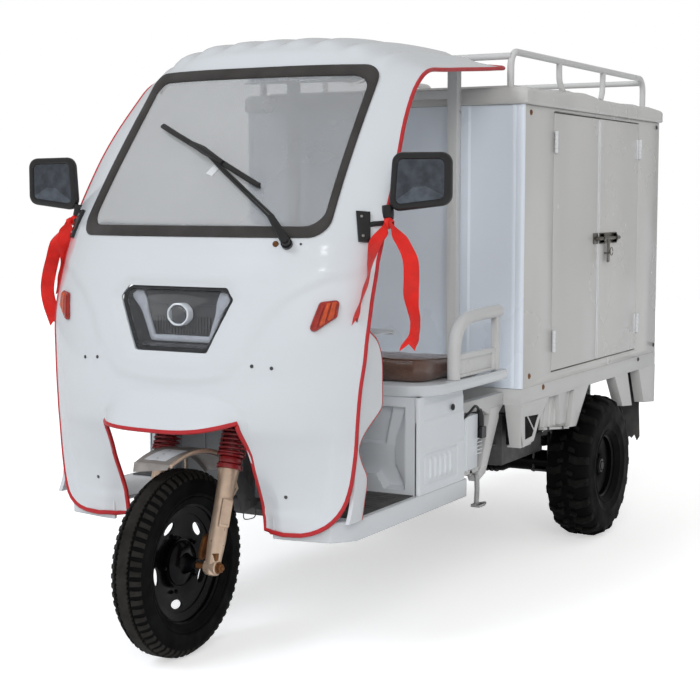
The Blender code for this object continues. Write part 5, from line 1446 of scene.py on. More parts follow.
def face_details():
    heads_here = [stud(sign * x, z, 0.0050, 0.0022) for x, z in FACE_SCREWS for sign in (1, -1)]
    heads_here.append(stud(0.353, 1.159, 0.0035, 0.0015))
    piece("face_screws", heads_here, "dark_steel", "vehicle")
    piece("face_grommet", [stud(*GROMMET, 0.0085, 0.0030)], "rusty_brass", "vehicle")
    rings = [[Vector((x, front_y(x, z) + deep, z)) for x, z in BLANK_LABEL]
             for deep in (0.0, 0.0012)]
    piece("screen_blank_label", [capped_sheet(rings)], "hinge_paint", "vehicle")
    print("face studs:", len(heads_here))


face_details()

# %% [markdown]
# A tyre is a ring of rubber with a tread of separate blocks. The carcass is a profile
# turned round the axle. The blocks repeat, so Geometry Nodes set them: one block of a
# few faces is instanced round a circle, its count and first turn are the tree's inputs,
# and the tree ends in real geometry. The front tyre has a zigzag middle rib and shoulder
# blocks on each side. The rear tyres have big slanted knobs, as on a farm tyre.

# %% A Geometry Nodes tree that sets things round an axle
def placing_tree(name, extra=()):
    """A tree that instances an object, makes it real and coats it, its points still open."""
    tree = bpy.data.node_groups.new(name, "GeometryNodeTree")
    sockets = (*extra, ("Block", "NodeSocketObject", None),
               ("Finish", "NodeSocketMaterial", None))
    tree.interface.new_socket(name="Geometry", in_out="INPUT", socket_type="NodeSocketGeometry")
    for label, kind, value in sockets:
        socket = tree.interface.new_socket(name=label, in_out="INPUT", socket_type=kind)
        if value is not None:
            socket.default_value = value
    tree.interface.new_socket(name="Geometry", in_out="OUTPUT", socket_type="NodeSocketGeometry")
    nodes, links = tree.nodes, tree.links
    entry, out = nodes.new("NodeGroupInput"), nodes.new("NodeGroupOutput")
    block_info = nodes.new("GeometryNodeObjectInfo")
    links.new(entry.outputs["Block"], block_info.inputs["Object"])
    instance = nodes.new("GeometryNodeInstanceOnPoints")
    links.new(block_info.outputs["Geometry"], instance.inputs["Instance"])
    real = nodes.new("GeometryNodeRealizeInstances")
    links.new(instance.outputs["Instances"], real.inputs["Geometry"])
    coat = nodes.new("GeometryNodeSetMaterial")
    links.new(real.outputs["Geometry"], coat.inputs["Geometry"])
    links.new(entry.outputs["Finish"], coat.inputs["Material"])
    links.new(coat.outputs["Geometry"], out.inputs["Geometry"])
    return tree, entry, instance


def ring_tree():
    """Sets an object at even steps round the X axis, the first one turned by Turn."""
    tree, entry, instance = placing_tree("set_round_axle", (
        ("Count", "NodeSocketInt", 24), ("Turn", "NodeSocketFloat", 0.0)))
    nodes, links = tree.nodes, tree.links
    line = nodes.new("GeometryNodeMeshLine")
    line.inputs["Offset"].default_value = (0.0, 0.0, 0.0)
    links.new(entry.outputs["Count"], line.inputs["Count"])
    index = nodes.new("GeometryNodeInputIndex")
    share = nodes.new("ShaderNodeMath")
    share.operation = "DIVIDE"
    links.new(index.outputs[0], share.inputs[0])
    links.new(entry.outputs["Count"], share.inputs[1])
    angle = nodes.new("ShaderNodeMath")
    angle.operation = "MULTIPLY_ADD"
    angle.inputs[1].default_value = 2 * math.pi
    links.new(share.outputs[0], angle.inputs[0])
    links.new(entry.outputs["Turn"], angle.inputs[2])
    turn = nodes.new("ShaderNodeCombineXYZ")
    links.new(angle.outputs[0], turn.inputs["X"])
    links.new(line.outputs["Mesh"], instance.inputs["Points"])
    links.new(turn.outputs[0], instance.inputs["Rotation"])
    return tree


RING_TREE = ring_tree()


def set_inputs(modifier, values):
    """Sets a Geometry Nodes modifier's inputs by their sockets' identifiers."""
    for item in modifier.node_group.interface.items_tree:
        if item.item_type == "SOCKET" and item.in_out == "INPUT" and item.name in values:
            modifier[item.identifier] = values[item.name]


def repeated(tree, shapes, values, finish_name, round_off=0.0, places=()):
    """A shape repeated by a tree, as plain points and faces about the tree's own origin."""
    one = linked("one", clean_mesh("one", joined(shapes), Vector()))
    if round_off:
        one = evaluated(rounded_edges(one, round_off, 1), "one")
    bare = bpy.data.meshes.new("holder")
    bare.from_pydata(places, [], [])
    holder = linked("holder", bare)
    nodes = holder.modifiers.new("repeat", "NODES")
    nodes.node_group = tree
    set_inputs(nodes, {**values, "Block": one, "Finish": FINISHES[finish_name]})
    made = evaluated(holder, "made")
    result = ([tuple(v.co) for v in made.data.vertices],
              [tuple(f.vertices) for f in made.data.polygons])
    for obj in (one, made):
        old = obj.data
        bpy.data.objects.remove(obj)
        bpy.data.meshes.remove(old)
    return result


def round_axle(shapes, count, turn, finish_name, round_off=0.0):
    return repeated(RING_TREE, shapes, {"Count": count, "Turn": turn}, finish_name, round_off)

# %% [markdown]
# The tread blocks start as flat outlines on the tyre's crown, laid round its curve by
# bending each point to the tyre's radius, so that a long block doesn't stick up at its
# ends. Every block has sloped sides, wider at its foot.

# %% Tread blocks
def crown_radius(profile, across):
    """The carcass's radius at a place across its width."""
    return float(np.interp(abs(across), [p[0] for p in profile], [p[1] for p in profile]))


def tread_block(outline, profile, height, taper):
    """A block on an outline of (across, around) points, both in metres at the crown."""
    middle = Vector((sum(p[0] for p in outline), sum(p[1] for p in outline))) / len(outline)
    rings = []
    crown = profile[0][1]
    for lift, share in ((-0.004, 1.0), (height * 0.6, (1 + taper) / 2), (height, taper)):
        ring = []
        for point in outline:
            across, around = middle + (Vector(point) - middle) * share
            radius = crown_radius(profile, across) + lift
            angle = around / crown
            ring.append(Vector((across, radius * math.sin(angle), radius * math.cos(angle))))
        rings.append(ring)
    return capped_sheet(rings)


FRONT_RADIUS = 0.265
FRONT_HALF = 0.050
REAR_RADIUS = 0.269
REAR_HALF = 0.086
# place across, radius of the carcass there
FRONT_CROWN = ((0.0, 0.2595), (0.020, 0.2585), (0.034, 0.2545), (0.043, 0.247), (0.048, 0.238),
               (0.050, 0.226))
REAR_CROWN = ((0.0, 0.257), (0.035, 0.256), (0.060, 0.251), (0.074, 0.243), (0.081, 0.232),
              (0.085, 0.216))


def tyre_carcass(crown, half, rim_radius, centre, steps):
    """The ring of rubber, with raised rings on its sidewalls."""
    middle = (rim_radius + crown[-1][1]) / 2
    side = [(rim_radius + 0.006, half * 0.72), (rim_radius + 0.014, half * 0.80),
            (rim_radius + 0.022, half * 0.875), (rim_radius + 0.025, half * 0.925),
            (rim_radius + 0.028, half * 0.930), (rim_radius + 0.030, half * 0.905),
            (middle, half * 0.965), (middle + 0.004, half * 0.995),
            (middle + 0.008, half * 0.995), (middle + 0.011, half * 0.975)]
    outer = [(radius, across) for across, radius in reversed(crown)]
    profile = side + outer
    profile += [(radius, -across) for radius, across in reversed(profile[:-1])]
    return turned(profile, centre, "X", steps)


FRONT_BLOCKS = 60
REAR_BLOCKS = 19
# outlines as points across and around
FRONT_SHOULDER = [(0.0245, -0.0090), (0.0478, -0.0100), (0.0478, 0.0048), (0.0245, 0.0080)]
REAR_KNOB = [(0.010, -0.014), (0.040, -0.026), (0.0835, -0.020), (0.0835, 0.012),
             (0.042, 0.006), (0.012, 0.016)]
REAR_PAD = [(0.004, 0.026), (0.030, 0.017), (0.034, 0.034), (0.010, 0.044)]


def block_rows(outlines, crown, count, finish_name, round_off=0.0):
    """Blocks on both sides of a tyre, those of the right side half a step further round."""
    shapes = []
    for side in (1, -1):
        turn = math.pi / count if side < 0 else 0.0
        for outline, height in outlines:
            if side < 0:
                outline = [(-across, around) for across, around in reversed(outline)]
            block_shape = tread_block(outline, crown, height, 0.84)
            shapes.append(round_axle([block_shape], count, turn, finish_name, round_off))
    return shapes


def front_tread():
    """A zigzag middle rib and a row of shoulder blocks on each side."""
    pitch = 2 * math.pi * FRONT_RADIUS / FRONT_BLOCKS
    right, left = [], []
    for i in range(5):
        around = -pitch / 2 + pitch * i / 4
        swing = 0.0040 if i % 2 else 0.0
        right.append((0.0150 + swing, around))
        left.append((-0.0190 + swing, around))
    rib = tread_block(right + left[::-1], FRONT_CROWN, 0.0050, 0.98)
    shoulders = block_rows(((FRONT_SHOULDER, 0.0062),), FRONT_CROWN, FRONT_BLOCKS,
                           "tread_rubber")
    return [round_axle([rib], FRONT_BLOCKS, 0.0, "tread_rubber")] + shoulders


def rear_tread():
    # the knobs' lighter rubber is a painted highlight on their faces
    return block_rows(((REAR_KNOB, 0.0118), (REAR_PAD, 0.0110)), REAR_CROWN, REAR_BLOCKS,
                      "knob_rubber", 0.0012)


def at(shapes, centre):
    return [placed(shape, Matrix.Translation(centre)) for shape in shapes]


FRONT_CENTRE = Vector((0.0, 0.0, FRONT_RADIUS))
FRONT_RIM = 0.162
REAR_RIM = 0.112
REAR_SPREAD = 0.4708
AXLE_Y = 2.037


def rear_centre(side):
    return Vector((side * REAR_SPREAD, AXLE_Y, REAR_RADIUS))


front_shape = tyre_carcass(FRONT_CROWN, FRONT_HALF, FRONT_RIM, FRONT_CENTRE, 96)
piece("front_tyre_rubber", [front_shape], "tyre_rubber", "front_wheel",
      ["front_tyre"])
piece("front_tyre_tread", at(front_tread(), FRONT_CENTRE), "tread_rubber", "front_wheel")
REAR_KNOBS = rear_tread()


def rear_tyre(side, word):
    shape = tyre_carcass(REAR_CROWN, REAR_HALF, REAR_RIM, rear_centre(side), 96)
    piece("rear_tyre_rubber_" + word, [shape], "tyre_rubber", "rear_wheel_" + word,
          ["rear_tyre_" + word])
    tread = piece("rear_tyre_tread_" + word, at(REAR_KNOBS, rear_centre(side)), "knob_rubber",
                  "rear_wheel_" + word)
    print("rear tread faces", len(tread.data.polygons))


both_sides(rear_tyre)

# %% [markdown]
# The rims are pressed steel: a drop centre with rolled lips and a dished disc. The front
# disc has five oval windows. They are cut from a finished disc, so that their edges are
# clean. The hub is a turned body with a drum, and nuts that repeat round it.

# %% Rims and hubs
def rim_ring(rim_radius, half, centre, steps):
    """The rim's channel with its rolled lips, both skins."""
    seat = rim_radius + 0.004
    outer = [(seat + 0.008, half + 0.004), (seat + 0.0085, half + 0.001),
             (seat + 0.004, half - 0.001), (seat, half - 0.004), (seat, half * 0.62),
             (seat - 0.022, half * 0.42), (seat - 0.022, -half * 0.42), (seat, -half * 0.62),
             (seat, -half + 0.004), (seat + 0.004, -half + 0.001),
             (seat + 0.0085, -half - 0.001), (seat + 0.008, -half - 0.004)]
    inner = [(radius - 0.0045, across * 0.93) for radius, across in reversed(outer)]
    return turned(outer + inner, centre, "X", steps)


FIRST_WINDOW = 116.0


def disc_with_windows(radius, hub, centre, dish, count, circle, size):
    profile = [(radius, 0.004), (radius - 0.010, 0.010), (radius - 0.026, 0.006 + dish),
               (hub + 0.016, 0.002 + dish), (hub, dish - 0.006), (0.022, dish - 0.006),
               (0.022, dish - 0.012), (hub, dish - 0.012), (hub + 0.016, dish - 0.004),
               (radius - 0.026, dish), (radius - 0.010, 0.004), (radius, -0.002)]
    obj = linked("disc", clean_mesh("disc", turned(profile, centre, "X", 96)))
    tools = []
    for i in range(count):
        angle = 2 * math.pi * i / count + math.radians(FIRST_WINDOW)
        out = Vector((math.cos(angle), math.sin(angle)))
        along = Vector((-out.y, out.x))
        outline = []
        for step in range(20):
            turn = 2 * math.pi * step / 20
            p = Vector((centre[1], centre[2])) + out * (circle + size[1] * math.sin(turn))
            outline.append(tuple(p + along * (size[0] * math.cos(turn))))
        tools.append(slab(outline, "YZ", centre[0] - 0.03, centre[0] + 0.03))
    return cut_by(obj, joined(tools), "disc")


def nut(place, out, radius, height):
    """A six-sided nut with a chamfer and a rounded stud end."""
    place, out = Vector(place), Vector(out).normalized()
    line = [place, place + out * height * 0.75, place + out * height]
    shape = swept(line, [radius, radius, radius * 0.82], 6)
    stud = swept([place, place + out * height * 1.35, place + out * height * 1.5],
                 [radius * 0.5, radius * 0.5, radius * 0.3], 10)
    return joined([shape, stud])


def front_rim():
    centre = FRONT_CENTRE
    disc = disc_with_windows(0.149, 0.066, centre, 0.0, 5, 0.1165, (0.027, 0.0130))
    ring = linked("ring", clean_mesh("ring", rim_ring(FRONT_RIM, 0.035, centre, 96)))
    hub = [(0.0105, -0.062), (0.020, -0.062), (0.022, -0.040), (0.060, -0.036), (0.064, -0.030),
           (0.064, 0.014), (0.058, 0.020), (0.030, 0.024), (0.024, 0.034), (0.021, 0.050),
           (0.017, 0.064), (0.0105, 0.064)]
    body = turned(hub, centre, "X", 48)
    fins = []
    for x in (-0.028, -0.020, -0.012, -0.004, 0.004):
        fin = [(0.060, x), (0.0675, x + 0.001), (0.0675, x + 0.004), (0.060, x + 0.005)]
        fins.append(turned(fin, centre, "X", 48))
    bolt = nut((0.006, 0.0, 0.080), (1, 0, 0), 0.0062, 0.007)
    bolts = round_axle([bolt], 5, 0.3, "wheel_black")
    hub_obj = linked("hub", clean_mesh("hub", joined([body] + fins + at([bolts], centre))))
    merge_objects(disc, [ring, hub_obj], "front_wheel_steel")
    dress(disc, "wheel_black", "front_wheel", ["front_rim"])


def merge_objects(target, others, name):
    """Puts the meshes of other objects into the target's mesh."""
    work = bmesh.new()
    for obj in [target] + others:
        work.from_mesh(obj.data)
    work.to_mesh(target.data)
    work.free()
    for obj in others:
        old = obj.data
        bpy.data.objects.remove(obj)
        bpy.data.meshes.remove(old)
    target.name = name
    target.data.name = name


def rear_rim(side, word):
    half = 0.060
    face = 0.022
    disc = [(0.100, face - 0.002), (0.092, face + 0.006), (0.080, face + 0.002),
            (0.070, face - 0.010), (0.048, face - 0.012), (0.034, face + 0.004),
            (0.017, face + 0.006), (0.017, face), (0.032, face - 0.002), (0.047, face - 0.018),
            (0.070, face - 0.016), (0.080, face - 0.004), (0.092, face), (0.100, face - 0.006)]
    hub = [(0.0175, -0.050), (0.046, -0.050), (0.050, -0.044), (0.050, 0.004), (0.046, 0.012),
           (0.0175, 0.012)]
    cap = [(0.0178, 0.020), (0.031, 0.024), (0.031, 0.046), (0.026, 0.052), (0.0178, 0.053)]
    nuts = round_axle([nut((face - 0.010, 0.0, 0.058), (1, 0, 0), 0.0095, 0.012)], 5, 0.2,
                      "wheel_black")
    zero = Vector((0.0, 0.0, 0.0))
    parts = [rim_ring(REAR_RIM, half, zero, 72), turned(disc, zero, "X", 72),
             turned(hub, zero, "X", 48), turned(cap, zero, "X", 32), nuts]
    shape = placed(on_side(joined(parts), side), Matrix.Translation(rear_centre(side)))
    piece("rear_wheel_steel_" + word, [shape], "wheel_black", "rear_wheel_" + word,
          ["rear_rim_" + word])


front_rim()
both_sides(rear_rim)

# %% [markdown]
# The fork stands at the steering's rake. Its lower legs are cast tubes in champagne
# metallic with a raised pad, thicker at the foot, where a lug holds the axle. A coil
# spring in dark red stands on each leg round the plated upper tube.

# %% Fork legs
RAKE = math.radians(18.6)
FORK_UP = Vector((0.0, math.sin(RAKE), math.cos(RAKE)))
FORK_BACK = Vector((0.0, math.cos(RAKE), -math.sin(RAKE)))
FORK_HALF = 0.113
LEG_TOP = 0.285
LOWER_YOKE = 0.445


def steer_point(along, x, out):
    """A point by its distance up the fork, its x and its distance behind the fork legs."""
    return Vector((x, 0.0, FRONT_RADIUS)) + FORK_UP * along + FORK_BACK * out


def fork_leg(side, word):
    x = side * FORK_HALF
    # distance up the leg, radius of the casting there
    profile = ((-0.024, 0.010), (-0.022, 0.018), (-0.012, 0.0215), (0.010, 0.0235),
               (0.050, 0.0262), (0.078, 0.0270), (0.110, 0.0252), (0.160, 0.0240),
               (0.240, 0.0240), (0.252, 0.0262), (0.272, 0.0275), (0.284, 0.0275), (0.287, 0.018))
    line = [steer_point(along, x, 0) for along, radius in profile]
    radii = [radius * (0.92 + 0.16 * ease(0.03, 0.22, along)) for along, radius in profile]
    shapes = [swept(line, radii, 32)]
    hub = Vector((x, 0.0, FRONT_RADIUS))
    boss = turned([(0.0103, -0.020), (0.019, -0.020), (0.0215, -0.017), (0.0215, 0.017),
                   (0.019, 0.020), (0.0103, 0.020)], hub, "X", 32)
    shapes.append(boss)
    out = Vector((side * 0.86, 0, 0)) - FORK_BACK * 0.51
    across = FORK_UP.cross(out).normalized()
    outline = rounded([(-0.0155, 0.112), (0.0155, 0.112), (0.0155, 0.192), (-0.0155, 0.192)],
                      0.004, 3)
    middle = Vector((0.0, 0.152))
    rings = []
    # share of the outline, height above the leg's middle line
    for share, lift in ((1.0, 0.012), (1.0, 0.0290), (0.96, 0.0302), (0.80, 0.0302),
                        (0.76, 0.0284)):
        ring = []
        for point in outline:
            a, up = middle + (Vector(point) - middle) * share
            ring.append(steer_point(up, x, 0) + across * a + out * lift)
        rings.append(ring)
    shapes.append(capped_sheet(rings))
    piece("fork_casting_" + word, shapes, "champagne", "steering",
          ["fork_leg_" + word], 0.0008)


def fork_spring(side, word):
    """The coil, with closed turns at both ends, on two cup washers."""
    x = side * FORK_HALF
    wire, turns, per_turn = 0.0042, 10.0, 22
    radius = 0.0400 - wire
    low, high = LEG_TOP + 0.032, LOWER_YOKE - 0.016
    count = int(turns * per_turn)
    line = []
    for i in range(count + 1):
        turn = 2 * math.pi * i / per_turn
        share = min(max((i - per_turn * 0.8) / (count - per_turn * 1.6), 0.0), 1.0)
        centre = steer_point(low + wire + (high - low - 2 * wire) * share, x, 0)
        line.append(centre + Vector((math.cos(turn), 0, 0)) * radius
                    + FORK_BACK * (math.sin(turn) * radius))
    shapes = [swept(line, wire, 10)]
    for at_low, at_high, wide in ((LEG_TOP - 0.010, LEG_TOP + 0.004, 0.0375),
                                  (LEG_TOP + 0.005, low - 0.008, 0.0335),
                                  (low - 0.007, low, 0.0400),
                                  (low, high, 0.0255),
                                  (high, LOWER_YOKE - 0.0115, 0.036)):
        a, b = steer_point(at_low, x, 0), steer_point(at_high, x, 0)
        shapes.append(swept([a, a.lerp(b, 0.12), a.lerp(b, 0.88), b],
                            [wide * 0.93, wide, wide, wide * 0.93], 32))
    piece("fork_coil_" + word, shapes, "spring_coat", "steering",
          ["fork_spring_" + word], smooth=math.radians(50))


both_sides(fork_leg, fork_spring)

# %% [markdown]
# The axle ends in nuts outside the legs. A torque arm of rusty plate holds the brake's
# backing plate to the left leg, and the yokes above are plain forgings with pinch bolts.

# %% Axle, nuts and yokes
def front_axle():
    end = FORK_HALF + 0.0205
    shapes = [rod((-end, 0, FRONT_RADIUS), (end, 0, FRONT_RADIUS), 0.0088, 24)]
    for side in (1, -1):
        face = side * end
        washer = rod((face, 0, FRONT_RADIUS), (face + side * 0.0025, 0, FRONT_RADIUS), 0.017, 24)
        shapes.append(washer)
        shapes.append(nut((face + side * 0.0025, 0, FRONT_RADIUS), (side, 0, 0), 0.0135, 0.010))
    piece("front_axle_nuts", shapes, "rusty_brass", "steering", ["front_axle"],
          0.0005)
    outline = rounded([(-0.014, 0.283), (0.016, 0.288), (0.040, 0.330), (0.036, 0.352),
                       (0.008, 0.346), (-0.012, 0.310)], 0.006, 3)
    arm = slab(outline, "YZ", 0.076, 0.0855)
    bolt = nut((0.0855, 0.018, 0.330), (1, 0, 0), 0.0065, 0.006)
    clamp = block((0.120, 0.134), (-0.010, 0.006), (0.286, 0.306))
    piece("brake_torque_arm", [arm, bolt, clamp], "rusty_brass", "steering",
          round_off=0.0006)


front_axle()
from_node("fork_yoke", "dark_steel", 0.0025)

# %% [markdown]
# The fender is a curved steel sheet above the tyre, with a folded rim of champagne paint
# on its near edge, a blank label on its front, and a stay down to the leg. A small
# three-cornered plate hangs behind the left leg, and a wire loop under it.

# %% Front fender
FENDER_RADIUS = 0.3215
FENDER_HALF = 0.0590
FENDER_START = 112.0
FENDER_END = 44.0


def fender_point(angle, x, radius):
    """A point above the tyre by its angle round the wheel, its x and its radius."""
    turn = math.radians(angle)
    return Vector((x, radius * math.cos(turn), FRONT_RADIUS + radius * math.sin(turn)))


def fender_angles():
    return [FENDER_START + (FENDER_END - FENDER_START) * i / 26 for i in range(27)]


def front_fender():
    rows = []
    for angle in fender_angles():
        row = []
        for share in (-1.0, -0.96, -0.6, 0.0, 0.6, 0.96, 1.0):
            drop = 0.010 if abs(share) == 1.0 else 0.0
            dish = 0.003 * (1 - share * share)
            row.append(fender_point(angle, share * FENDER_HALF, FENDER_RADIUS + dish - drop))
        rows.append(row)
    thin = [[point - (point - Vector((point.x, 0, FRONT_RADIUS))).normalized() * 0.002
             for point in row] for row in rows]
    rings = [row + back[::-1] for row, back in zip(rows, thin)]
    flap = [fender_point(FENDER_START, x, FENDER_RADIUS + lift) + Vector((0, push, -drop))
            for x, lift, push, drop in (
                (-FENDER_HALF, 0.001, 0.0, 0.0), (FENDER_HALF, 0.001, 0.0, 0.0),
                (FENDER_HALF * 0.9, 0.0, -0.004, 0.012), (-FENDER_HALF, 0.0, -0.006, 0.026))]
    back = [point + Vector((0, 0.002, 0)) for point in flap]
    piece("fender_sheet", [capped_sheet(rings), capped_sheet([back, flap])], "fender_grey",
          "steering", ["front_fender"], smooth=math.radians(50))
    rim = [fender_point(angle, FENDER_HALF + 0.003, FENDER_RADIUS - 0.002)
           for angle in fender_angles() if angle > 62]
    stay = [rim[-1], rim[-1] + Vector((0.012, 0.010, -0.030)),
            Vector((0.086, 0.165, 0.455)), Vector((0.092, 0.120, 0.430))]
    other = [Vector((-FENDER_HALF - 0.003, 0.13, 0.552)), Vector((-0.086, 0.165, 0.470)),
             Vector((-0.092, 0.120, 0.430))]
    tall = [swept(rim + stay[1:], 0.0068, 8, flat=0.8), swept(other, 0.0055, 8)]
    piece("fender_rim", tall, "champagne", "steering", smooth=math.radians(50))
    label = []
    for angle in (109.0, 104.0, 99.0, 94.0):
        slant = (109.0 - angle) * 0.0009
        label.append([fender_point(angle, x + slant, FENDER_RADIUS + 0.0032)
                      for x in (-0.036, -0.012, 0.013, 0.036)])
    under = [[point - Vector((0, 0, 0.0008)) for point in row] for row in label]
    rings = [row + back[::-1] for row, back in zip(label, under)]
    piece("fender_blank_label", [capped_sheet(rings)], "label_paper", "steering")
    outline = rounded([(0.205, 0.520), (0.315, 0.385), (0.225, 0.368), (0.180, 0.480)], 0.006, 3)
    plate = slab(outline, "YZ", 0.0650, 0.0668)
    screw = nut((0.0668, 0.262, 0.402), (1, 0, 0), 0.005, 0.003)
    loop = smooth_line([(0.066, 0.235, 0.372), (0.066, 0.237, 0.352), (0.067, 0.270, 0.346),
                        (0.067, 0.296, 0.350), (0.066, 0.300, 0.378)], 16)
    piece("fender_side_plate", [plate, screw], "dark_steel", "steering",
          round_off=0.0006)
    piece("fender_wire_loop", [swept(loop, 0.0016, 8)], "dark_steel", "steering")


front_fender()

# %% [markdown]
# Each mirror has a black housing like a rounded four-cornered bowl. The glass stands in a
# deep rim, and the other side has a bulged, polished panel. A neck at its inner lower
# corner turns on a bracket with two screws, bolted to the bend of the shell.

# %% Mirrors
MIRROR_CORNERS = ((0.533, 1.243), (0.7205, 1.264), (0.7205, 1.404), (0.545, 1.406))
MIRROR_PLATE = ((0.4830, 1.1645), (0.5080, 1.1620), (0.4925, 1.2420), (0.4605, 1.2445))
# distance in from the outline, y, corner radius, from the front panel to the glass behind
MIRROR_RINGS = (
    (0.0200, 0.2440, 0.016), (0.0185, 0.2400, 0.017), (0.0150, 0.2370, 0.019),
    (0.0080, 0.2372, 0.024), (0.0020, 0.2410, 0.028), (0.0, 0.2480, 0.030),
    (0.0010, 0.2560, 0.029), (0.0060, 0.2640, 0.025), (0.0120, 0.2680, 0.020),
    (0.0150, 0.2680, 0.018), (0.0160, 0.2650, 0.018),
)


def mirror_panel(by, y, bulge):
    """A bulged panel with the mirror's outline; bulge is how far its middle stands out."""
    outline = rounded(inset(MIRROR_CORNERS, by), 0.016, 6)
    middle = Vector((0.629, 1.331))
    rings = []
    for share in (1.0, 0.85, 0.65, 0.45, 0.25, 0.1):
        rings.append([
            Vector((middle.x + (x - middle.x) * share, y + bulge * (1 - share * share),
                    middle.y + (z - middle.y) * share)) for x, z in outline])
    back = [[Vector((point.x, y + math.copysign(0.0012, -bulge), point.z)) for point in rings[0]]]
    return capped_sheet(back + rings)


def mirror(side, word):
    rings = []
    for by, y, radius in MIRROR_RINGS:
        outline = rounded(inset(MIRROR_CORNERS, by), radius, 6)
        rings.append([Vector((x, y, z)) for x, z in outline])
    neck = swept([(0.528, 0.250, 1.262), (0.530, 0.248, 1.240), (0.533, 0.244, 1.226)],
                 [0.0165, 0.0170, 0.0155], 12)
    shaft = swept([(0.533, 0.244, 1.230), (0.5375, 0.240, 1.200)], [0.0090, 0.0075], 12)
    plate_front = on_front(MIRROR_PLATE, 0.0095)
    plate_back = on_front(MIRROR_PLATE, 0.0006)
    arm = swept([(0.4880, 0.196, 1.208), (0.510, 0.2060, 1.213), (0.5365, 0.2380, 1.215)],
                0.0072, 12)
    shapes = [capped_sheet(rings), neck, shaft, capped_sheet([plate_back, plate_front]), arm]
    piece("mirror_housing_" + word, [on_side(joined(shapes), side)], "black_plastic", "vehicle",
          ["mirror_" + word], 0.0010, smooth=math.radians(45))
    glass_faces = [mirror_panel(0.0195, 0.2420, -0.0050), mirror_panel(0.0165, 0.2655, 0.0006)]
    piece("mirror_glass_" + word, [on_side(joined(glass_faces), side)], "mirror_face", "vehicle",
          smooth=math.radians(50))
    screws = []
    for place in ((0.4765, 1.2290), (0.4900, 1.1780)):
        base, top = on_front([place], 0.009)[0], on_front([place], 0.0125)[0]
        screws.append(swept([base, base.lerp(top, 0.6), top], [0.0042, 0.0042, 0.0028], 12))
    piece("mirror_screws_" + word, [on_side(joined(screws), side)], "plated_steel", "vehicle")


both_sides(mirror)

# %% [markdown]
# Red ribbons are tied on a new vehicle's mirrors. Each is a strip 42 mm wide that hangs
# from a knot and turns on its way down, so every row of the strip has its own angle. The
# strips are cut at the end like a swallow's tail. Their length is measured along the
# strip, so that the cloth neither stretches nor shrinks.

# %% Ribbons
RIBBON_HALF = 0.021
RIBBON_THICK = 0.0007
TAIL_NOTCH = 0.020
# x, y, z and the angle of the strip's width seen from above, for points down each strip
OUTER_STRIP = (
    (0.553, 0.214, 1.217, 75), (0.572, 0.214, 1.192, 55), (0.598, 0.207, 1.160, 40),
    (0.619, 0.205, 1.120, 30), (0.623, 0.205, 1.075, 26), (0.622, 0.205, 1.030, 22),
    (0.626, 0.206, 0.990, -8), (0.634, 0.207, 0.952, -28), (0.631, 0.206, 0.915, -20),
    (0.615, 0.205, 0.885, 25), (0.611, 0.205, 0.872, 30),
)
INNER_STRIP = (
    (0.545, 0.208, 1.215, 60), (0.541, 0.188, 1.188, 40), (0.534, 0.165, 1.160, 55),
    (0.530, 0.150, 1.120, 95), (0.526, 0.142, 1.075, 104), (0.520, 0.128, 1.030, 104),
    (0.513, 0.112, 0.985, 100), (0.508, 0.102, 0.946, 88),
)
FAR_OUTER_STRIP = (
    (0.548, 0.214, 1.217, 75), (0.566, 0.214, 1.190, 60), (0.586, 0.208, 1.150, -30),
    (0.602, 0.206, 1.100, -45), (0.618, 0.206, 1.050, -35), (0.626, 0.206, 1.000, -20),
    (0.616, 0.206, 0.955, -40), (0.600, 0.206, 0.915, -30), (0.592, 0.206, 0.892, -20),
)
FAR_INNER_STRIP = (
    (0.540, 0.212, 1.215, -60), (0.545, 0.200, 1.180, -30), (0.543, 0.192, 1.140, -60),
    (0.536, 0.190, 1.095, -75), (0.545, 0.190, 1.045, -60), (0.556, 0.190, 0.990, -70),
)


def ribbon_strip(name, table, side, word):
    """A strip of cloth through a table of places and angles, with its UV map along it."""
    places = smooth_line([(x, y, z) for x, y, z, turn in table], 46)
    heights = [row[2] for row in table][::-1]
    turns = [row[3] for row in table][::-1]
    last = len(places) - 1
    rows = []
    for i, place in enumerate(places):
        turn = math.radians(float(np.interp(place.z, heights, turns)))
        across = Vector((math.cos(turn), math.sin(turn), 0.0))
        along = (places[min(i + 1, last)] - places[max(i - 1, 0)]).normalized()
        normal = across.cross(along).normalized()
        gather = 0.30 + 0.70 * ease(0, 7, i)
        row = []
        for share in (-1.0, -0.66, -0.33, 0.0, 0.33, 0.66, 1.0):
            curl = 0.0016 * math.sin(i * 0.55 + share * 2.0) * ease(0, 6, i)
            notch = TAIL_NOTCH * (1 - abs(share)) * ease(last - 8, last, i)
            row.append(place + across * (share * RIBBON_HALF * gather) + normal * curl
                       - along * notch)
        rows.append(row)
    under = [[point + Vector((0.0, RIBBON_THICK, 0.0)) for point in row] for row in rows]
    rings = [row + back[::-1] for row, back in zip(rows, under)]
    mesh = clean_mesh(name, on_side(capped_sheet(rings), side))
    length = sum((b - a).length for a, b in zip(places, places[1:]))
    middle = [place + AXLE_SHIFT for place in places]
    layer = mesh.uv_layers.new(name="strip")
    for corner in mesh.loops:
        point = mesh.vertices[corner.vertex_index].co
        here = Vector((side * point.x, point.y, point.z))
        i = min(range(len(middle)), key=lambda k: (middle[k] - here).length)
        layer.data[corner.index].uv = ((here - middle[i]).length / RIBBON_HALF / 2 + 0.5,
                                       i / last * length / RIBBON_HALF / 2)
    obj = linked(name, mesh)
    stands_for = ["ribbon_" + word] if "outer" in name else []
    dress(obj, "ribbon_satin", "vehicle", stands_for, math.radians(60))
    print(name, "is", round(length, 3), "m long")


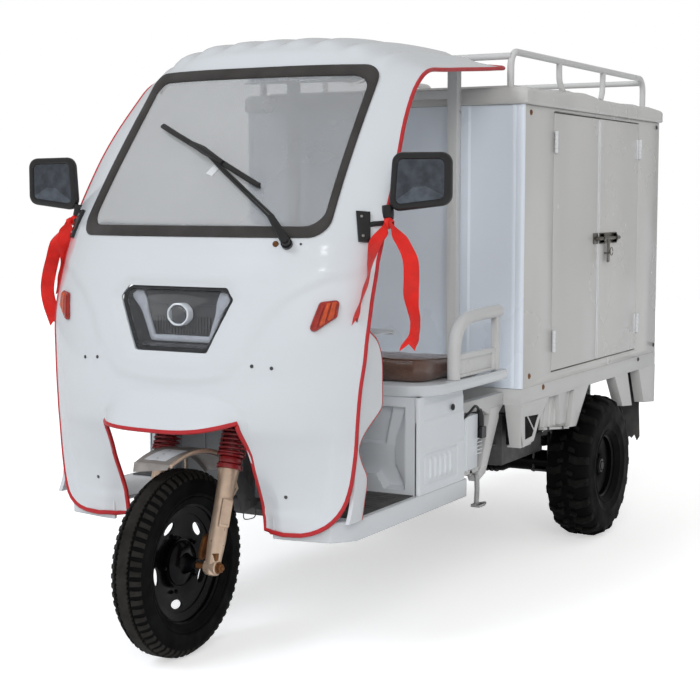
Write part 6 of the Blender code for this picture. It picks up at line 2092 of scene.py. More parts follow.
def ribbon_knot(side, word):
    """A small knot round the mirror's arm: two crossed loops of the same strip."""
    centre = Vector((0.5385, 0.236, 1.214))
    shapes = []
    for tilt, radius, wide in ((18, 0.0125, 0.0115), (-24, 0.0140, 0.0095)):
        turn = Matrix.Translation(centre) @ Matrix.Rotation(math.radians(tilt), 4, "Y")
        band = turned([(radius - 0.003, -wide), (radius, -wide * 0.92), (radius + 0.0018, 0.0),
                       (radius, wide * 0.92), (radius - 0.003, wide)], (0, 0, 0), "X", 28)
        shapes.append(placed(band, turn))
    bulb = swept([centre + Vector((0.004, -0.012, 0.004)), centre + Vector((0.006, -0.020, -0.002)),
                  centre + Vector((0.008, -0.024, -0.012))], [0.008, 0.0105, 0.006], 12)
    piece("ribbon_knot_" + word, [on_side(joined(shapes + [bulb]), side)], "ribbon_satin",
          "vehicle", smooth=math.radians(60))


def ribbons(side, word):
    ribbon_knot(side, word)
    ribbon_strip("ribbon_outer_" + word, OUTER_STRIP if side > 0 else FAR_OUTER_STRIP, side, word)
    ribbon_strip("ribbon_inner_" + word, INNER_STRIP if side > 0 else FAR_INNER_STRIP, side, word)


both_sides(ribbons)

# %% [markdown]
# The box under the seat is pressed sheet. Its front has a waist-shaped panel that lies
# deeper than its frame, and its sides have three shallow steps like boards, and below
# them a framed field with upright ribs. A relief like this is a function of the place,
# laid over an even grid.

# %% Battery box relief
BATTERY_HALF = 0.489
BATTERY_FRONT = 0.530
BATTERY_REAR = 0.850
BATTERY_LOW = 0.4073
BATTERY_HIGH = 0.6987
FIELD_HALF = 0.4415
# height, half width of the field's floor there
WAIST = ((0.424, 0.434), (0.495, 0.400), (0.573, 0.402), (0.667, 0.436))
SIDE_STEPS = (0.674, 0.624, 0.534)
RIB_FIELD = (0.590, 0.765, 0.448, 0.508)
FIELD_FRAME = (0.566, 0.800, 0.428, 0.524)
FRAME_FLOOR = (0.572, 0.794, 0.434, 0.518)


def in_field(field, a, b, soft):
    """1 inside a field of (low a, high a, low b, high b), 0 outside, with a soft edge."""
    return (ease(field[0] - soft, field[0] + soft, a)
            * (1 - ease(field[1] - soft, field[1] + soft, a))
            * ease(field[2] - soft, field[2] + soft, b)
            * (1 - ease(field[3] - soft, field[3] + soft, b)))


def rolled(distance, radius=0.008):
    """How far a rounded corner falls back, at a distance from the corner."""
    share = 1 - min(max(distance / radius, 0.0), 1.0)
    return radius * (1 - math.sqrt(1 - share * share))


def front_depth(x, z):
    """A waist-shaped field with sloped walls, its upper half deeper behind a ledge."""
    x = abs(x)
    waist = float(np.interp(z, [row[0] for row in WAIST], [row[1] for row in WAIST]))
    inside = min(max((FIELD_HALF - x) / (FIELD_HALF - waist), 0.0), 1.0)
    foot = float(np.interp(x, [0.347, 0.374], [0.466, 0.424]))
    field = ease(foot - 0.003, foot + 0.003, z) * (1 - ease(0.664, 0.670, z))
    pane = float(np.interp(z, [0.565, 0.658], [0.368, 0.389]))
    upper = 0.010 * (1 - ease(pane - 0.004, pane + 0.004, x)) * ease(0.551, 0.559, z)
    lower = 0.012 * max(0.553 - z, 0.0) / 0.09 * (inside > 0.99)
    return field * (0.019 * inside + upper + lower) + rolled(BATTERY_HALF - x)


def side_depth(y, z):
    """Shallow steps like boards, and below them a framed field with upright ribs."""
    depth = 0.0
    for step in SIDE_STEPS:
        depth += 0.0024 * ease(step - 0.0015, step + 0.0015, z)
    depth += (0.0030 * in_field(FIELD_FRAME, y, z, 0.002)
              - 0.0028 * in_field(FRAME_FLOOR, y, z, 0.002))
    wave = math.cos(2 * math.pi * (y - RIB_FIELD[0]) / 0.035)
    depth += rolled(y - BATTERY_FRONT)
    return depth - 0.0050 * in_field(RIB_FIELD, y, z, 0.004) * ease(-0.1, 0.5, -wave)


def pressed_wall(place, us, vs, depth_of, back_depth):
    """A wall with a relief and a flat back: place takes (u, v, depth) to a point."""
    near = [[place(u, v, depth_of(u, v)) for u in us] for v in vs]
    far = [[place(u, v, back_depth) for u in us] for v in vs]
    rings = []
    for row, back in zip(near, far):
        rings.append(row + back[::-1])
    return capped_sheet(rings)


def steps_between(low, high, size):
    count = max(2, round((high - low) / size))
    return [low + (high - low) * i / count for i in range(count + 1)]


def battery_box():
    zs = steps_between(BATTERY_LOW, BATTERY_HIGH, 0.0042)
    front = pressed_wall(lambda x, z, depth: Vector((x, BATTERY_FRONT + depth, z)),
                         steps_between(0.0012 - BATTERY_HALF, BATTERY_HALF - 0.0012, 0.0045), zs,
                         front_depth, 0.034)
    shapes = [front]
    side = pressed_wall(lambda y, z, depth: Vector((BATTERY_HALF - depth, y, z)),
                        steps_between(BATTERY_FRONT, BATTERY_REAR, 0.0030), zs, side_depth, 0.014)
    shapes += [side, mirrored(side)]
    for heights in ((BATTERY_HIGH - 0.008, BATTERY_HIGH), (BATTERY_LOW, BATTERY_LOW + 0.006)):
        shapes.append(block((-BATTERY_HALF + 0.01, BATTERY_HALF - 0.01),
                            (BATTERY_FRONT + 0.030, BATTERY_REAR), heights))
    piece("battery_box_pressed", shapes, "panel_cream", "vehicle",
          ["battery_box"], smooth=math.radians(40))
    lock = turned([(0.0015, -0.001), (0.0095, -0.001), (0.0105, 0.0005), (0.0095, 0.0030),
                   (0.0065, 0.0034), (0.0060, 0.0010), (0.0015, 0.0010)],
                  (BATTERY_HALF, 0.762, 0.645), "X", 28)
    slot = block((BATTERY_HALF + 0.0005, BATTERY_HALF + 0.0022), (0.7608, 0.7632), (0.640, 0.650))
    piece("battery_box_lock", [lock, slot], "black_plastic", "vehicle")


battery_box()

# %% [markdown]
# The seat's base is one moulding with a soft edge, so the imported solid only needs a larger
# round. The cushion is foam under leather. It is drawn as rings from its underside over
# the bulging side to the crowned top, and small waves near the rim stand for the leather's
# slack. That gives a closed form with no simulation.

# %% Seat base, cushion and mat
from_node("seat_base", "shell_gloss", 0.0125, segments=4)
MAT_RIB_PITCH = 0.024


def floor_mat():
    """The mat covers the footwell on the entry side and a strip before the seat."""
    outline = ((-0.472, 0.420), (0.330, 0.420), (0.330, 0.160), (0.472, 0.160),
               (0.472, 0.526), (-0.472, 0.526))
    shapes = [slab(outline, "XY", 0.4071, 0.4095)]
    for i in range(14):
        y = 0.183 + MAT_RIB_PITCH * i
        start = -0.440 if y > 0.424 else 0.345
        shapes.append(block((start, 0.440), (y, y + 0.010), (0.4090, 0.4108)))
    piece("floor_mat_ribbed", shapes, "floor_rubber", "vehicle", ["floor_mat"],
          0.0006)


floor_mat()
from_node("floor_pan", "shell_gloss", 0.004, segments=3)
from_node("battery_pack", "black_plastic", 0.003)
CUSHION_LOW = 0.7333
CUSHION_TOP = 0.8053
CUSHION_FALL = 0.46
CUSHION_CORNERS = ((-0.470, 0.595), (0.470, 0.595), (0.470, 1.065), (-0.470, 1.065))
# distance in from the outline, share of the height
CUSHION_RINGS = (
    (0.030, 0.00), (0.012, 0.03), (0.004, 0.12), (0.000, 0.30), (-0.003, 0.50),
    (-0.002, 0.70),
    (0.002, 0.84), (0.0055, 0.900), (0.0060, 0.935), (0.0035, 0.960), (0.0060, 0.985),
    (0.0130, 0.985), (0.022, 1.00), (0.040, 1.03), (0.070, 1.055), (0.110, 1.07), (0.150, 1.08),
    (0.190, 1.085), (0.222, 1.085),
)


def cushion():
    rings = []
    height = CUSHION_TOP - CUSHION_LOW
    for by, share in CUSHION_RINGS:
        corner = max(0.052 - by * 0.2, 0.006)
        outline = divided(rounded(inset(CUSHION_CORNERS, by), corner, 6), 0.016)
        outline = even_loop([Vector(point) for point in outline], 176)
        ring = []
        for i, point in enumerate(outline):
            slack = 0.0016 * math.sin(i * 0.9) * math.sin(i * 0.23 + share * 5)
            rim = 1 - ease(0.05, 0.15, by)
            out = (point - Vector((0.0, 0.83))).normalized()
            spread = slack * ease(0.05, 0.4, share) * rim * 1.2
            worn = 1 - CUSHION_FALL * ease(0.62, 1.06, point.y)
            ring.append(Vector((
                point.x + out.x * spread, point.y + out.y * spread,
                CUSHION_LOW + height * share * worn + slack * rim * ease(0.8, 1.0, share))))
        rings.append(ring)
    pad = piece("seat_cushion_leather", [capped_sheet(rings)], "seat_leather", "seat",
                ["seat_cushion"], smooth=math.radians(70))


cushion()

# %% [markdown]
# The armrests are bent tube, flattened along the top, on a thin upright at the back. A
# framed plate closes the lower half.

# %% Armrests
ARMREST_X = 0.508
# the middle line of the tube, from its foot to its rear end
ARMREST_LINE = ((0.726, 0.740), (0.726, 0.800), (0.733, 0.845), (0.757, 0.886), (0.808, 0.911),
                (0.880, 0.919), (0.965, 0.9215), (1.062, 0.9225))


def armrest(side, word):
    foot = 0.7334
    line = smooth_line([(ARMREST_X, y, z) for y, z in ARMREST_LINE], 36)
    shapes = [swept([(ARMREST_X, ARMREST_LINE[0][0], foot)] + line, 0.0200, 20)]
    shapes.append(block((ARMREST_X - 0.010, ARMREST_X + 0.010), (1.028, 1.056), (foot, 0.935)))
    low, high = foot + 0.002, 0.806
    frame_outline = [(0.735, low), (1.032, low), (1.032, high), (0.735, high)]
    shapes.append(slab(frame_outline, "YZ", ARMREST_X - 0.006, ARMREST_X + 0.002))
    # each bar stands a little prouder than the one before, so that no two faces coincide
    for grow, ys, zs in ((0.0, (0.736, 1.030), (low + 0.001, low + 0.010)),
                         (0.0004, (0.737, 1.031), (high - 0.014, high + 0.001)),
                         (0.0008, (1.004, 1.033), (low + 0.002, high - 0.002))):
        shapes.append(block((ARMREST_X - 0.008 - grow, ARMREST_X + 0.0065 + grow), ys, zs))
    piece("armrest_tube_" + word, [on_side(joined(shapes), side)], "frame_paint", "vehicle",
          ["armrest_" + word], 0.0014)


both_sides(armrest)

# %% [markdown]
# Behind the shell's arch stands a thin inner wall that carries the steering. Its cheeks
# reach forwards only above the knee, so light comes in from the sides under the hood.

# %% Inner panel, pillars and handlebar
PANEL_HALF = 0.271
PANEL_Y = 0.400
CHEEK_OUTLINE = ((0.085, 0.905), (0.404, 0.905), (0.404, 0.360), (0.310, 0.410),
                 (0.310, 0.655), (0.085, 0.655))


def inner_panel():
    cheek = slab(rounded(CHEEK_OUTLINE, 0.012, 3), "YZ", PANEL_HALF - 0.004, PANEL_HALF)
    back = block((-PANEL_HALF, PANEL_HALF), (PANEL_Y, PANEL_Y + 0.004), (0.350, 0.905))
    shelf = block((-0.470, 0.470), (0.115, PANEL_Y + 0.004), (0.901, 0.905))
    rim = swept([(-0.470, PANEL_Y + 0.002, 0.903), (0.470, PANEL_Y + 0.002, 0.903)], 0.008, 12)
    ribs = [block((x - 0.004, x + 0.004), (PANEL_Y - 0.004, PANEL_Y), (0.380, 0.880))
            for x in (-0.18, -0.06, 0.06, 0.18)]
    piece("inner_panel_walls", [cheek, mirrored(cheek), back, shelf, rim] + ribs, "inner_paint",
          "vehicle", ["inner_panel"], 0.0012)


inner_panel()
from_node("cab_pillars", "frame_paint", 0.0035)
from_node("handlebar", "black_plastic", 0.0015)

# %% [markdown]
# Screws, rivets and hinge pins sit on a surface at chosen places. A second tree takes a
# mesh of bare points and sets the same small head on each of them, all turned one way.

# %% A Geometry Nodes tree that sets things on points
def points_tree():
    """Sets an object on each point of the mesh that carries the tree."""
    tree, entry, instance = placing_tree("set_on_points")
    tree.links.new(entry.outputs["Geometry"], instance.inputs["Points"])
    return tree


POINTS_TREE = points_tree()
SCREW_PROFILE = ((0.0010, -0.001), (1.0, -0.001), (1.0, 0.0012), (0.80, 0.0032), (0.45, 0.0040),
                 (0.38, 0.0026), (0.0010, 0.0026))


def heads(places, radius, axis, finish_name, sense=1):
    """Screw heads that stand out along an axis, at a list of places."""
    profile = [(share * radius, height * sense) for share, height in SCREW_PROFILE]
    return repeated(POINTS_TREE, [turned(profile, (0, 0, 0), axis, 14)], {}, finish_name,
                    places=places)

# %% [markdown]
# The load box is folded sheet on a frame. The front wall has rounded corner posts and a
# shallow field between two folds. Its plan is one outline with a height. The lid rolls
# over at its rim, and a long pressing makes its first half stand higher. The lid is made
# of closed loops, one inside the other, each a rounded oblong at its own height.

# %% Box, front wall and lid
BOX_HALF = 0.5316
BOX_FRONT = 1.2086
BOX_REAR = 2.6456
BOX_LOW = 0.652
BOX_TOP = 1.586
LID_LOW = 1.5866
LID_OVERHANG = 0.014
# distance in from the rim, height above the lid's lower edge
LID_RINGS = (
    (0.016, 0.0), (0.004, 0.0), (0.0, 0.004), (0.0005, 0.020), (0.0, 0.036), (0.003, 0.046),
    (0.010, 0.0525), (0.022, 0.0545), (0.048, 0.0545), (0.056, 0.0570), (0.070, 0.0640),
    (0.090, 0.0660), (0.180, 0.0680), (0.300, 0.0690), (0.420, 0.0690), (0.520, 0.0690),
)
# distance along the lid, rise of its top there
LID_WAVE = ((1.15, 0.004), (1.299, 0.001), (1.50, -0.002), (1.623, 0.008), (1.75, 0.013),
            (1.849, 0.007), (1.917, 0.0), (2.298, -0.003), (2.476, 0.003), (2.663, -0.006))


def front_wall_plan():
    """The front wall seen from above, from the left corner post to the middle."""
    post = [(x, y) for x, y in arc((BOX_HALF - 0.0115, BOX_FRONT + 0.0070), 0.0125, 0, -90, 6)]
    out = BOX_FRONT - 0.0055
    return post + [(0.5080, out), (0.5050, out + 0.0014), (0.5020, out + 0.0002), (0.4900, out),
                   (0.4800, BOX_FRONT - 0.0008), (0.3420, BOX_FRONT - 0.0008), (0.3340, out),
                   (0.2860, out), (0.2780, BOX_FRONT - 0.0008)]


def cargo_lid():
    rear = BOX_REAR + LID_OVERHANG
    half = BOX_HALF + LID_OVERHANG
    front = BOX_FRONT - LID_OVERHANG
    corners = ((-half, front), (half, front), (half, rear), (-half, rear))
    rings = []
    for by, height in LID_RINGS:
        ring = []
        outline = divided(rounded(inset(corners, by), max(0.016 - by * 0.1, 0.004), 5), 0.05)
        for point in even_loop([Vector(p) for p in outline], 240):
            wave = float(np.interp(point.y, [y for y, up in LID_WAVE], [up for y, up in LID_WAVE]))
            rise = wave * (1 - ease(0.10, 0.40, by)) * ease(0.030, 0.052, height)
            ring.append(Vector((point.x, point.y, LID_LOW + height + rise)))
        rings.append(ring)
    piece("cargo_lid_pressed", [capped_sheet(rings)], "box_paint", "vehicle",
          ["cargo_lid"], smooth=math.radians(50))


from_node("cargo_body", "box_paint", 0.0025)
plan = front_wall_plan()
plan += [(-x, y) for x, y in plan[::-1]] + [(-BOX_HALF + 0.02, BOX_FRONT + 0.003),
                                           (BOX_HALF - 0.02, BOX_FRONT + 0.003)]
front_wall = slab(plan, "XY", BOX_LOW + 0.0015, BOX_TOP - 0.0005)
# the front wall wears the lighter, bluer copy of the box's paint, as painted light on the front
# face
piece("box_front_wall", [front_wall], "box_front_paint", "vehicle",
      smooth=math.radians(30))
cargo_lid()

# %% [markdown]
# Each door is a folded panel with a rolled bead where the two doors meet. A hinge is a
# leaf on the door and five knuckles on one pin. The latch is a flat bolt in two straps,
# with a hasp that hangs down and a ring, and it is drawn once in its own frame: along the
# door, out from it, and up. Two side doors and a back door carry the same latch.

# %% Doors, hinges and latches
DOOR_LOW = 0.6865
DOOR_HIGH = 1.5705
DOOR_FRONT_Y = BOX_FRONT + 0.271
DOOR_REAR_Y = BOX_FRONT + 1.175
MEET_Y = BOX_FRONT + 0.723
LATCH_Z = 1.134
HINGE_HEIGHTS = (0.790, 1.472)
HINGE_HALF = 0.0375
KNUCKLES = 5


def wall_frame(node):
    """A matrix from (along, out, up) to the shared frame, for the wall of a door or latch."""
    if "back" in node:
        return Matrix(((1, 0, 0, 0), (0, 1, 0, BOX_REAR), (0, 0, 1, 0), (0, 0, 0, 1)))
    side = -1 if "right" in node else 1
    return Matrix(((0, side, 0, side * BOX_HALF), (1, 0, 0, 0), (0, 0, 1, 0), (0, 0, 0, 1)))


def on_wall(node, shapes):
    return placed(joined(shapes), wall_frame(node))


def hinge(edge, inward, height):
    """The leaf and the knuckles at a door's outer edge; inward points to the door."""
    shapes = []
    ends = sorted((edge + inward * 0.001, edge + inward * 0.024))
    shapes.append(block(ends, (-0.0005, 0.0018), (height - HINGE_HALF, height + HINGE_HALF)))
    profile = [(0.0008, -HINGE_HALF)]
    for i in range(KNUCKLES):
        low = -HINGE_HALF + 2 * HINGE_HALF * i / KNUCKLES
        high = low + 2 * HINGE_HALF / KNUCKLES
        profile += [(0.0050, low + 0.0001), (0.0066, low + 0.0012), (0.0066, high - 0.0012),
                    (0.0050, high - 0.0001)]
    profile.append((0.0008, HINGE_HALF))
    shapes.append(turned(profile, (edge, 0.0062, height), "Z", 16))
    return shapes


def door(node, outer, inner):
    """outer is the hinged edge, inner the meeting edge, both along the wall."""
    inward = 1 if inner > outer else -1
    low, high = sorted((outer, inner))
    panel = block((low, high), (-0.022, 0.0), (DOOR_LOW, DOOR_HIGH))
    piece(node + "_panel", [on_wall(node, [panel])], "box_paint", node, [node],
          0.0030, 3)
    # the bead is drawn in the lighter hinge paint: a painted highlight along the doors' meeting
    # edge
    bead = inner - inward * 0.0060
    shapes = [block((bead - 0.0035, bead + 0.0035), (-0.001, 0.0018),
                    (DOOR_LOW + 0.004, DOOR_HIGH - 0.004))]
    for height in HINGE_HEIGHTS:
        shapes += hinge(outer, inward, height)
    piece(node + "_hinges", [on_wall(node, shapes)], "hinge_paint", node, (), 0.0007)


def staple(start, end, reach, height, radius):
    """A round loop that stands out from the wall between two places along it."""
    line = [(start, -0.001, height), (start, reach * 0.7, height), (start + 0.003, reach, height),
            (end - 0.003, reach, height), (end, reach * 0.7, height), (end, -0.001, height)]
    return swept(line, radius, 10)


def latch(node, carrier, keeper_body, at_along):
    """The bolt on the door that carries it, and its keeper on the other door."""
    z = LATCH_Z
    shapes = [block((at_along + 0.006, at_along + 0.196), (0.0003, 0.0030),
                    (z - 0.020, z + 0.020))]
    shapes.append(rod((at_along - 0.036, 0.0105, z), (at_along + 0.206, 0.0105, z), 0.0068, 16))
    for along in (0.028, 0.170):
        strap = [(-0.020, 0.0030), (-0.011, 0.0030), (-0.009, 0.0150), (0.0, 0.0185),
                 (0.009, 0.0150), (0.011, 0.0030), (0.020, 0.0030)]
        low, high = at_along + along - 0.009, at_along + along + 0.009
        thick = [(up, out + 0.0016) for up, out in strap]
        outline = [(out, z + up) for up, out in strap] + [(out, z + up) for up, out in thick[::-1]]
        rings = [[Vector((along_at, out, up)) for out, up in outline] for along_at in (low, high)]
        shapes.append(capped_sheet(rings))
    hasp = rounded(((0.058, z + 0.002), (0.086, z + 0.002), (0.086, z - 0.090),
                    (0.058, z - 0.090)), 0.007, 4)
    shapes.append(slab([(at_along + a, b) for a, b in hasp], "XZ", 0.0135, 0.0162))
    ring = [(at_along + 0.104 + y, 0.0165, z - 0.050 + up)
            for y, up in arc((0, 0), 0.0150, 0, 340, 17)]
    shapes.append(swept(ring, 0.0016, 8))
    shapes.append(staple(at_along + 0.0680, at_along + 0.0820, 0.0210, z - 0.056, 0.0024))
    piece(node + "_bolt", [on_wall(node, shapes)], "worn_steel", carrier, [node],
          0.0006)
    keeper = [block((at_along - 0.056, at_along - 0.006), (0.0003, 0.0022), (z - 0.020, z + 0.020)),
              staple(at_along - 0.040, at_along - 0.022, 0.0185, z, 0.0028)]
    piece(node + "_keeper", [on_wall(node, keeper)], "worn_steel", keeper_body, (),
          0.0005)
    spots = [(at_along + a, 0.003, z + b) for a in (0.012, 0.046, 0.152, 0.190)
             for b in (-0.0165, 0.0165)]
    bolts = heads(spots, 0.0030, "Y", "worn_steel")
    piece(node + "_screws", [placed(bolts, wall_frame(node))], "worn_steel", carrier)


for side in ("left", "right"):
    door("door_" + side + "_front", DOOR_FRONT_Y, MEET_Y - 0.0016)
    door("door_" + side + "_rear", DOOR_REAR_Y, MEET_Y + 0.0016)
    latch("latch_" + side, "door_" + side + "_rear", "door_" + side + "_front", MEET_Y)
door("door_back_left", 0.4716, 0.0025)
door("door_back_right", -0.4716, -0.0025)
latch("latch_back", "door_back_left", "door_back_right", 0.0)

# %% Corner screws of the box
# finish, radius and places of the screws at the front and at the rear of a side
BOX_SCREWS = {
    "front": ("rusty_brass", 0.0095, ((1.263, 1.562), (1.272, 0.690), (1.40, 0.640))),
    "rear": ("dark_steel", 0.0085, ((2.607, 1.566), (2.620, 0.682), (2.425, 0.640))),
}


def box_screws(side, word):
    for where, (finish_name, radius, places) in BOX_SCREWS.items():
        shape = heads([(BOX_HALF, y, z) for y, z in places], radius, "X", finish_name)
        piece("box_screws_" + where + "_" + word, [on_side(shape, side)], finish_name, "vehicle")


both_sides(box_screws)

# %% [markdown]
# The roof rack is one bent tube a side, which comes down at the front and at the rear,
# with cross tubes at both ends. Two more posts a side bend outwards at the foot.

# %% Roof rack
RAIL_X = 0.475
RAIL_Z = 1.7600
RACK_FRONT = 1.2236
RACK_REAR = 2.5940
LID_TOP = 1.6390


def roof_rack():
    shapes = []
    corner = 0.050
    for side in (1, -1):
        x = side * RAIL_X
        low = RAIL_Z - corner
        bends = (arc((RACK_FRONT + corner, low), corner, 180, 90, 8)
                 + arc((RACK_REAR - corner, low), corner, 90, 0, 8))
        shapes.append(swept([(x, RACK_FRONT, LID_TOP - 0.002)] + [(x, y, z) for y, z in bends]
                            + [(x, RACK_REAR, LID_TOP - 0.002)], 0.0115, 14))
        for y, lean in ((1.660, 0.035), (2.115, -0.045)):
            post = smooth_line([(x, y, RAIL_Z), (x, y + lean * 0.05, 1.700),
                                (side * 0.478, y + lean * 0.35, 1.672),
                                (side * 0.482, y + lean, 1.646)], 12)
            shapes.append(swept(post, 0.0105, 14))
        for y in (RACK_FRONT, RACK_REAR):
            foot = [(0.0010, -0.003), (0.021, -0.003), (0.021, 0.002), (0.0010, 0.002)]
            shapes.append(turned(foot, (x, y, LID_TOP + 0.001), "Z", 20))
    for y in (RACK_FRONT + 0.004, RACK_REAR - 0.004):
        shapes.append(rod((-RAIL_X, y, RAIL_Z - 0.016), (RAIL_X, y, RAIL_Z - 0.016), 0.0110, 14))
    piece("roof_rack_tubes", shapes, "frame_paint", "vehicle", ["roof_rack"],
          smooth=math.radians(50))


roof_rack()

# %% [markdown]
# Under the box, the bed's steel frame ends at each side in stake pockets and brackets.
# All of them hang from the side beam, so each is a short outline in the side's plane with
# the thickness of folded plate, and the ribbed skirt between them lies a little deeper.

# %% Bed frame, pockets and skirts
SIDE_FACE = BOX_HALF
FRONT_POCKET = ((1.2046, 0.602), (1.458, 0.602), (1.374, 0.541), (1.317, 0.466),
                (1.2250, 0.456), (1.2100, 0.500))
POCKET_WINDOW = ((1.2360, 0.558), (1.3600, 0.551), (1.3440, 0.536), (1.3040, 0.484),
                 (1.2400, 0.480))
POCKET_FRONT = ((0.472, 0.602), (0.5336, 0.602), (0.5336, 0.4565), (0.4930, 0.4565))
SKIRT = ((1.4400, 0.606), (1.7150, 0.602), (1.6700, 0.460), (1.4250, 0.488))
SKIRT_EDGE = ((1.7080, 0.602), (1.8600, 0.602), (1.7300, 0.462), (1.6680, 0.466))
REAR_STRUTS = (((2.147, 0.600), (2.300, 0.600), (2.361, 0.462), (2.247, 0.472)),
               ((2.440, 0.600), (2.6516, 0.600), (2.6480, 0.444), (2.512, 0.456)))


def side_plate(outline, depth, thick=0.004):
    """A plate in the side's plane, depth behind its face."""
    return slab(outline, "YZ", SIDE_FACE - depth - thick, SIDE_FACE - depth)


def pocket_plate():
    """The pocket's side, a thin plate with its window cut through."""
    plate = side_plate(FRONT_POCKET, -0.0022, 0.0024)
    obj = linked("plate", clean_mesh("plate", plate))
    obj = cut_by(obj, slab(POCKET_WINDOW, "YZ", SIDE_FACE - 0.2, SIDE_FACE + 0.05), "plate")
    shape = ([tuple(v.co - AXLE_SHIFT) for v in obj.data.vertices],
             [tuple(f.vertices) for f in obj.data.polygons])
    bpy.data.objects.remove(obj)
    return shape


def bed_side(side, word):
    """The skirt with its ribs, the struts behind it, and the pocket before it."""
    flat = [side_plate(SKIRT, 0.020)]
    (y0, top), (y1, top), (y2, low), (y3, low) = SKIRT
    for share in (0.12, 0.30, 0.52, 0.74, 0.92):
        a = (y0 + (y1 - y0) * share, 0.602)
        b = (y3 + (y2 - y3) * share, 0.486)
        flat.append(swept([(SIDE_FACE - 0.021, *a), (SIDE_FACE - 0.021, *b)], 0.0085, 8))
    lip = ((y3, 0.488), (y2, 0.460), (y2, 0.467), (y3, 0.495))
    flat.append(slab(lip, "YZ", SIDE_FACE - 0.024, SIDE_FACE - 0.004))
    edge = slab(SKIRT_EDGE, "YZ", SIDE_FACE - 0.030, SIDE_FACE - 0.0002)
    struts = [slab(outline, "YZ", SIDE_FACE - 0.040, SIDE_FACE - 0.0002)
              for outline in REAR_STRUTS]
    stiffener = swept([(SIDE_FACE + 0.0004, 1.262, 0.556), (SIDE_FACE + 0.0004, 1.322, 0.500)],
                      0.003, 8)
    shapes = [on_side(shape, side) for shape in flat + [edge, stiffener] + struts]
    piece("bed_skirt_" + word, shapes, "frame_paint", "vehicle", (), 0.0012)
    pocket = pocket_plate()
    front = slab(POCKET_FRONT, "XZ", 1.2047, 1.2085)
    foot = ((1.206, 0.456), (1.225, 0.4565), (1.318, 0.4662), (1.316, 0.4700), (1.206, 0.4610))
    foot = slab(foot, "YZ", SIDE_FACE - 0.048, SIDE_FACE - 0.001)
    piece("bed_pocket_" + word, [on_side(joined([pocket, front, foot]), side)], "frame_paint",
          "vehicle", (), 0.0010)
    # painted shade: dark plates behind the pocket and in its window darken the hollow where shade
    # falls
    back = ((1.215, 0.600), (1.640, 0.600), (1.600, 0.466), (1.222, 0.462))
    dark = [slab(back, "YZ", SIDE_FACE - 0.060, SIDE_FACE - 0.054),
            slab(POCKET_WINDOW, "YZ", SIDE_FACE - 0.003, SIDE_FACE + 0.0003)]
    piece("bed_pocket_back_" + word, [on_side(joined(dark), side)], "knob_rubber", "vehicle")
    spots = [(SIDE_FACE - 0.004, 1.462, 0.4885), (SIDE_FACE - 0.004, 1.602, 0.4725)]
    piece("bed_screws_" + word, [on_side(heads(spots, 0.0065, "X", "dark_steel"), side)],
          "dark_steel", "vehicle")


def under_tray():
    """A dark tray with a ribbed floor, hung between the rails in front of the axle."""
    shapes = [block((-0.425, 0.425), (1.300, 1.660), (0.374, 0.560))]
    for i in range(10):
        y = 1.322 + 0.034 * i
        shapes.append(block((-0.400, 0.400), (y, y + 0.012), (0.3685, 0.3750)))
    shapes.append(block((-0.435, 0.435), (1.290, 1.670), (0.548, 0.556)))
    piece("under_tray", shapes, "dark_steel", "vehicle", (), 0.004)


from_node("bed_frame", "frame_paint", 0.0025)
under_tray()
both_sides(bed_side)

# %% [markdown]
# Between the seat box and the bed run two painted braces, and the motor's controller hangs
# beside them in a white case, with its plug on a short fixed lead. The brake's cross shaft
# and its pedal end in a small foot.

# %% Braces, controller and brake
BRACE_X = 0.470
BRACE_OUTLINE = ((1.100, 0.598), (1.165, 0.598), (1.165, 0.560), (1.060, 0.392), (1.000, 0.372),
                 (0.985, 0.395), (1.022, 0.412))
TOP_OUTLINE = ((0.850, 0.640), (1.205, 0.640), (1.205, 0.598), (1.145, 0.560), (1.045, 0.597),
               (0.850, 0.612))
CASE = ((0.420, 0.486), (0.858, 0.958), (0.428, 0.600))


def brace(side, word):
    plates = [slab(BRACE_OUTLINE, "YZ", BRACE_X - 0.034, BRACE_X),
              slab(TOP_OUTLINE, "YZ", BRACE_X - 0.030, BRACE_X - 0.002),
              block((BRACE_X - 0.050, BRACE_X + 0.006), (0.850, 0.990), (0.410, 0.424))]
    piece("seat_brace_" + word, [on_side(joined(plates), side)], "frame_paint", "vehicle",
          (), 0.0020)


both_sides(brace)


def controller():
    xs, ys, zs = CASE
    face = xs[1]
    case = [block(xs, ys, zs), block((face - 0.001, face + 0.004), (0.866, 0.880), zs)]
    fins = [block((face - 0.001, face + 0.003), (0.930, 0.990), (z, z + 0.004))
            for z in (0.470, 0.482, 0.494, 0.506, 0.518)]
    piece("controller_case", case + fins, "panel_cream", "vehicle", (), 0.0030)
    lead = smooth_line([(face - 0.004, 0.852, 0.596), (face + 0.003, 0.885, 0.612),
                        (face + 0.004, 0.930, 0.628), (face + 0.003, 0.968, 0.606)], 20)
    plug = swept([(face, 0.968, 0.612), (face, 0.975, 0.590), (face, 0.982, 0.548)],
                 [0.0085, 0.0130, 0.0105], 12)
    sleeve = block((face - 0.012, face + 0.012), (0.965, 0.998), (0.520, 0.556))
    piece("controller_plug", [swept(lead, 0.0045, 10), plug, sleeve], "black_plastic", "vehicle")


controller()


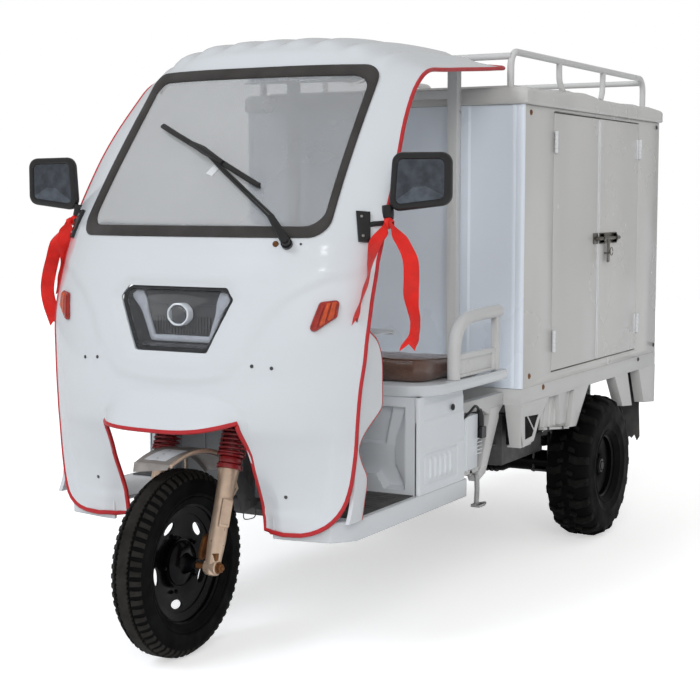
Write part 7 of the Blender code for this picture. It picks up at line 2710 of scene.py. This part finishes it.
def brake_pedal():
    x = 0.462
    shaft = Vector((0.400, 0.930, 0.412))
    pull = shaft + Vector((0.0, -0.006, 0.060))
    lever = smooth_line([(x, 0.930, 0.412), (x + 0.004, 0.985, 0.404), (x + 0.006, 0.996, 0.360),
                         (x + 0.006, 0.992, 0.304)], 18)
    shapes = [swept(lever, 0.0085, 12, flat=0.8),
              rod((x - 0.150, 0.930, 0.412), (x + 0.014, 0.930, 0.412), 0.0105, 16),
              rod((x + 0.006, 0.975, 0.302), (x + 0.006, 1.062, 0.292), 0.0055, 10),
              rod(shaft, pull, 0.006, 10),
              rod(pull, (shaft.x, 1.310, 0.446), 0.005, 10),
              block((x - 0.008, x + 0.024), (0.978, 1.024), (0.292, 0.301))]
    piece("brake_pedal", shapes, "plated_steel", "vehicle", ["brake_linkage"],
          0.0010)


brake_pedal()

# %% [markdown]
# The rear axle is a tube with a reduction case and a motor beside it, on two leaf springs.
# A leaf spring is a stack of thin curved strips, each shorter than the one above.

# %% Rear axle and leaf springs
AXLE_Z = REAR_RADIUS


def rear_axle():
    tube = [(0.0010, -0.385), (0.048, -0.385), (0.050, -0.378), (0.050, -0.355), (0.0410, -0.350),
            (0.0410, -0.130), (0.040, -0.118), (0.060, -0.104), (0.066, -0.090), (0.066, -0.030),
            (0.058, -0.020), (0.054, 0.120), (0.048, 0.132), (0.044, 0.140), (0.0410, 0.150),
            (0.0410, 0.350), (0.050, 0.355), (0.050, 0.378), (0.048, 0.385), (0.0010, 0.385)]
    shapes = [turned(tube, (0, AXLE_Y, AXLE_Z), "X", 40),
              rod((-0.5258, AXLE_Y, AXLE_Z), (0.5258, AXLE_Y, AXLE_Z), 0.0150, 24)]
    for x in (-0.010, 0.010, 0.030, 0.050, 0.070, 0.090):
        fin = [(0.050, x), (0.0600, x + 0.001), (0.0600, x + 0.005), (0.050, x + 0.006)]
        shapes.append(turned(fin, (0, AXLE_Y, AXLE_Z), "X", 40))
    bolt = nut((-0.101, 0.0, 0.052), (-1, 0, 0), 0.007, 0.006)
    shapes += at([round_axle([bolt], 8, 0.2, "dark_steel")], (0, AXLE_Y, AXLE_Z))
    piece("rear_axle_housing", shapes, "wheel_black", "vehicle", ["rear_axle"],
          smooth=math.radians(45))


def leaf_spring(side, word):
    """The stack of leaves with its eyes, hangers and the bolts that hold the axle."""
    low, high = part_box("leaf_spring_" + word)
    x, wide = 0.290, 0.024
    front, rear = low.y - AXLE_SHIFT.y, high.y - AXLE_SHIFT.y
    eye_z = high.z - 0.022
    shapes = []
    for leaf, share in enumerate((1.0, 0.86, 0.70, 0.52, 0.34)):
        half = (rear - front) / 2 * share
        middle = (rear + front) / 2
        rings = []
        for i in range(25):
            s = -1 + 2 * i / 24
            sag = 0.120 * (1 - (s * share) ** 2)
            y, z = middle + s * half, eye_z - sag - leaf * 0.0085
            rings.append([Vector((x - wide, y, z)), Vector((x + wide, y, z)),
                          Vector((x + wide, y, z - 0.0072)), Vector((x - wide, y, z - 0.0072))])
        shapes.append(capped_sheet(rings))
    for y in (front + 0.012, rear - 0.012):
        shapes.append(turned([(0.008, -0.026), (0.017, -0.026), (0.017, 0.026), (0.008, 0.026)],
                             (x, y, eye_z), "X", 20))
        shapes.append(rod((x - 0.034, y, eye_z), (x + 0.034, y, eye_z), 0.0078, 12))
        hanger = rounded([(y - 0.020, eye_z - 0.016), (y + 0.020, eye_z - 0.016),
                          (y + 0.020, 0.598), (y - 0.020, 0.598)], 0.008, 3)
        for plate_x in (x - 0.032, x + 0.029):
            shapes.append(slab(hanger, "YZ", plate_x, plate_x + 0.003))
    for y in (AXLE_Y - 0.034, AXLE_Y + 0.034):
        for bolt_x in (x - 0.030, x + 0.030):
            shapes.append(rod((bolt_x, y, AXLE_Z - 0.040), (bolt_x, y, AXLE_Z + 0.120),
                              0.0058, 10))
    shapes.append(block((x - 0.038, x + 0.038), (AXLE_Y - 0.045, AXLE_Y + 0.045),
                        (AXLE_Z - 0.036, AXLE_Z - 0.028)))
    piece("leaf_spring_stack_" + word, [on_side(joined(shapes), side)], "dark_steel", "vehicle",
          ["leaf_spring_" + word], 0.0006)


rear_axle()
both_sides(leaf_spring)
from_node("chassis_frame", "dark_steel", 0.0030)

# %% [markdown]
# The mud flaps are rubber with a frayed lower edge and a steel strip with three rivets.
# The tail lamps are shallow boxes with three coloured fields inside a black rim.

# %% Mud flaps and tail lamps
FLAP_TEETH = 9


def mud_flap(side, word):
    rear = 2.6056
    outline = [(0.385, 0.598), (0.385, 0.420)]
    for i in range(FLAP_TEETH + 1):
        x = 0.385 + 0.100 * i / FLAP_TEETH
        outline.append((x, 0.286 + (0.016 if i % 2 else 0.0) - 0.006 * math.sin(i * 1.7)))
    outline += [(0.480, 0.420), (0.480, 0.598)]
    flap = slab(outline, "XZ", rear, rear + 0.006)
    strip = block((0.385, 0.480), (rear - 0.003, rear), (0.560, 0.585))
    rivets = heads([(x, rear - 0.003, 0.5725) for x in (0.400, 0.4325, 0.465)], 0.006, "Y",
                   "dark_steel", -1)
    piece("mud_flap_rubber_" + word, [on_side(flap, side)], "floor_rubber", "vehicle",
          ["mud_flap_" + word], 0.0010)
    piece("mud_flap_strip_" + word, [on_side(joined([strip, rivets]), side)], "dark_steel",
          "vehicle")


def tail_lamp(side, word):
    low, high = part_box("tail_lamp_" + word)
    y0, y1 = low.y - AXLE_SHIFT.y, high.y - AXLE_SHIFT.y
    corners = ((0.370, low.z), (0.500, low.z), (0.500, high.z), (0.370, high.z))
    rings = []
    for by, y in ((0.002, y0), (0.0, y0 + 0.003), (0.0, y1 - 0.012), (0.002, y1 - 0.008),
                  (0.005, y1 - 0.008), (0.006, y1 - 0.012)):
        rings.append([Vector((x, y, z)) for x, z in rounded(inset(corners, by), 0.007, 4)])
    piece("tail_lamp_case_" + word, [on_side(capped_sheet(rings), side)], "black_plastic",
          "vehicle", ["tail_lamp_" + word])
    fields = (("stop", "signal_dark", 0.377, 0.414), ("turn", "signal_amber", 0.416, 0.454),
              ("reverse", "label_paper", 0.456, 0.493))
    for part, finish_name, x0, x1 in fields:
        bottom, top = low.z + 0.007, high.z - 0.007
        box = ((x0, bottom), (x1, bottom), (x1, top), (x0, top))
        rings = [[Vector((x, y, z)) for x, z in rounded(inset(box, by), 0.004, 3)]
                 for by, y in ((0.0, y1 - 0.013), (0.0, y1 - 0.005), (0.002, y1 - 0.002),
                               (0.008, y1 - 0.0008))]
        piece("tail_" + part + "_" + word, [on_side(capped_sheet(rings), side)], finish_name,
              "vehicle")


both_sides(mud_flap, tail_lamp)
